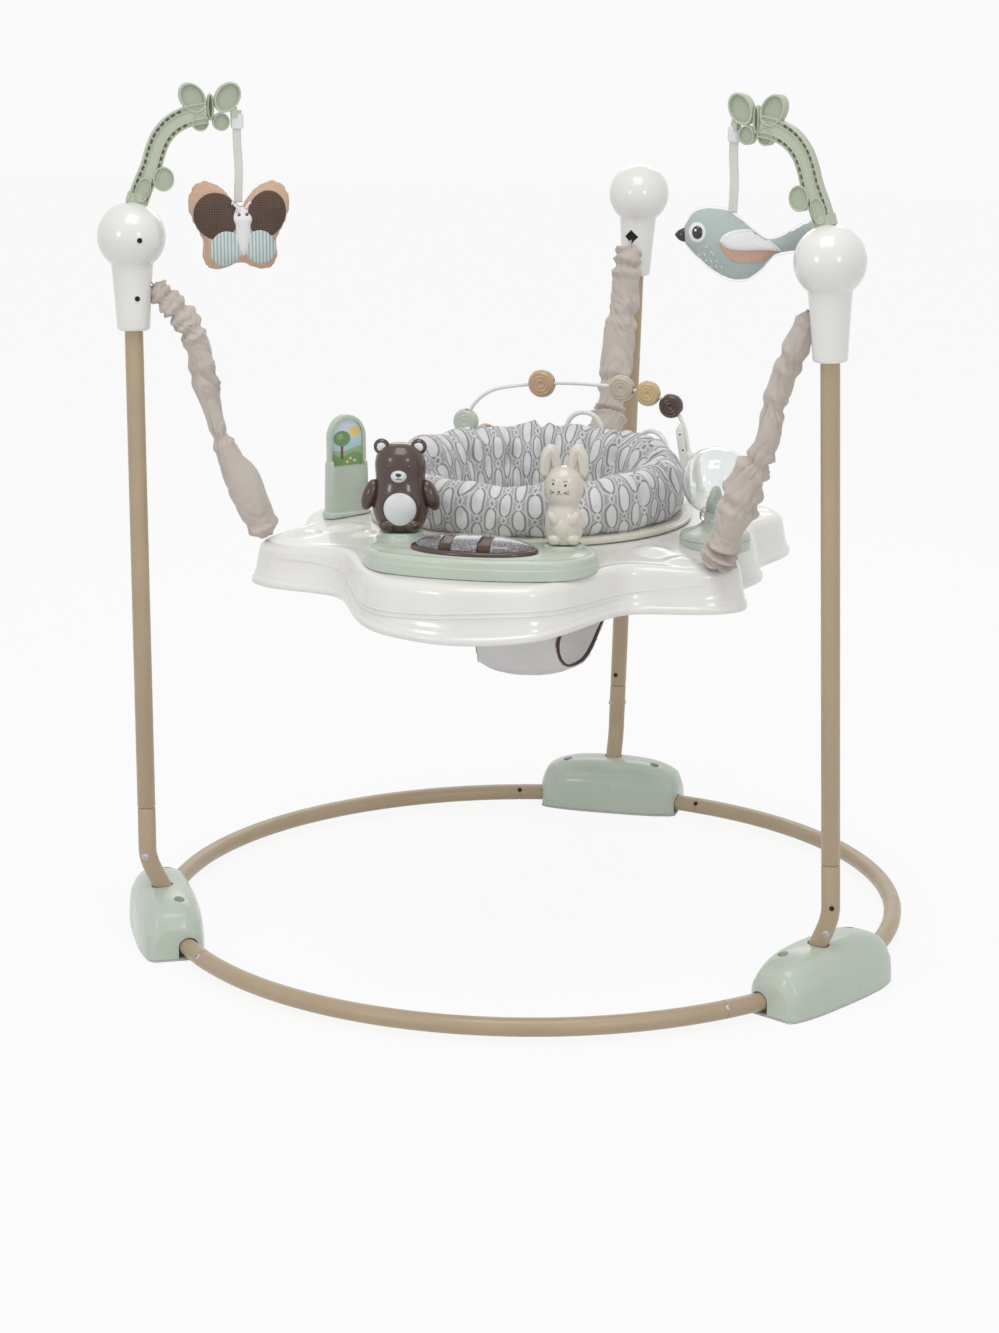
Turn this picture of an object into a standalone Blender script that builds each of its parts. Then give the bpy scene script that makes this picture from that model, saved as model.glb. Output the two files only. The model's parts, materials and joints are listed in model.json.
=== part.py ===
"""Standing baby activity center: a ring-shaped floor frame with three posts, and a round play tray
with a turning seat that hangs from them on three springs.

Metres, +Z up, floor at z = 0. Pieces are placed from the centre of the floor ring, which the empty
ring_centre holds. Angles are in degrees, counter-clockwise from +X seen from above, and the front is -Y.
"""
import math

import bmesh
import bpy
from mathutils import Matrix, Vector

# Gaps
GAP = 0.0003            # between pieces that touch
RUN = 0.0008            # round a piece that turns or slides

# Floor ring and posts
RING_RADIUS = 0.400     # to the middle of the tube
RING_HEIGHT = 0.015     # of the middle of the tube
TUBE_RADIUS = 0.0095
TUBE_WALL = 0.0012
SWAGE_LENGTH = 0.030    # of the lower leg that plugs into the upper one
STEP_LENGTH = 0.001     # of the step down to the swage
SEAM_HEIGHT = 0.150     # where the two leg tubes meet
BEND_TOP = 0.105        # the lower leg is straight above this height
LEG_RADIUS = 0.4245     # of the circle that the posts stand on, above the bend
POST_ANGLES = {"left": 210.0, "right": 330.0, "back": 90.0}
FOOT_ANGLES = {"left": 208.0, "right": 332.0, "back": 90.0}

# Caps on the posts
BALL_RADIUS = 0.035
BALL_HEIGHT = 0.7535    # of its middle
BALL_CIRCLE = 0.4185    # radius of the circle that the balls stand on
BALL_LEAN = -0.022      # how far round the ring a post leans at its ball
CAP_WALL = 0.003
CAP_SIDES = 12
NECK_LENGTH = 0.0955    # from the ball's middle down
NECK_TOP_RADIUS = 0.0215
NECK_END_RADIUS = 0.0170
BORE_DEPTH = 0.0255     # of the neck that grips the leg
SLOT_SIDE = 0.012       # of the square strap slot, which stands on its corner
SLOT_DROP = 0.049       # below the ball's middle

# Feet
FOOT_LENGTH = 0.172
FOOT_WIDTH = 0.072
FOOT_OUTWARD = 0.005    # of its middle from the tube's
FOOT_HEIGHT = 0.064
FOOT_END_WIDTH = 0.050
FOOT_END_HEIGHT = 0.040
FOOT_WALL = 0.003
PAD_THICKNESS = 0.0030
PAD_INSET = 0.0015
SADDLE_REACH = 0.055        # of a pad's two saddles from its middle
TUBE_PLAY = 0.0012      # round a tube where it enters a foot

# Toy arches
ARCH_THICKNESS = 0.009
ARCH_HALF_WIDTH = 0.0105
ARCH_HEADINGS = {"left": 30.0, "right": 158.0}
HANG_REACH = {"left": 0.1117, "right": 0.1100}      # from the ball's middle to the ribbon
HANG_RISE = 0.1255                                  # of the ribbon's loop above the ball's middle

# Springs and sleeves
STRAP_PLACES = {"left": (210.0, 0.288), "right": (325.0, 0.288), "back": (90.0, 0.286)}    # on the tray
WIRE_RADIUS = 0.0009
COIL_RADIUS = 0.0060
COIL_TURNS = 5
COIL_STEPS = 8
COIL_SPAN = (0.16, 0.50)    # of the strap's length
COIL_RULER = 90             # points along the strap that the coil is set out from
SPRING_HOOK = 0.010         # reaches into the cap
FABRIC = 0.0020

# Tray
WELL_RADIUS = 0.165     # of the hole for the seat
RIM_HEIGHT = 0.447
DECK_SLOPE = 0.09
TRAY_WALL = 0.003
TRAY_LIP = RIM_HEIGHT - 0.055   # height of the lower edge
TRAY_LIP_FRONT_DROP = 0.015
WALL_DRAFT = 0.005      # from the deck's edge out to the lip
LIP_WIDTH = 0.0035
EDGE_ROUND = 0.011
COLLAR_DEPTH = 0.019    # of the well's own wall
SEAT_RING_OUT = WELL_RADIUS + 0.0076    # the seat's flange, which the toys stand clear of
TRAY_COLUMNS = 56
# Outline: degrees from the front, radius. Peaks and dips follow each other.
TRAY_OUTLINE = [(0, 0.318), (12, 0.316), (37, 0.258), (58, 0.307), (73, 0.252), (86, 0.256), (98, 0.246),
                (121, 0.295), (150, 0.272), (180, 0.298)]

# Console on the front of the tray
CONSOLE_MIDDLE = 271.5                  # angle of its middle
CONSOLE_HALF_WIDTH = 0.053
CONSOLE_CIRCLE = SEAT_RING_OUT + 0.0084 + CONSOLE_HALF_WIDTH
CONSOLE_HALF_ANGLE = 16.7
CONSOLE_TOP = RIM_HEIGHT + 0.0095
CONSOLE_WALL = 0.003
BATTERY_WELL = (0.070, 0.036, RIM_HEIGHT - 0.039)   # length, width, height of its lower edge
KEYBOARD_CENTRE = (0.003, -CONSOLE_CIRCLE - 0.003)
KEYBOARD_HALF = (0.0600, 0.0275)
BEZEL_BAND = 0.0060
BEZEL_HEIGHT = 0.0040
KEY_CROWN = 0.0115
KEY_GAPS = (-0.024, 0.016)              # of the joints between the large keys, from the middle
KEY_PLAY = 0.0005
DARK_KEY = (0.0125, 0.0250)             # width, length
DARK_KEY_TOP = CONSOLE_TOP + 0.0170

# Figures
BEAR_PLACE = (246.5, CONSOLE_CIRCLE - 0.019)
BEAR_HEADING = 283.0
BUNNY_PLACE = (293.5, CONSOLE_CIRCLE - 0.021)
BUNNY_HEADING = 283.0
COLLAR_TOP = {"bear": CONSOLE_TOP + 0.0077, "bunny": CONSOLE_TOP + 0.0023}
COLLAR_RADIUS = {"bear": 0.0225, "bunny": 0.0175}

# Picture tower
TOWER_PLACE = (192.0, SEAT_RING_OUT + 0.0264)
TOWER_HEADING = 311.0
TOWER_SIZE = (0.047, 0.022)             # width, thickness
TOWER_SHOULDER = RIM_HEIGHT + 0.058
TOWER_TOP = TOWER_SHOULDER + 0.049
TOWER_RIM = 0.0035

# Dome
DOME_PLACE = (340.8, SEAT_RING_OUT + 0.0564)
DOME_RADIUS = 0.0355
DOME_HEIGHT = RIM_HEIGHT + 0.061        # of its middle
DOME_WALL = 0.0015
DOME_NECK = 0.0165

# Bead wire, in the upright plane y = WIRE_Y
WIRE_Y = SEAT_RING_OUT + 0.0224
BEAD_WIRE_RADIUS = 0.0022
BEAD_PLAY = 0.0024          # round the wire, so that a bead passes from one bend to the next
WIRE_CROWN = RIM_HEIGHT + 0.113
WIRE_TOP_BEND = 0.450                   # radius of the long top bend
WIRE_TOP_HALF = 0.085                   # half of the top bend's span
WIRE_SHOULDER = 0.055                   # radius of each shoulder bend
WIRE_LEG_ANGLE = 80.0                   # of the legs, from level
WIRE_FOOT = (0.66, 0.70)                # where a leg's thicker foot ends, as shares of its straight part
WIRE_FOOT_RADIUS = 0.0050
BEAD_THICKNESS = 0.014
BEADS = {"bead_green": (0.0150, -0.1280), "bead_tan": (0.0160, -0.0385), "bead_beige": (0.0150, 0.0540),
         "bead_yellow": (0.0145, 0.0847), "bead_brown": (0.0140, 0.1112)}      # radius, place along x

# Loops and spinner behind the seat: angle, radius of the place, half span, top height
LINK_LOOPS = {"link_loop_left": (87.0, SEAT_RING_OUT + 0.0254, 0.0205, RIM_HEIGHT + 0.083),
              "link_loop_right": (62.4, SEAT_RING_OUT + 0.0294, 0.0210, RIM_HEIGHT + 0.068)}
LOOP_TUBE = 0.0028
SPINNER_PLACE = (119.7, SEAT_RING_OUT + 0.0254)
SPINNER_RADIUS = 0.0125
SPINNER_THICKNESS = 0.008
SPINNER_HEIGHT = RIM_HEIGHT + 0.054
SPINNER_PIN = 0.0025

# Seat
SEAT_RING_IN = WELL_RADIUS - 0.0115
SEAT_RING_TOP = RIM_HEIGHT + 0.0068
SEAT_RING_BOTTOM = RIM_HEIGHT - 0.0130
SEAT_BOTTOM = RIM_HEIGHT - 0.168
PAD_RADIUS = WELL_RADIUS
PAD_TOP = RIM_HEIGHT + 0.063
PAD_BACK_RISE = 0.017
SLING_THICKNESS = 0.006
SEAT_SIDES = 32
LEG_HOLE_RADIUS = 0.044
LEG_HOLE_HEIGHT = RIM_HEIGHT - 0.125
LEG_HOLE_HEADINGS = (342.0, 198.0)
LEG_HOLE_TILT = 18.0

# Hung toys
RIBBON = (0.0085, 0.0012)               # width, thickness
BUTTERFLY_DROP = 0.1180                 # of its middle below the ribbon's loop
BUTTERFLY_SIZE = 0.059                  # from its middle to a wing's tip
BUTTERFLY_THICKNESS = 0.026
BUTTERFLY_HEADING = 22.0
BIRD_DROP = 0.1150
BIRD_HEADING = 15.0
BIRD_HALF_THICKNESS = 0.020

FOOT_CIRCLE = RING_RADIUS + FOOT_OUTWARD
SIDES = 12             # of a round pin
TUBE_SIDES = 8
ARC_STEPS = 12


def finish(name, colour, roughness=0.4, metallic=0.0, alpha=1.0):
    """A material for one finish."""
    material = bpy.data.materials.new(name)
    material.use_nodes = True
    shader = material.node_tree.nodes["Principled BSDF"]
    shader.inputs["Base Color"].default_value = (*colour, 1.0)
    shader.inputs["Roughness"].default_value = roughness
    shader.inputs["Metallic"].default_value = metallic
    shader.inputs["Alpha"].default_value = alpha
    material.diffuse_color = (*colour, alpha)
    return material


def around(angle, radius, height=0.0, side=0.0):
    """The point at this angle and radius, moved counter-clockwise round the ring by side."""
    turn = math.radians(angle)
    return Vector((radius * math.cos(turn) - side * math.sin(turn),
                   radius * math.sin(turn) + side * math.cos(turn), height))


def heading(angle):
    return around(angle, 1.0)


def add_piece(name, bm, material, pivot=(0, 0, 0), turn=0.0, helper=False, local=False):
    """An object whose mesh is given from the ring's centre, or about its own pivot where local is set."""
    bmesh.ops.remove_doubles(bm, verts=bm.verts, dist=1e-6)
    bmesh.ops.recalc_face_normals(bm, faces=bm.faces)
    if not local:
        bmesh.ops.translate(bm, vec=-Vector(pivot), verts=bm.verts)
    mesh = bpy.data.meshes.new(name)
    bm.to_mesh(mesh)
    bm.free()
    mesh.materials.append(material)
    mesh.shade_smooth()
    mesh.set_sharp_from_angle(angle=math.radians(35))
    piece = bpy.data.objects.new(name, mesh)
    piece.location = pivot
    piece.rotation_euler = (0, 0, math.radians(turn))
    piece.parent = bpy.data.objects["ring_centre"]
    if helper:
        piece.hide_render = True
        piece.display_type = "WIRE"
    bpy.context.collection.objects.link(piece)
    return piece


def combine(piece, other, operation):
    """Adds, cuts or crosses a helper, which keeps out of the finished model."""
    modifier = piece.modifiers.new(f"{operation.lower()}_{other.name}", "BOOLEAN")
    modifier.operation = operation
    modifier.object = other
    modifier.solver = "EXACT"


def skin(rings, closed=False):
    """A body through rings of points. It is closed on itself, or by a face at each end."""
    bm = bmesh.new()
    rows = [[bm.verts.new(point) for point in ring] for ring in rings]
    pairs = list(zip(rows, rows[1:]))
    if closed:
        pairs.append((rows[-1], rows[0]))
    for row, following in pairs:
        for i in range(len(row)):
            j = (i + 1) % len(row)
            bm.faces.new((row[i], row[j], following[j], following[i]))
    if not closed:
        bm.faces.new(rows[0][::-1])
        bm.faces.new(rows[-1])
    return bm


def lathe(profile, sides, place=Matrix(), closed=False, squash=1.0):
    """A turned body: the profile's points are radius and height. squash flattens it front to back."""
    rings = []
    for radius, height in profile:
        ring = []
        for i in range(sides):
            turn = 2 * math.pi * i / sides
            ring.append(place @ Vector((radius * math.cos(turn), squash * radius * math.sin(turn), height)))
        rings.append(ring)
    return skin(rings, closed)


def box(size, centre, turn=None):
    """A box of this size, turned by a matrix and moved to its centre."""
    bm = bmesh.new()
    bmesh.ops.create_cube(bm, size=1.0)
    place = Matrix.Translation(Vector(centre)) @ (turn or Matrix()).to_4x4() @ Matrix.Diagonal((*size, 1.0))
    bmesh.ops.transform(bm, matrix=place, verts=bm.verts)
    return bm


def ball(radii, centre, turn=None, sides=12, rows=7):
    """An egg shape of three radii."""
    profile = [(math.sin(math.pi * k / rows), -math.cos(math.pi * k / rows)) for k in range(rows + 1)]
    place = Matrix.Translation(Vector(centre)) @ (turn or Matrix()).to_4x4() @ Matrix.Diagonal((*radii, 1.0))
    return lathe(profile, sides, place)


def cylinder(radius, start, end, sides=SIDES):
    return sweep([Vector(start), Vector(end)], [radius] * 2, sides)


def smooth_path(points, count):
    """Evenly counted points on a smooth curve through the given ones."""
    points = [Vector(p) for p in points]
    padded = [2 * points[0] - points[1], *points, 2 * points[-1] - points[-2]]
    path = []
    for k in range(count):
        place = k * (len(points) - 1) / (count - 1)
        i = min(int(place), len(points) - 2)
        t = place - i
        a, b, c, d = padded[i:i + 4]
        path.append(0.5 * (2 * b + (c - a) * t + (2 * a - 5 * b + 4 * c - d) * t ** 2
                           + (3 * b - a - 3 * c + d) * t ** 3))
    return path


def path_frames(path):
    """Along a path: each point, its direction and two cross directions that don't twist."""
    frames = []
    across = None
    for i, point in enumerate(path):
        before = path[max(i - 1, 0)]
        after = path[min(i + 1, len(path) - 1)]
        along = (after - before).normalized()
        if across is None:
            across = along.cross(Vector((0, 0, 1)) if abs(along.z) < 0.8 else Vector((1, 0, 0)))
        across = (across - along * across.dot(along)).normalized()
        frames.append((point, along, across, along.cross(across)))
    return frames


def circle_rings(path, radii, sides):
    rings = []
    for (point, _, across, over), radius in zip(path_frames(path), radii):
        rings.append([point + radius * (math.cos(2 * math.pi * i / sides) * across
                                        + math.sin(2 * math.pi * i / sides) * over) for i in range(sides)])
    return rings


def sweep(path, radii, sides=SIDES, bores=None):
    """A round bar along a path, or a tube where bores are given."""
    outer = circle_rings(path, radii, sides)
    if bores is None:
        return skin(outer)
    return skin(outer + circle_rings(path, bores, sides)[::-1], closed=True)


def hoop_section(turn, radius, count, end=2 * math.pi):
    """Points round the floor ring's tube, at this place on the ring, starting on its outer side."""
    points = []
    for i in range(count):
        bend = end * i / count
        reach, rise = radius * math.cos(bend), radius * math.sin(bend)
        points.append(around(turn, RING_RADIUS + reach, RING_HEIGHT + rise))
    return points


def prism(outline, low, high, place=Matrix()):
    """A flat outline in x and y, raised from low to high."""
    return skin([[place @ Vector((x, y, z)) for x, y in outline] for z in (low, high)])


def deck_height(x, y):
    """Height of the tray's deck under this point."""
    return RIM_HEIGHT - DECK_SLOPE * max(math.hypot(x, y) - WELL_RADIUS, 0.0)


def stand_on_deck(bm):
    """Sets points given at height 0 just above the sloping deck."""
    for vert in bm.verts:
        if abs(vert.co.z) < 1e-9:
            vert.co.z = deck_height(vert.co.x, vert.co.y) + 3 * GAP
    return bm


def trim_to_deck(bm):
    """Cuts feet that reach into the deck level with it."""
    for vert in bm.verts:
        vert.co.z = max(vert.co.z, deck_height(vert.co.x, vert.co.y) + 3 * GAP)
    return bm


def post_point(angle, height):
    """The middle of the post at this height, above the lower leg's bend."""
    low = around(angle, LEG_RADIUS, BEND_TOP)
    high = around(angle, BALL_CIRCLE, BALL_HEIGHT, BALL_LEAN)
    return low.lerp(high, (height - BEND_TOP) / (BALL_HEIGHT - BEND_TOP))


def strap_axes(side):
    """Where a strap leaves the middle of its post, the level way to the tray, and how far it is."""
    start = post_point(POST_ANGLES[side], BALL_HEIGHT - SLOT_DROP)
    end = around(*STRAP_PLACES[side])
    way = Vector((end.x - start.x, end.y - start.y, 0.0))
    return start, way.normalized(), way.length


def make_ring(paint):
    for name, first in (("base_arc_front", "left"), ("base_arc_right", "right"), ("base_arc_left", "back")):
        start = POST_ANGLES[first]
        trim = math.degrees(GAP / RING_RADIUS)
        turns = [start + 120 * k / ARC_STEPS for k in range(ARC_STEPS + 1)]
        turns[0] += trim
        turns[-1] -= trim
        outer = [hoop_section(turn, TUBE_RADIUS, TUBE_SIDES) for turn in turns]
        inner = [hoop_section(turn, TUBE_RADIUS - TUBE_WALL, TUBE_SIDES) for turn in turns]
        add_piece(name, skin(outer + inner[::-1], closed=True), paint)


def lower_leg_path(angle):
    """The bent lower leg's middle line, from the ring's tube up to the seam."""
    start = RING_HEIGHT + TUBE_RADIUS + GAP
    low = start + 0.005
    path = [around(angle, RING_RADIUS, start)]
    steps = 5
    for k in range(steps + 1):
        share = k / steps
        rise = share * share * (3 - 2 * share)
        path.append(around(angle, RING_RADIUS + (LEG_RADIUS - RING_RADIUS) * rise,
                           low + (BEND_TOP - low) * share))
    return path + [post_point(angle, SEAM_HEIGHT)]


def make_legs(paint):
    for side, angle in POST_ANGLES.items():
        bore = TUBE_RADIUS - TUBE_WALL
        swage = bore - 1.5 * GAP
        path = lower_leg_path(angle)
        seam = path[-1]
        along = (seam - path[-2]).normalized()
        path += [seam + along * STEP_LENGTH, seam + along * SWAGE_LENGTH]
        radii = [TUBE_RADIUS] * (len(path) - 2) + [swage, swage]
        bores = [swage - TUBE_WALL] * len(path)
        add_piece(f"lower_leg_{side}", sweep(path, radii, TUBE_SIDES, bores), paint)
        low = seam + along * (GAP + STEP_LENGTH)
        high = post_point(angle, BALL_HEIGHT - NECK_LENGTH + BORE_DEPTH - 0.003)
        add_piece(f"upper_leg_{side}", sweep([low, high], [TUBE_RADIUS] * 2, TUBE_SIDES, [bore] * 2), paint)


def cap_matrix(angle):
    """From a cap's own frame, with its ball at 0 and its neck down, to its place."""
    axis = (post_point(angle, BALL_HEIGHT) - post_point(angle, BEND_TOP)).normalized()
    turn = axis.to_track_quat("Z", "Y").to_matrix().to_4x4()
    return Matrix.Translation(post_point(angle, BALL_HEIGHT)) @ turn


def make_caps(plastic):
    def arc(radius, end, rows):
        turns = [end * k / rows for k in range(rows + 1)]
        return [(radius * math.sin(turn), radius * math.cos(turn)) for turn in turns]

    neck_join = math.pi - math.asin(NECK_TOP_RADIUS / BALL_RADIUS)
    inside = BALL_RADIUS - CAP_WALL
    inner_neck = NECK_TOP_RADIUS - CAP_WALL
    inner_join = math.pi - math.asin(inner_neck / inside)
    grip = (TUBE_RADIUS + GAP) / math.cos(math.pi / CAP_SIDES)
    profile = arc(BALL_RADIUS, neck_join, 7)
    profile += [(NECK_END_RADIUS, 0.002 - NECK_LENGTH), (NECK_END_RADIUS - 0.0015, -NECK_LENGTH),
                (grip, -NECK_LENGTH), (grip, BORE_DEPTH - NECK_LENGTH),
                (NECK_END_RADIUS - CAP_WALL, BORE_DEPTH + 0.004 - NECK_LENGTH)]
    profile += arc(inside, inner_join, 4)[::-1]
    for side, angle in POST_ANGLES.items():
        cap = add_piece(f"cap_{side}", lathe(profile, CAP_SIDES, cap_matrix(angle)), plastic)
        start, way, _ = strap_axes(side)
        centre = start + way * NECK_TOP_RADIUS
        turn = way.to_track_quat("X", "Z").to_matrix() @ Matrix.Rotation(math.radians(45), 3, "X")
        slot = box((2 * CAP_WALL + 0.010, SLOT_SIDE, SLOT_SIDE), centre, turn)
        combine(cap, add_piece(f"slot_{side}", slot, plastic, helper=True), "DIFFERENCE")


def foot_half(share, at_end, at_middle):
    """A foot's half width or its height at a share of its half length."""
    return at_end + (at_middle - at_end) * (1 - abs(share) ** 3) ** 0.6


def foot_body(angle, inset, floor):
    """A loaf along the ring, smaller by inset, from the height floor up."""
    half = FOOT_LENGTH / 2 - inset
    stations = 8
    segments = 8
    rings = []
    for k in range(stations + 1):
        share = -math.cos(math.pi * k / stations)
        width = foot_half(share, FOOT_END_WIDTH / 2, FOOT_WIDTH / 2) - inset
        height = foot_half(share, FOOT_END_HEIGHT, FOOT_HEIGHT) - inset - PAD_THICKNESS
        ring = []
        for i in range(segments + 1):
            turn = math.pi * i / segments
            across = math.copysign(abs(math.cos(turn)) ** 0.6, math.cos(turn)) * width
            up = math.sin(turn) ** 0.7 * height
            ring.append(around(angle, FOOT_CIRCLE + across, max(PAD_THICKNESS + up, floor), share * half))
        if floor < PAD_THICKNESS:
            ring[0].z = floor
            ring[-1].z = floor
        rings.append(ring)
    return skin(rings)


def make_feet(plastic, rubber):
    for side, angle in FOOT_ANGLES.items():
        post_angle = POST_ANGLES[side]
        shell = add_piece(f"foot_shell_{side}", foot_body(angle, 0.0, PAD_THICKNESS + GAP), plastic)
        hollow = add_piece(f"foot_hollow_{side}", foot_body(angle, FOOT_WALL, -0.010), plastic, helper=True)
        tunnel_radius = TUBE_RADIUS + TUBE_PLAY
        rings = []
        for k in range(-2, 3):
            turn = post_angle + 120 * k / ARC_STEPS
            ring = hoop_section(turn, tunnel_radius, 6, math.pi)
            ring.append(around(turn, RING_RADIUS - tunnel_radius, RING_HEIGHT))
            ring.append(around(turn, RING_RADIUS - tunnel_radius, -0.010))
            ring.append(around(turn, RING_RADIUS + tunnel_radius, -0.010))
            rings.append(ring)
        tunnel = add_piece(f"foot_tunnel_{side}", skin(rings), plastic, helper=True)
        path = lower_leg_path(post_angle)
        bore = sweep(path, [tunnel_radius] * len(path), 10)
        leg_hole = add_piece(f"leg_hole_{side}", bore, plastic, helper=True)
        for cutter in (hollow, tunnel, leg_hole):
            combine(shell, cutter, "DIFFERENCE")

        outline_stations = 8
        low = []
        for k in range(outline_stations + 1):
            share = -math.cos(math.pi * k / outline_stations)
            width = foot_half(share, FOOT_END_WIDTH / 2, FOOT_WIDTH / 2) - PAD_INSET
            low.append((share * (FOOT_LENGTH / 2 - PAD_INSET), width))
        plan = [(s, w) for s, w in low] + [(s, -w) for s, w in low[::-1]]
        levels = (0.0, PAD_THICKNESS - GAP)
        plate = skin([[around(angle, FOOT_CIRCLE + w, z, s) for s, w in plan] for z in levels])
        pad = add_piece(f"foot_pad_{side}", plate, rubber)
        saddle_top = RING_HEIGHT - TUBE_RADIUS - 2 * GAP
        for end in (-1, 1):
            place = angle + end * math.degrees(SADDLE_REACH / RING_RADIUS)
            centre = around(place, RING_RADIUS, saddle_top / 2 + 0.0005)
            turn = Matrix.Rotation(math.radians(place), 3, "Z")
            saddle = box((0.020, 0.026, saddle_top - 0.001), centre, turn)
            combine(pad, add_piece(f"saddle_{side}_{end + 1}", saddle, rubber, helper=True), "UNION")


def ellipse(centre, radii, count=16, turn=0.0):
    lean = math.radians(turn)
    points = []
    for i in range(count):
        a = 2 * math.pi * i / count
        x, y = radii[0] * math.cos(a), radii[1] * math.sin(a)
        points.append((centre[0] + x * math.cos(lean) - y * math.sin(lean),
                       centre[1] + x * math.sin(lean) + y * math.cos(lean)))
    return points


def make_arches(plastic):
    """Flat arches, drawn outwards and upwards from a ball's middle and then stood upright."""
    upright = Matrix(((1, 0, 0), (0, 0, -1), (0, 1, 0))).to_4x4()
    half = ARCH_THICKNESS / 2
    middle = smooth_path([(0.008, 0.028, 0), (0.013, 0.050, 0), (0.022, 0.070, 0), (0.0275, 0.087, 0),
                          (0.0345, 0.101, 0), (0.046, 0.1125, 0), (0.062, 0.1200, 0), (0.080, 0.1232, 0)], 12)
    sides = ([], [])
    for point, along, _, _ in path_frames(middle):
        across = Vector((-along.y, along.x, 0))
        sides[0].append(point + across * ARCH_HALF_WIDTH)
        sides[1].append(point - across * ARCH_HALF_WIDTH)
    band = [(p.x, p.y) for p in sides[0] + sides[1][::-1]]
    lobes = {"leaf": ellipse((0.0340, 0.0575), (0.0110, 0.0125), 10),
             "low_leaf": ellipse((0.0100, 0.0450), (0.0085, 0.0150), 10, -20),
             "wing_in": ellipse((0.0660, 0.1385), (0.0125, 0.0165), 10, 35),
             "wing_out": ellipse((0.1020, 0.1385), (0.0125, 0.0165), 10, -35),
             "tail_in": ellipse((0.0735, 0.1140), (0.0088, 0.0092), 10),
             "tail_out": ellipse((0.0950, 0.1140), (0.0088, 0.0092), 10),
             "body": ellipse((0.0843, 0.1260), (0.0060, 0.0150), 10)}
    for side, angle in ARCH_HEADINGS.items():
        centre = post_point(POST_ANGLES[side], BALL_HEIGHT)
        body = prism(band, -half, half, upright)
        arch = add_piece(f"toy_arch_{side}", body, plastic, centre, angle, local=True)
        for lobe, outline in lobes.items():
            inset = 0.0002 * (1 + list(lobes).index(lobe))
            shape = prism(outline, inset - half, half - inset, upright)
            helper = add_piece(f"{lobe}_{side}", shape, plastic, centre, angle, helper=True, local=True)
            combine(arch, helper, "UNION")
        facet = math.cos(math.pi / 16) * math.cos(math.pi / 24)
        clear = ball(((BALL_RADIUS + GAP) / facet,) * 3, (0, 0, 0), sides=16, rows=12)
        helper = add_piece(f"arch_foot_{side}", clear, plastic, centre, angle, helper=True, local=True)
        combine(arch, helper, "DIFFERENCE")


# Sleeves: distance from the slot towards the tray, height, radius. They start clear of the neck.
# The heights were drawn between SLEEVE_DRAWN, and the sleeve is fitted between the cap and the tray.
SLEEVES = {
    "left": [
        (0.027, 0.7010, 0.0085), (0.033, 0.6900, 0.0115), (0.045, 0.6770, 0.0125), (0.057, 0.6570, 0.0135),
        (0.0645, 0.6340, 0.0130), (0.071, 0.5990, 0.0130), (0.082, 0.5520, 0.0080), (0.092, 0.5250, 0.0130),
        (0.105, 0.4990, 0.0190), (0.117, 0.4690, 0.0180), (0.129, 0.4395, 0.0100),
    ],
    "right": [
        (0.027, 0.7010, 0.0085), (0.036, 0.6780, 0.0120), (0.047, 0.6490, 0.0130), (0.060, 0.6180, 0.0120),
        (0.067, 0.5820, 0.0120), (0.078, 0.5560, 0.0135), (0.093, 0.5320, 0.0170), (0.105, 0.5040, 0.0190),
        (0.114, 0.4800, 0.0160), (0.120, 0.4640, 0.0160), (0.126, 0.4500, 0.0190), (0.129, 0.4395, 0.0110),
    ],
    "back": [
        (0.027, 0.7010, 0.0085), (0.034, 0.6700, 0.0160), (0.040, 0.6330, 0.0170), (0.052, 0.5870, 0.0180),
        (0.061, 0.5530, 0.0190), (0.075, 0.5190, 0.0150), (0.086, 0.4970, 0.0185), (0.108, 0.4680, 0.0165),
        (0.129, 0.4395, 0.0100),
    ],
}
SLEEVE_SPAN = 0.129     # the distance to the tray that the lists above were drawn for
SLEEVE_DRAWN = (0.4395, 0.7010)
SLEEVE_ENDS = (RIM_HEIGHT - 0.0075, BALL_HEIGHT - 0.0525)
SLEEVE_RINGS = 15
SLEEVE_SIDES = 8
SLEEVE_RIPPLE = 0.06


def sleeve_path(side, count):
    """The middle line of a sleeve and its radius along it."""
    start, way, span = strap_axes(side)
    rise = (SLEEVE_ENDS[1] - SLEEVE_ENDS[0]) / (SLEEVE_DRAWN[1] - SLEEVE_DRAWN[0])
    flat = smooth_path([Vector((u * span / SLEEVE_SPAN, SLEEVE_ENDS[0] + (h - SLEEVE_DRAWN[0]) * rise, r))
                        for u, h, r in SLEEVES[side]], count)
    path = [Vector((start.x, start.y, p.y)) + way * p.x for p in flat]
    return path, [p.z for p in flat]


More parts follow.
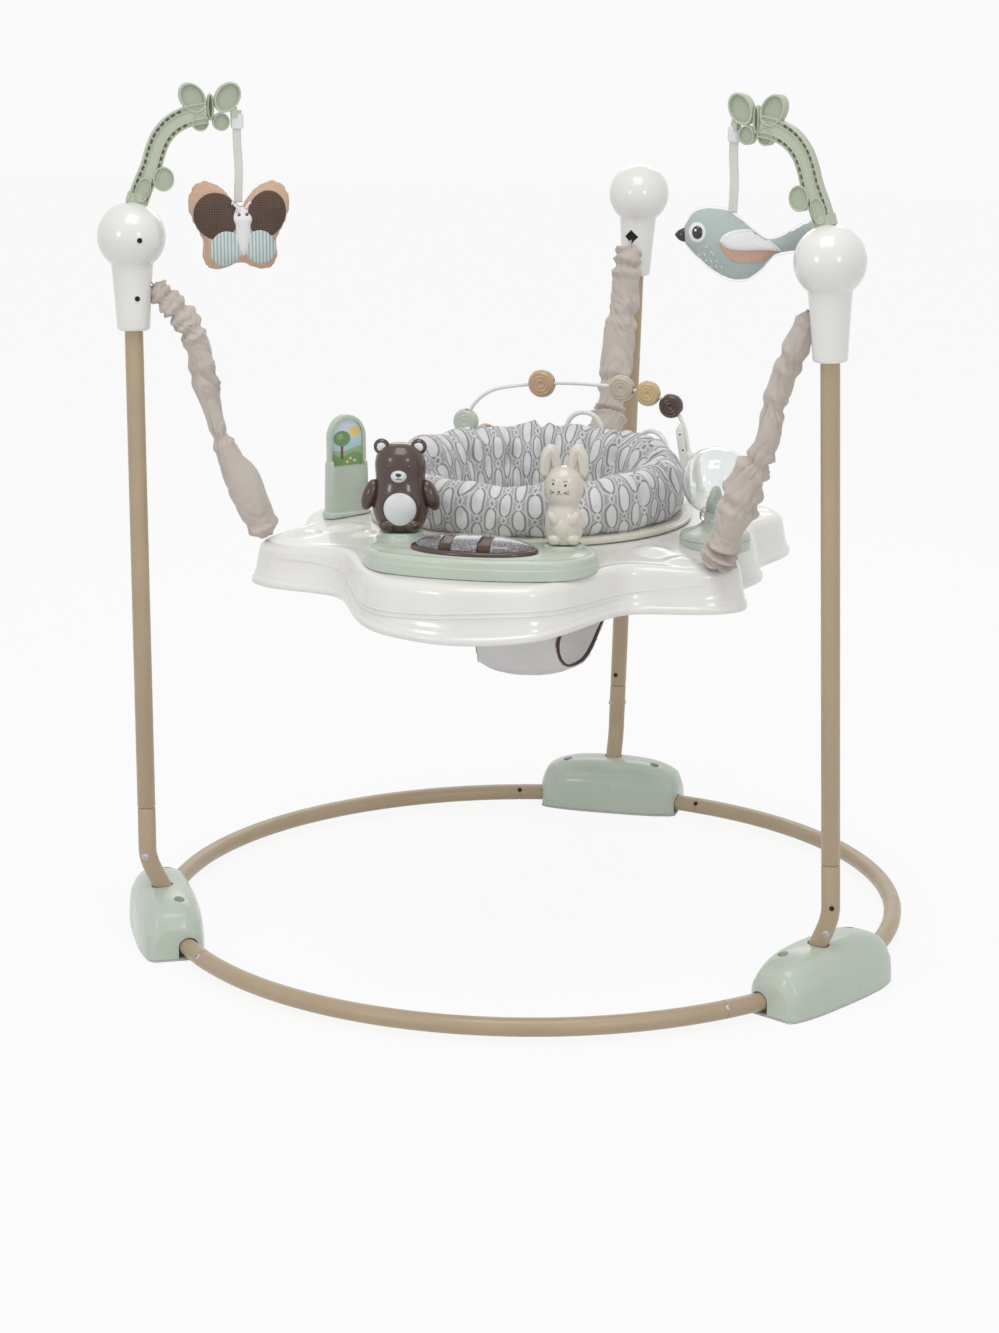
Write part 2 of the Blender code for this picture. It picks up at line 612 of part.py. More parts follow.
def make_straps(fabric, steel):
    for side in POST_ANGLES:
        path, radii = sleeve_path(side, SLEEVE_RINGS)
        radii = [r * (1 + SLEEVE_RIPPLE * (-1) ** k) for k, r in enumerate(radii)]
        bores = [r - FABRIC for r in radii]
        add_piece(f"sleeve_{side}", sweep(path, radii, SLEEVE_SIDES, bores), fabric)

        count = COIL_RULER
        line, _ = sleeve_path(side, count)
        frames = path_frames(line)
        first, last = int(COIL_SPAN[0] * count), int(COIL_SPAN[1] * count)
        points = [line[0] + (line[0] - line[2]).normalized() * SPRING_HOOK]
        points += [line[k] for k in range(0, first - 3, 6)]
        turns = COIL_TURNS * COIL_STEPS
        for k in range(turns + 1):
            place = first + (last - first) * k / turns
            i = min(int(place), count - 2)
            t = place - i
            point = line[i].lerp(line[i + 1], t)
            across = frames[i][2].lerp(frames[i + 1][2], t)
            over = frames[i][3].lerp(frames[i + 1][3], t)
            turn = 2 * math.pi * k / COIL_STEPS
            points.append(point + COIL_RADIUS * (math.cos(turn) * across + math.sin(turn) * over))
        points += [line[k] for k in range(last + 4, count - 4, 8)]
        points.append(line[-1])
        curve = bpy.data.curves.new(f"spring_{side}", "CURVE")
        curve.dimensions = "3D"
        curve.bevel_depth = WIRE_RADIUS
        curve.bevel_resolution = 1
        curve.use_fill_caps = True
        spline = curve.splines.new("POLY")
        spline.points.add(len(points) - 1)
        for target, point in zip(spline.points, points):
            target.co = (*point, 1.0)
        curve.materials.append(steel)
        spring = bpy.data.objects.new(f"spring_{side}", curve)
        spring.parent = bpy.data.objects["ring_centre"]
        bpy.context.collection.objects.link(spring)
        coil = points[len(points) // 4:len(points) // 4 + 3 * COIL_STEPS]
        near = [(a - b).length for i, a in enumerate(coil) for b in coil[i + COIL_STEPS // 2:]]
        print(f"spring_{side}: least gap between turns {1000 * (min(near) - 2 * WIRE_RADIUS):.2f} mm")


def tray_radius(angle):
    """The tray's outline: smooth peaks and dips, the same on both sides of the front."""
    from_front = abs((angle - 270 + 180) % 360 - 180)
    for (low, first), (high, second) in zip(TRAY_OUTLINE, TRAY_OUTLINE[1:]):
        if low <= from_front <= high:
            share = (1 - math.cos(math.pi * (from_front - low) / (high - low))) / 2
            return first + (second - first) * share
    return TRAY_OUTLINE[-1][1]


def lip_height(angle):
    """The tray's lower edge hangs deeper at the front."""
    from_front = abs((angle - 270 + 180) % 360 - 180)
    dip = TRAY_OUTLINE[2][0]
    if from_front > dip:
        return TRAY_LIP
    return TRAY_LIP - TRAY_LIP_FRONT_DROP * (1 + math.cos(math.pi * from_front / dip)) / 2


def tray_section(angle):
    """Radius and height of each point round the tray's wall at this angle."""
    outline = tray_radius(angle)
    edge = outline - LIP_WIDTH - WALL_DRAFT
    lip = lip_height(angle)

    def on_deck(radius, drop=0.0):
        return radius, deck_height(radius, 0) - drop

    outer = [(WELL_RADIUS, RIM_HEIGHT - COLLAR_DEPTH), (WELL_RADIUS, RIM_HEIGHT - 0.002),
             on_deck(WELL_RADIUS + 0.002),
             on_deck(edge - EDGE_ROUND), on_deck(edge - 0.3 * EDGE_ROUND, 0.003),
             on_deck(edge, EDGE_ROUND), (edge + WALL_DRAFT, lip + 0.009), (outline, lip + 0.006),
             (outline, lip)]
    inner = [(outline - TRAY_WALL, lip), (edge + WALL_DRAFT - TRAY_WALL, lip + 0.009),
             on_deck(edge - TRAY_WALL, EDGE_ROUND + 0.001),
             on_deck(edge - EDGE_ROUND, TRAY_WALL), on_deck(WELL_RADIUS + TRAY_WALL, TRAY_WALL),
             (WELL_RADIUS + TRAY_WALL, RIM_HEIGHT - COLLAR_DEPTH)]
    return outer + inner


def make_tray(plastic):
    columns = []
    for k in range(TRAY_COLUMNS):
        angle = 360 * k / TRAY_COLUMNS
        columns.append([around(angle, radius, height) for radius, height in tray_section(angle)])
    tray = add_piece("tray", skin(columns, closed=True), plastic)
    length, width, low = BATTERY_WELL
    x, y = KEYBOARD_CENTRE
    deck = deck_height(x, y)
    wall = 2 * TRAY_WALL
    outside = box((length + wall, width + wall, deck - 0.001 - low), (x, y, (deck - 0.001 + low) / 2))
    combine(tray, add_piece("battery_collar", outside, plastic, helper=True), "UNION")
    inside = box((length, width, 2 * (deck - low) + 0.004), (x, y, deck))
    combine(tray, add_piece("battery_hollow", inside, plastic, helper=True), "DIFFERENCE")


def bean(offset):
    """The console's outline, grown by offset: an arc-shaped bar with round ends."""
    half = CONSOLE_HALF_WIDTH + offset
    points = []
    for k in range(9):
        turn = CONSOLE_MIDDLE - CONSOLE_HALF_ANGLE + 2 * CONSOLE_HALF_ANGLE * k / 8
        points.append(around(turn, CONSOLE_CIRCLE + half))
    for end in (1, -1):
        middle = around(CONSOLE_MIDDLE + end * CONSOLE_HALF_ANGLE, CONSOLE_CIRCLE)
        first = CONSOLE_MIDDLE + end * CONSOLE_HALF_ANGLE + (0 if end > 0 else -180)
        for k in range(1, 5):
            points.append(middle + heading(first + 180 * k / 5) * half)
        if end > 0:
            for k in range(7):
                turn = CONSOLE_MIDDLE + CONSOLE_HALF_ANGLE - 2 * CONSOLE_HALF_ANGLE * k / 6
                points.append(around(turn, CONSOLE_CIRCLE - half))
    return [(p.x, p.y) for p in points]


def figure_place(name):
    angle, radius = {"bear": BEAR_PLACE, "bunny": BUNNY_PLACE}[name]
    return around(angle, radius)


def make_console(plastic, dark, grey, board_green, black, tray_plastic):
    top = CONSOLE_TOP
    levels = [(0.0, None), (0.0, top - 0.0045), (-0.0013, top - 0.0013), (-0.0045, top)]
    rings = [[Vector((x, y, 0.0 if z is None else z)) for x, y in bean(offset)] for offset, z in levels]
    console = add_piece("console_housing", stand_on_deck(skin(rings)), plastic)
    for name in ("bear", "bunny"):
        place = figure_place(name)
        radius = COLLAR_RADIUS[name]
        collar = lathe([(0, 0), (radius + 0.003, 0), (radius + 0.003, top + 0.0015),
                        (radius, top + 0.002), (radius, COLLAR_TOP[name] - 0.0007),
                        (radius - 0.0010, COLLAR_TOP[name]), (0, COLLAR_TOP[name])], 14,
                       Matrix.Translation(place))
        combine(console, add_piece(f"{name}_collar", stand_on_deck(collar), plastic, helper=True), "UNION")
    rings = [[Vector((x, y, z)) for x, y in bean(-CONSOLE_WALL)]
             for z in (RIM_HEIGHT - 0.027, top - CONSOLE_WALL)]
    combine(console, add_piece("console_hollow", skin(rings), plastic, helper=True), "DIFFERENCE")
    half = KEYBOARD_HALF
    pocket_rim = ellipse(KEYBOARD_CENTRE, (half[0] + 0.0008, half[1] + 0.0008), 24)
    pocket = prism(pocket_rim, RIM_HEIGHT - 0.007, top + 0.010)
    combine(console, add_piece("key_pocket", pocket, plastic, helper=True), "DIFFERENCE")

    base = top + GAP
    inner = (half[0] + KEY_PLAY, half[1] + KEY_PLAY)
    outer = (half[0] + BEZEL_BAND, half[1] + BEZEL_BAND)
    bezel_rows = [(outer, base), (outer, base + 0.5 * BEZEL_HEIGHT),
                  ((outer[0] - 0.0015, outer[1] - 0.0015), base + BEZEL_HEIGHT), (inner, base + BEZEL_HEIGHT),
                  (inner, base)]
    rings = [[Vector((x, y, z)) for x, y in ellipse(KEYBOARD_CENTRE, radii, 24)] for radii, z in bezel_rows]
    add_piece("keyboard_bezel", skin(rings, closed=True), dark)

    crown_base = base + BEZEL_HEIGHT
    x0, y0 = KEYBOARD_CENTRE

    def crown(name, helper):
        rings = [[Vector((x, y, top - 0.001)) for x, y in ellipse(KEYBOARD_CENTRE, half, 24)]]
        for k in range(5):
            turn = math.radians(90 * k / 5)
            radii = (half[0] * math.cos(turn), half[1] * math.cos(turn))
            height = crown_base + KEY_CROWN * math.sin(turn)
            rings.append([Vector((x, y, height)) for x, y in ellipse(KEYBOARD_CENTRE, radii, 24)])
        return add_piece(name, skin(rings), grey, helper=helper)

    edges = [-half[0] - 0.01, x0 + KEY_GAPS[0], x0 + KEY_GAPS[1], half[0] + 0.02]
    dark_width, dark_length = DARK_KEY
    dark_y = y0 - half[1] + dark_length / 2 + 0.0015
    for name, low, high in zip(("key_left", "key_middle", "key_right"), edges, edges[1:]):
        key = crown(name, False)
        slab = box((high - low - KEY_PLAY, 0.10, 0.10), ((low + high) / 2, y0, top))
        combine(key, add_piece(f"{name}_slab", slab, grey, helper=True), "INTERSECT")
        for k, place in enumerate(KEY_GAPS):
            if low - 0.001 <= x0 + place <= high + 0.001:
                notch = box((dark_width + 2 * KEY_PLAY, dark_length + 2 * KEY_PLAY + 0.02, 0.10),
                            (x0 + place, dark_y - 0.010, top))
                combine(key, add_piece(f"{name}_notch_{k}", notch, grey, helper=True), "DIFFERENCE")
    for name, place in zip(("dark_key_left", "dark_key_right"), KEY_GAPS):
        x = x0 + place
        low_y, high_y = dark_y - dark_length / 2, dark_y + dark_length / 2
        margin = 0.0
        for corner in (x - dark_width / 2, x + dark_width / 2):
            reach = half[1] * math.sqrt(max(1 - ((corner - x0) / half[0]) ** 2, 0))
            margin = max(margin, (y0 - reach + KEY_PLAY) - low_y)
        low_y += margin
        rows = []
        levels = ((0.0, top - 0.001), (0.0, DARK_KEY_TOP - 0.004), (0.0008, DARK_KEY_TOP - 0.0032))
        for inset, height in levels:
            rows.append([Vector((x + sx * (dark_width / 2 - inset),
                                 (low_y + inset) if sy < 0 else (high_y - inset),
                                 height - (0.0030 if sy < 0 and height > top else 0.0)))
                         for sx, sy in ((-1, -1), (1, -1), (1, 1), (-1, 1))])
        add_piece(name, skin(rows), dark)

    length, width, low = BATTERY_WELL
    play = 2 * GAP
    door = box((length - 2 * play, width - 2 * play, 0.003), (x0, y0, low + 0.002))
    add_piece("battery_door", door, tray_plastic)
    board = box((length - 0.004, width - 0.004, 0.0016), (x0, y0, low + 0.0225))
    add_piece("circuit_board", board, board_green)
    cone = [(0, 0.0), (0.0075, 0.0), (0.0085, 0.0045), (0.0145, 0.0080), (0.0145, 0.0100), (0.0125, 0.0100),
            (0.0040, 0.0065), (0, 0.0065)]
    add_piece("speaker", lathe(cone, 12, Matrix.Translation((x0 - 0.012, y0, low + 0.006))), black)


def make_figures(brown, cream):
    # Both figures are given from the top of the collar that they turn on.
    place = figure_place("bear")
    collar = COLLAR_TOP["bear"]
    body = [(0, RUN), (0.0190, RUN), (0.0258, 0.0118), (0.0295, 0.0268), (0.0280, 0.0418), (0.0255, 0.0542),
            (0.0257, 0.0688), (0.0235, 0.0798), (0.0160, 0.0878), (0, 0.0908)]
    body = [(radius, collar + height) for radius, height in body]
    bear = add_piece("bear", lathe(body, 14, squash=0.82), brown, place, BEAR_HEADING + 90, local=True)
    ear, arm = collar + 0.0863, collar + 0.0378
    limbs = {"ear_left": ((0.0080, 0.0042, 0.0080), (-0.0190, 0.0, ear), 0),
             "ear_right": ((0.0080, 0.0042, 0.0080), (0.0190, 0.0, ear), 0),
             "arm_left": ((0.0085, 0.0085, 0.0165), (-0.0315, -0.004, arm), 20),
             "arm_right": ((0.0085, 0.0085, 0.0165), (0.0315, -0.004, arm), -20)}
    for name, (radii, centre, lean) in limbs.items():
        limb = ball(radii, centre, Matrix.Rotation(math.radians(lean), 3, "Y"), 8, 6)
        helper = add_piece(f"bear_{name}", limb, brown, place, BEAR_HEADING + 90, helper=True, local=True)
        combine(bear, helper, "UNION")

    place = figure_place("bunny")
    collar = COLLAR_TOP["bunny"]
    body = [(0, RUN), (0.0145, RUN), (0.0180, 0.0092), (0.0193, 0.0212), (0.0170, 0.0332), (0.0140, 0.0407),
            (0.0180, 0.0482), (0.0196, 0.0582), (0.0178, 0.0702), (0.0110, 0.0777), (0, 0.0802)]
    body = [(radius, collar + height) for radius, height in body]
    bunny = add_piece("bunny", lathe(body, 14, squash=0.85), cream, place, BUNNY_HEADING + 90, local=True)
    for name, side in (("ear_left", -1), ("ear_right", 1)):
        ear = ball((0.0088, 0.0055, 0.0185), (side * 0.0128, 0.001, collar + 0.0812),
                   Matrix.Rotation(math.radians(-side * 6), 3, "Y"), 10, 7)
        helper = add_piece(f"bunny_{name}", ear, cream, place, BUNNY_HEADING + 90, helper=True, local=True)
        combine(bunny, helper, "UNION")


def arch_outline(half, low, high, count=12):
    """A round-topped panel in x and height."""
    spring = high - half * 1.15
    points = [(-half, low), (half, low)]
    for k in range(count + 1):
        turn = math.pi * k / count
        points.append((half * math.cos(turn), spring + 1.15 * half * math.sin(turn)))
    return points


def make_tower(plastic, clear, card):
    width, thickness = TOWER_SIZE
    place = around(*TOWER_PLACE)
    turn = TOWER_HEADING + 90
    spin = Matrix.Translation(place) @ Matrix.Rotation(math.radians(turn), 4, "Z")
    upright = Matrix(((1, 0, 0, 0), (0, 0, -1, 0), (0, 1, 0, 0), (0, 0, 0, 1)))
    half = width / 2

    block = []
    levels = ((0.0, 0.0), (0.0, RIM_HEIGHT + 0.005), (0.0010, TOWER_SHOULDER - 0.003),
              (0.0030, TOWER_SHOULDER))
    for inset, height in levels:
        corners = []
        for k in range(16):
            a = 2 * math.pi * (k + 0.5) / 16
            x = math.copysign(abs(math.cos(a)) ** 0.4, math.cos(a)) * (half - inset)
            y = math.copysign(abs(math.sin(a)) ** 0.4, math.sin(a)) * (thickness / 2 - inset)
            corners.append(spin @ Vector((x, y, 0)) + Vector((0, 0, height)))
        block.append(corners)
    housing = add_piece("tower_housing", stand_on_deck(skin(block)), plastic)
    rim_half = half - 0.002
    rim = prism(arch_outline(rim_half, TOWER_SHOULDER - 0.010, TOWER_TOP), -0.0045, 0.0045, spin @ upright)
    combine(housing, add_piece("tower_rim", rim, plastic, helper=True), "UNION")
    hole = arch_outline(rim_half - TOWER_RIM, TOWER_SHOULDER - 0.006, TOWER_TOP - TOWER_RIM)
    combine(housing, add_piece("tower_hole", prism(hole, -0.02, 0.02, spin @ upright), plastic, helper=True),
            "DIFFERENCE")
    inner = arch_outline(rim_half - TOWER_RIM - GAP, TOWER_SHOULDER - 0.006 + GAP,
                         TOWER_TOP - TOWER_RIM - GAP)
    add_piece("picture_window", prism(inner, 0.0008, 0.0035, spin @ upright), clear)
    add_piece("picture_card", prism(inner, -0.0010, 0.0005, spin @ upright), card)


def make_dome(plastic, clear):
    place = Matrix.Translation(around(*DOME_PLACE))
    cone = [(0.037, 0.0030), (0.0345, 0.0080), (0.0225, 0.0120), (0.0145, 0.0165), (0.0105, 0.0270),
            (0.0085, 0.0400), (0.0045, 0.0530), (0, 0.0565)]
    base = [(0, 0.0), (0.037, 0.0)] + [(radius, RIM_HEIGHT + height) for radius, height in cone]
    add_piece("dome_base", stand_on_deck(lathe(base, 16, place)), plastic)
    outer = math.asin(DOME_NECK / DOME_RADIUS)
    inside = DOME_RADIUS - DOME_WALL
    inner = math.asin((DOME_NECK - DOME_WALL) / inside)
    profile = []
    rows = 7
    for k in range(rows + 1):
        turn = (math.pi - outer) * k / rows
        profile.append((DOME_RADIUS * math.sin(turn), DOME_HEIGHT + DOME_RADIUS * math.cos(turn)))
    low = DOME_HEIGHT - DOME_RADIUS * math.cos(outer) - 0.008
    profile += [(DOME_NECK, low), (DOME_NECK - DOME_WALL, low)]
    for k in range(rows, -1, -1):
        turn = (math.pi - inner) * k / rows
        profile.append((inside * math.sin(turn), DOME_HEIGHT + inside * math.cos(turn)))
    add_piece("dome_shell", lathe(profile, 12, place), clear, around(*DOME_PLACE))


def shoulder_centre():
    """The middle of the right shoulder bend, in x and height."""
    start = math.asin(WIRE_TOP_HALF / WIRE_TOP_BEND)
    reach = WIRE_TOP_BEND - WIRE_SHOULDER
    return reach * math.sin(start), WIRE_CROWN - WIRE_TOP_BEND + reach * math.cos(start)


def half_wire():
    """The bead wire's right half, from its crown down to the deck, in x and height."""
    top_end = math.asin(WIRE_TOP_HALF / WIRE_TOP_BEND)
    points = []
    for k in range(5):
        turn = top_end * k / 5
        points.append((WIRE_TOP_BEND * math.sin(turn), WIRE_CROWN - WIRE_TOP_BEND * (1 - math.cos(turn))))
    x, z = shoulder_centre()
    last = math.radians(WIRE_LEG_ANGLE)
    for k in range(7):
        turn = top_end + (last - top_end) * k / 6
        points.append((x + WIRE_SHOULDER * math.sin(turn), z + WIRE_SHOULDER * math.cos(turn)))
    end_x, end_z = points[-1]
    low = deck_height(end_x + 0.015, WIRE_Y) - GAP
    points.append((end_x + (end_z - low) / math.tan(last), low))
    return points


def bead_place(x):
    """Height of the bead wire at x."""
    points = half_wire()
    for (x0, z0), (x1, z1) in zip(points, points[1:]):
        if x0 <= abs(x) <= x1:
            return z0 + (z1 - z0) * (abs(x) - x0) / (x1 - x0)
    return points[-1][1]


def exact_bead(x):
    """Where a bead's middle sits on the true bends of the wire, in x and height."""
    cx, cz = shoulder_centre()
    if abs(x) <= WIRE_TOP_HALF:
        return x, WIRE_CROWN - WIRE_TOP_BEND + math.sqrt(WIRE_TOP_BEND ** 2 - x * x)
    over = abs(x) - cx
    if over < WIRE_SHOULDER * math.sin(math.radians(WIRE_LEG_ANGLE)):
        return x, cz + math.sqrt(WIRE_SHOULDER ** 2 - over * over)
    return x, bead_place(x)


def make_beads(white, finishes):
    right = half_wire()
    line = [(-x, z) for x, z in right[:0:-1]] + right
    path = [Vector((x, WIRE_Y, z)) for x, z in line]
    low_left = [path[0].lerp(path[1], share) for share in WIRE_FOOT]
    low_right = [path[-1].lerp(path[-2], share) for share in WIRE_FOOT[::-1]]
    path = [path[0], *low_left, *path[1:-1], *low_right, path[-1]]
    radii = [WIRE_FOOT_RADIUS] * 2 + [BEAD_WIRE_RADIUS] * (len(path) - 4) + [WIRE_FOOT_RADIUS] * 2
    add_piece("bead_wire", trim_to_deck(sweep(path, radii, 6)), white)
    bore = [Vector((x, WIRE_Y, z)) for x, z in line]
    bore = sweep(bore, [BEAD_WIRE_RADIUS + BEAD_PLAY] * len(bore), 8)
    cutter = add_piece("bead_bore", bore, white, helper=True)
    for name, (radius, x) in BEADS.items():
        cx, cz = exact_bead(x)
        half = BEAD_THICKNESS / 2
        profile = [(0, -half), (radius * 0.72, -half), (radius * 0.93, -half * 0.62), (radius, 0),
                   (radius * 0.93, half * 0.62), (radius * 0.72, half), (0, half)]
        place = Matrix.Translation((cx, WIRE_Y, cz)) @ Matrix.Rotation(math.radians(90), 4, "X")
        bead = add_piece(name, lathe(profile, 12, place), finishes[name], bead_pivot(name))
        combine(bead, cutter, "DIFFERENCE")


def bead_pivot(name):
    """The middle of the bend that a bead slides along, or the bead's own middle on a straight leg."""
    _, x = BEADS[name]
    if abs(x) <= WIRE_TOP_HALF:
        return Vector((0, WIRE_Y, WIRE_CROWN - WIRE_TOP_BEND))
    cx, cz = shoulder_centre()
    if abs(x) - cx < WIRE_SHOULDER * math.sin(math.radians(WIRE_LEG_ANGLE)):
        return Vector((math.copysign(cx, x), WIRE_Y, cz))
    return Vector((x, WIRE_Y, exact_bead(x)[1]))


def make_loops(plastic):
    for name, (angle, radius, half, top) in LINK_LOOPS.items():
        centre = around(angle, radius)
        across = heading(angle - 90)
        spring = top - LOOP_TUBE - half
        path = []
        for k in range(9):
            turn = math.pi * k / 8
            rise = Vector((0, 0, spring + half * math.sin(turn)))
            path.append(centre + across * half * math.cos(turn) + rise)
        feet = []
        for end in (path[0], path[-1]):
            foot = end.copy()
            foot.z = deck_height(foot.x, foot.y) - GAP
            feet.append(foot)
        path = [feet[0], *path, feet[1]]
        add_piece(name, trim_to_deck(sweep(path, [LOOP_TUBE] * len(path), 6)), plastic)


def make_spinner(plastic, tan):
    place = around(*SPINNER_PLACE)
    out = heading(SPINNER_PLACE[0])
    centre = place + Vector((0, 0, SPINNER_HEIGHT))
    half = SPINNER_THICKNESS / 2
    stalk_middle = place + out * (half + RUN + 0.004)
    foot = Vector((stalk_middle.x, stalk_middle.y, deck_height(stalk_middle.x, stalk_middle.y) - GAP))
    head = Vector((stalk_middle.x, stalk_middle.y, SPINNER_HEIGHT + 0.005))
    waist = foot.lerp(head, 0.15)
    stalk = trim_to_deck(sweep([foot, waist, head], [0.0070, 0.0035, 0.0035], 10))
    post = add_piece("spinner_post", stalk, plastic)
    pin = cylinder(SPINNER_PIN, centre + out * (half + RUN + 0.004), centre - out * (half + 0.0015))
    combine(post, add_piece("spinner_pin", pin, plastic, helper=True), "UNION")
    bore = SPINNER_PIN + 0.0006
    profile = [(bore, -half), (SPINNER_RADIUS - 0.0015, -half), (SPINNER_RADIUS, 0.0015 - half),
               (SPINNER_RADIUS, half - 0.0015), (SPINNER_RADIUS - 0.0015, half), (bore, half)]
    turn = out.to_track_quat("Z", "Y").to_matrix().to_4x4()
    wheel = lathe(profile, 14, Matrix.Translation(centre) @ turn, closed=True)
    add_piece("spinner_wheel", wheel, tan, centre)


def pad_rise(turn):
    """The seat pad stands higher at the back."""
    return PAD_BACK_RISE * (1 + math.sin(turn)) / 2


def make_seat(plastic, fabric):
    skirt = WELL_RADIUS - RUN - 0.0002
    flange_low = RIM_HEIGHT + RUN
    ring = [(SEAT_RING_IN, SEAT_RING_BOTTOM), (skirt, SEAT_RING_BOTTOM), (skirt, flange_low),
            (SEAT_RING_OUT - 0.0004, flange_low), (SEAT_RING_OUT, flange_low + 0.0025),
            (SEAT_RING_OUT - 0.0026, SEAT_RING_TOP), (SEAT_RING_IN, SEAT_RING_TOP)]
    add_piece("seat_ring", lathe(ring, SEAT_SIDES, closed=True), plastic)

    top = PAD_TOP
    low = SEAT_RING_TOP + GAP
    throat = SEAT_RING_IN - 0.0015
    wall = SLING_THICKNESS
    # Radius, height and how much of the back's rise the point takes.
    bowl = PAD_RADIUS / 0.165       # the bowl under the seat narrows with the pad
    floor_radius = bowl * 0.062
    profile = [(0, SEAT_BOTTOM, 0), (bowl * 0.045, SEAT_BOTTOM + 0.002, 0),
               (floor_radius, SEAT_BOTTOM + 0.014, 0),
               (bowl * 0.080, SEAT_BOTTOM + 0.056, 0), (bowl * 0.106, SEAT_BOTTOM + 0.116, 0),
               (bowl * 0.126, SEAT_BOTTOM + 0.147, 0),
               (throat - 0.004, SEAT_RING_BOTTOM + 0.002, 0),
               (throat, SEAT_RING_BOTTOM + 0.006, 0), (throat, low, 0), (PAD_RADIUS - 0.008, low, 0),
               (PAD_RADIUS, low + 0.010, 0), (PAD_RADIUS + 0.001, low + 0.028, 0.4),
               (PAD_RADIUS - 0.005, top - 0.010, 0.9), (PAD_RADIUS - 0.016, top, 1),
               (PAD_RADIUS - 0.029, top - 0.001, 1), (PAD_RADIUS - 0.041, top - 0.012, 0.9),
               (PAD_RADIUS - 0.049, top - 0.034, 0.5), (bowl * 0.104, SEAT_BOTTOM + 0.151, 0.2),
               (bowl * 0.090, SEAT_BOTTOM + 0.101, 0), (bowl * 0.074, SEAT_BOTTOM + 0.056, 0),
               (floor_radius - wall, SEAT_BOTTOM + 0.014 + wall, 0),
               (bowl * 0.042, SEAT_BOTTOM + wall + 0.002, 0), (0, SEAT_BOTTOM + wall, 0)]
    rings = []
    for radius, height, share in profile:
        ring_points = []
        for i in range(SEAT_SIDES):
            turn = 2 * math.pi * i / SEAT_SIDES
            ring_points.append(Vector((radius * math.cos(turn), radius * math.sin(turn),
                                       height + share * pad_rise(turn))))
        rings.append(ring_points)
    pad = add_piece("seat_pad", skin(rings), fabric)
    for k, angle in enumerate(LEG_HOLE_HEADINGS):
        way = heading(angle) * math.cos(math.radians(LEG_HOLE_TILT))
        way.z = -math.sin(math.radians(LEG_HOLE_TILT))
        start = Vector((0, 0, LEG_HOLE_HEIGHT + 0.018)) + heading(angle) * 0.035
        hole = cylinder(LEG_HOLE_RADIUS, start, start + way * 0.12, 16)
        combine(pad, add_piece(f"leg_hole_cutter_{k}", hole, fabric, helper=True), "DIFFERENCE")


def hang_point(side):
    """The top of a hung toy's ribbon."""
    point = post_point(POST_ANGLES[side], BALL_HEIGHT) + heading(ARCH_HEADINGS[side]) * HANG_REACH[side]
    point.z = BALL_HEIGHT + HANG_RISE
    return point


def make_ribbon(name, side, drop, face, fabric):
    top = hang_point(side)
    ribbon = box((RIBBON[0], RIBBON[1], drop), (0, 0, -drop / 2))
    add_piece(name, ribbon, fabric, top, face, local=True)


def wing_radius(turn):
    """The butterfly's outline: two large upper wings and two smaller lower ones."""
    from_top = abs((math.degrees(turn) - 90 + 180) % 360 - 180)
    lobes = [(0, 0.36), (48, 1.05), (109, 0.72), (142, 0.90), (180, 0.68)]
    for (low, first), (high, second) in zip(lobes, lobes[1:]):
        if low <= from_top <= high:
            share = (1 - math.cos(math.pi * (from_top - low) / (high - low))) / 2
            return BUTTERFLY_SIZE * (first + (second - first) * share)
    return BUTTERFLY_SIZE * lobes[-1][1]


def make_butterfly(tan, ribbon_cloth):
    top = hang_point("left")
    levels = [(0.45, -1.0), (0.86, -0.72), (1.0, 0.0), (0.86, 0.72), (0.45, 1.0)]
    rings = []
    for scale, depth in levels:
        ring = []
        for i in range(30):
            turn = 2 * math.pi * i / 30
            radius = wing_radius(turn) * scale
            ring.append(Vector((radius * math.cos(turn), depth * BUTTERFLY_THICKNESS / 2,
                                radius * math.sin(turn) - BUTTERFLY_DROP)))
        rings.append(ring)
    add_piece("butterfly_plush", skin(rings), tan, top, BUTTERFLY_HEADING, local=True)
    upright = math.pi / 2
    edge = math.atan2(RIBBON[0] / 2, wing_radius(upright))
    drop = BUTTERFLY_DROP - wing_radius(upright + edge) - 2 * GAP
    make_ribbon("butterfly_ribbon", "left", drop, BUTTERFLY_HEADING, ribbon_cloth)


# Bird: distance behind its middle, height of its axis, half height, share of its half thickness
BIRD_STATIONS = [
    (-0.0570, 0.0085, 0.0035, 0.20), (-0.0530, 0.0086, 0.0100, 0.45), (-0.0430, 0.0100, 0.0220, 0.80),
    (-0.0286, 0.0052, 0.0305, 0.97), (-0.0095, -0.0020, 0.0345, 1.0), (0.0095, -0.0090, 0.0275, 0.85),
    (0.0238, -0.0095, 0.0165, 0.60), (0.0340, -0.0040, 0.0095, 0.42), (0.0476, 0.0005, 0.0110, 0.34),
    (0.0630, 0.0060, 0.0145, 0.30), (0.0730, 0.0105, 0.0130, 0.20),
]


def make_bird(blue, ribbon_cloth):
    top = hang_point("right")
    rings = []
    for along, axis, half, share in BIRD_STATIONS:
        ring = []
        for i in range(12):
            turn = 2 * math.pi * i / 12
            ring.append(Vector((along, BIRD_HALF_THICKNESS * share * math.cos(turn),
                                axis + half * math.sin(turn) - BIRD_DROP)))
        rings.append(ring)
    shift = Vector((0.006, 0, 0))
    bm = skin(rings)
    bmesh.ops.translate(bm, vec=shift, verts=bm.verts)
    add_piece("bird_body", bm, blue, top, BIRD_HEADING, local=True)
    make_ribbon("bird_ribbon", "right", BIRD_DROP - 0.0355, BIRD_HEADING, ribbon_cloth)


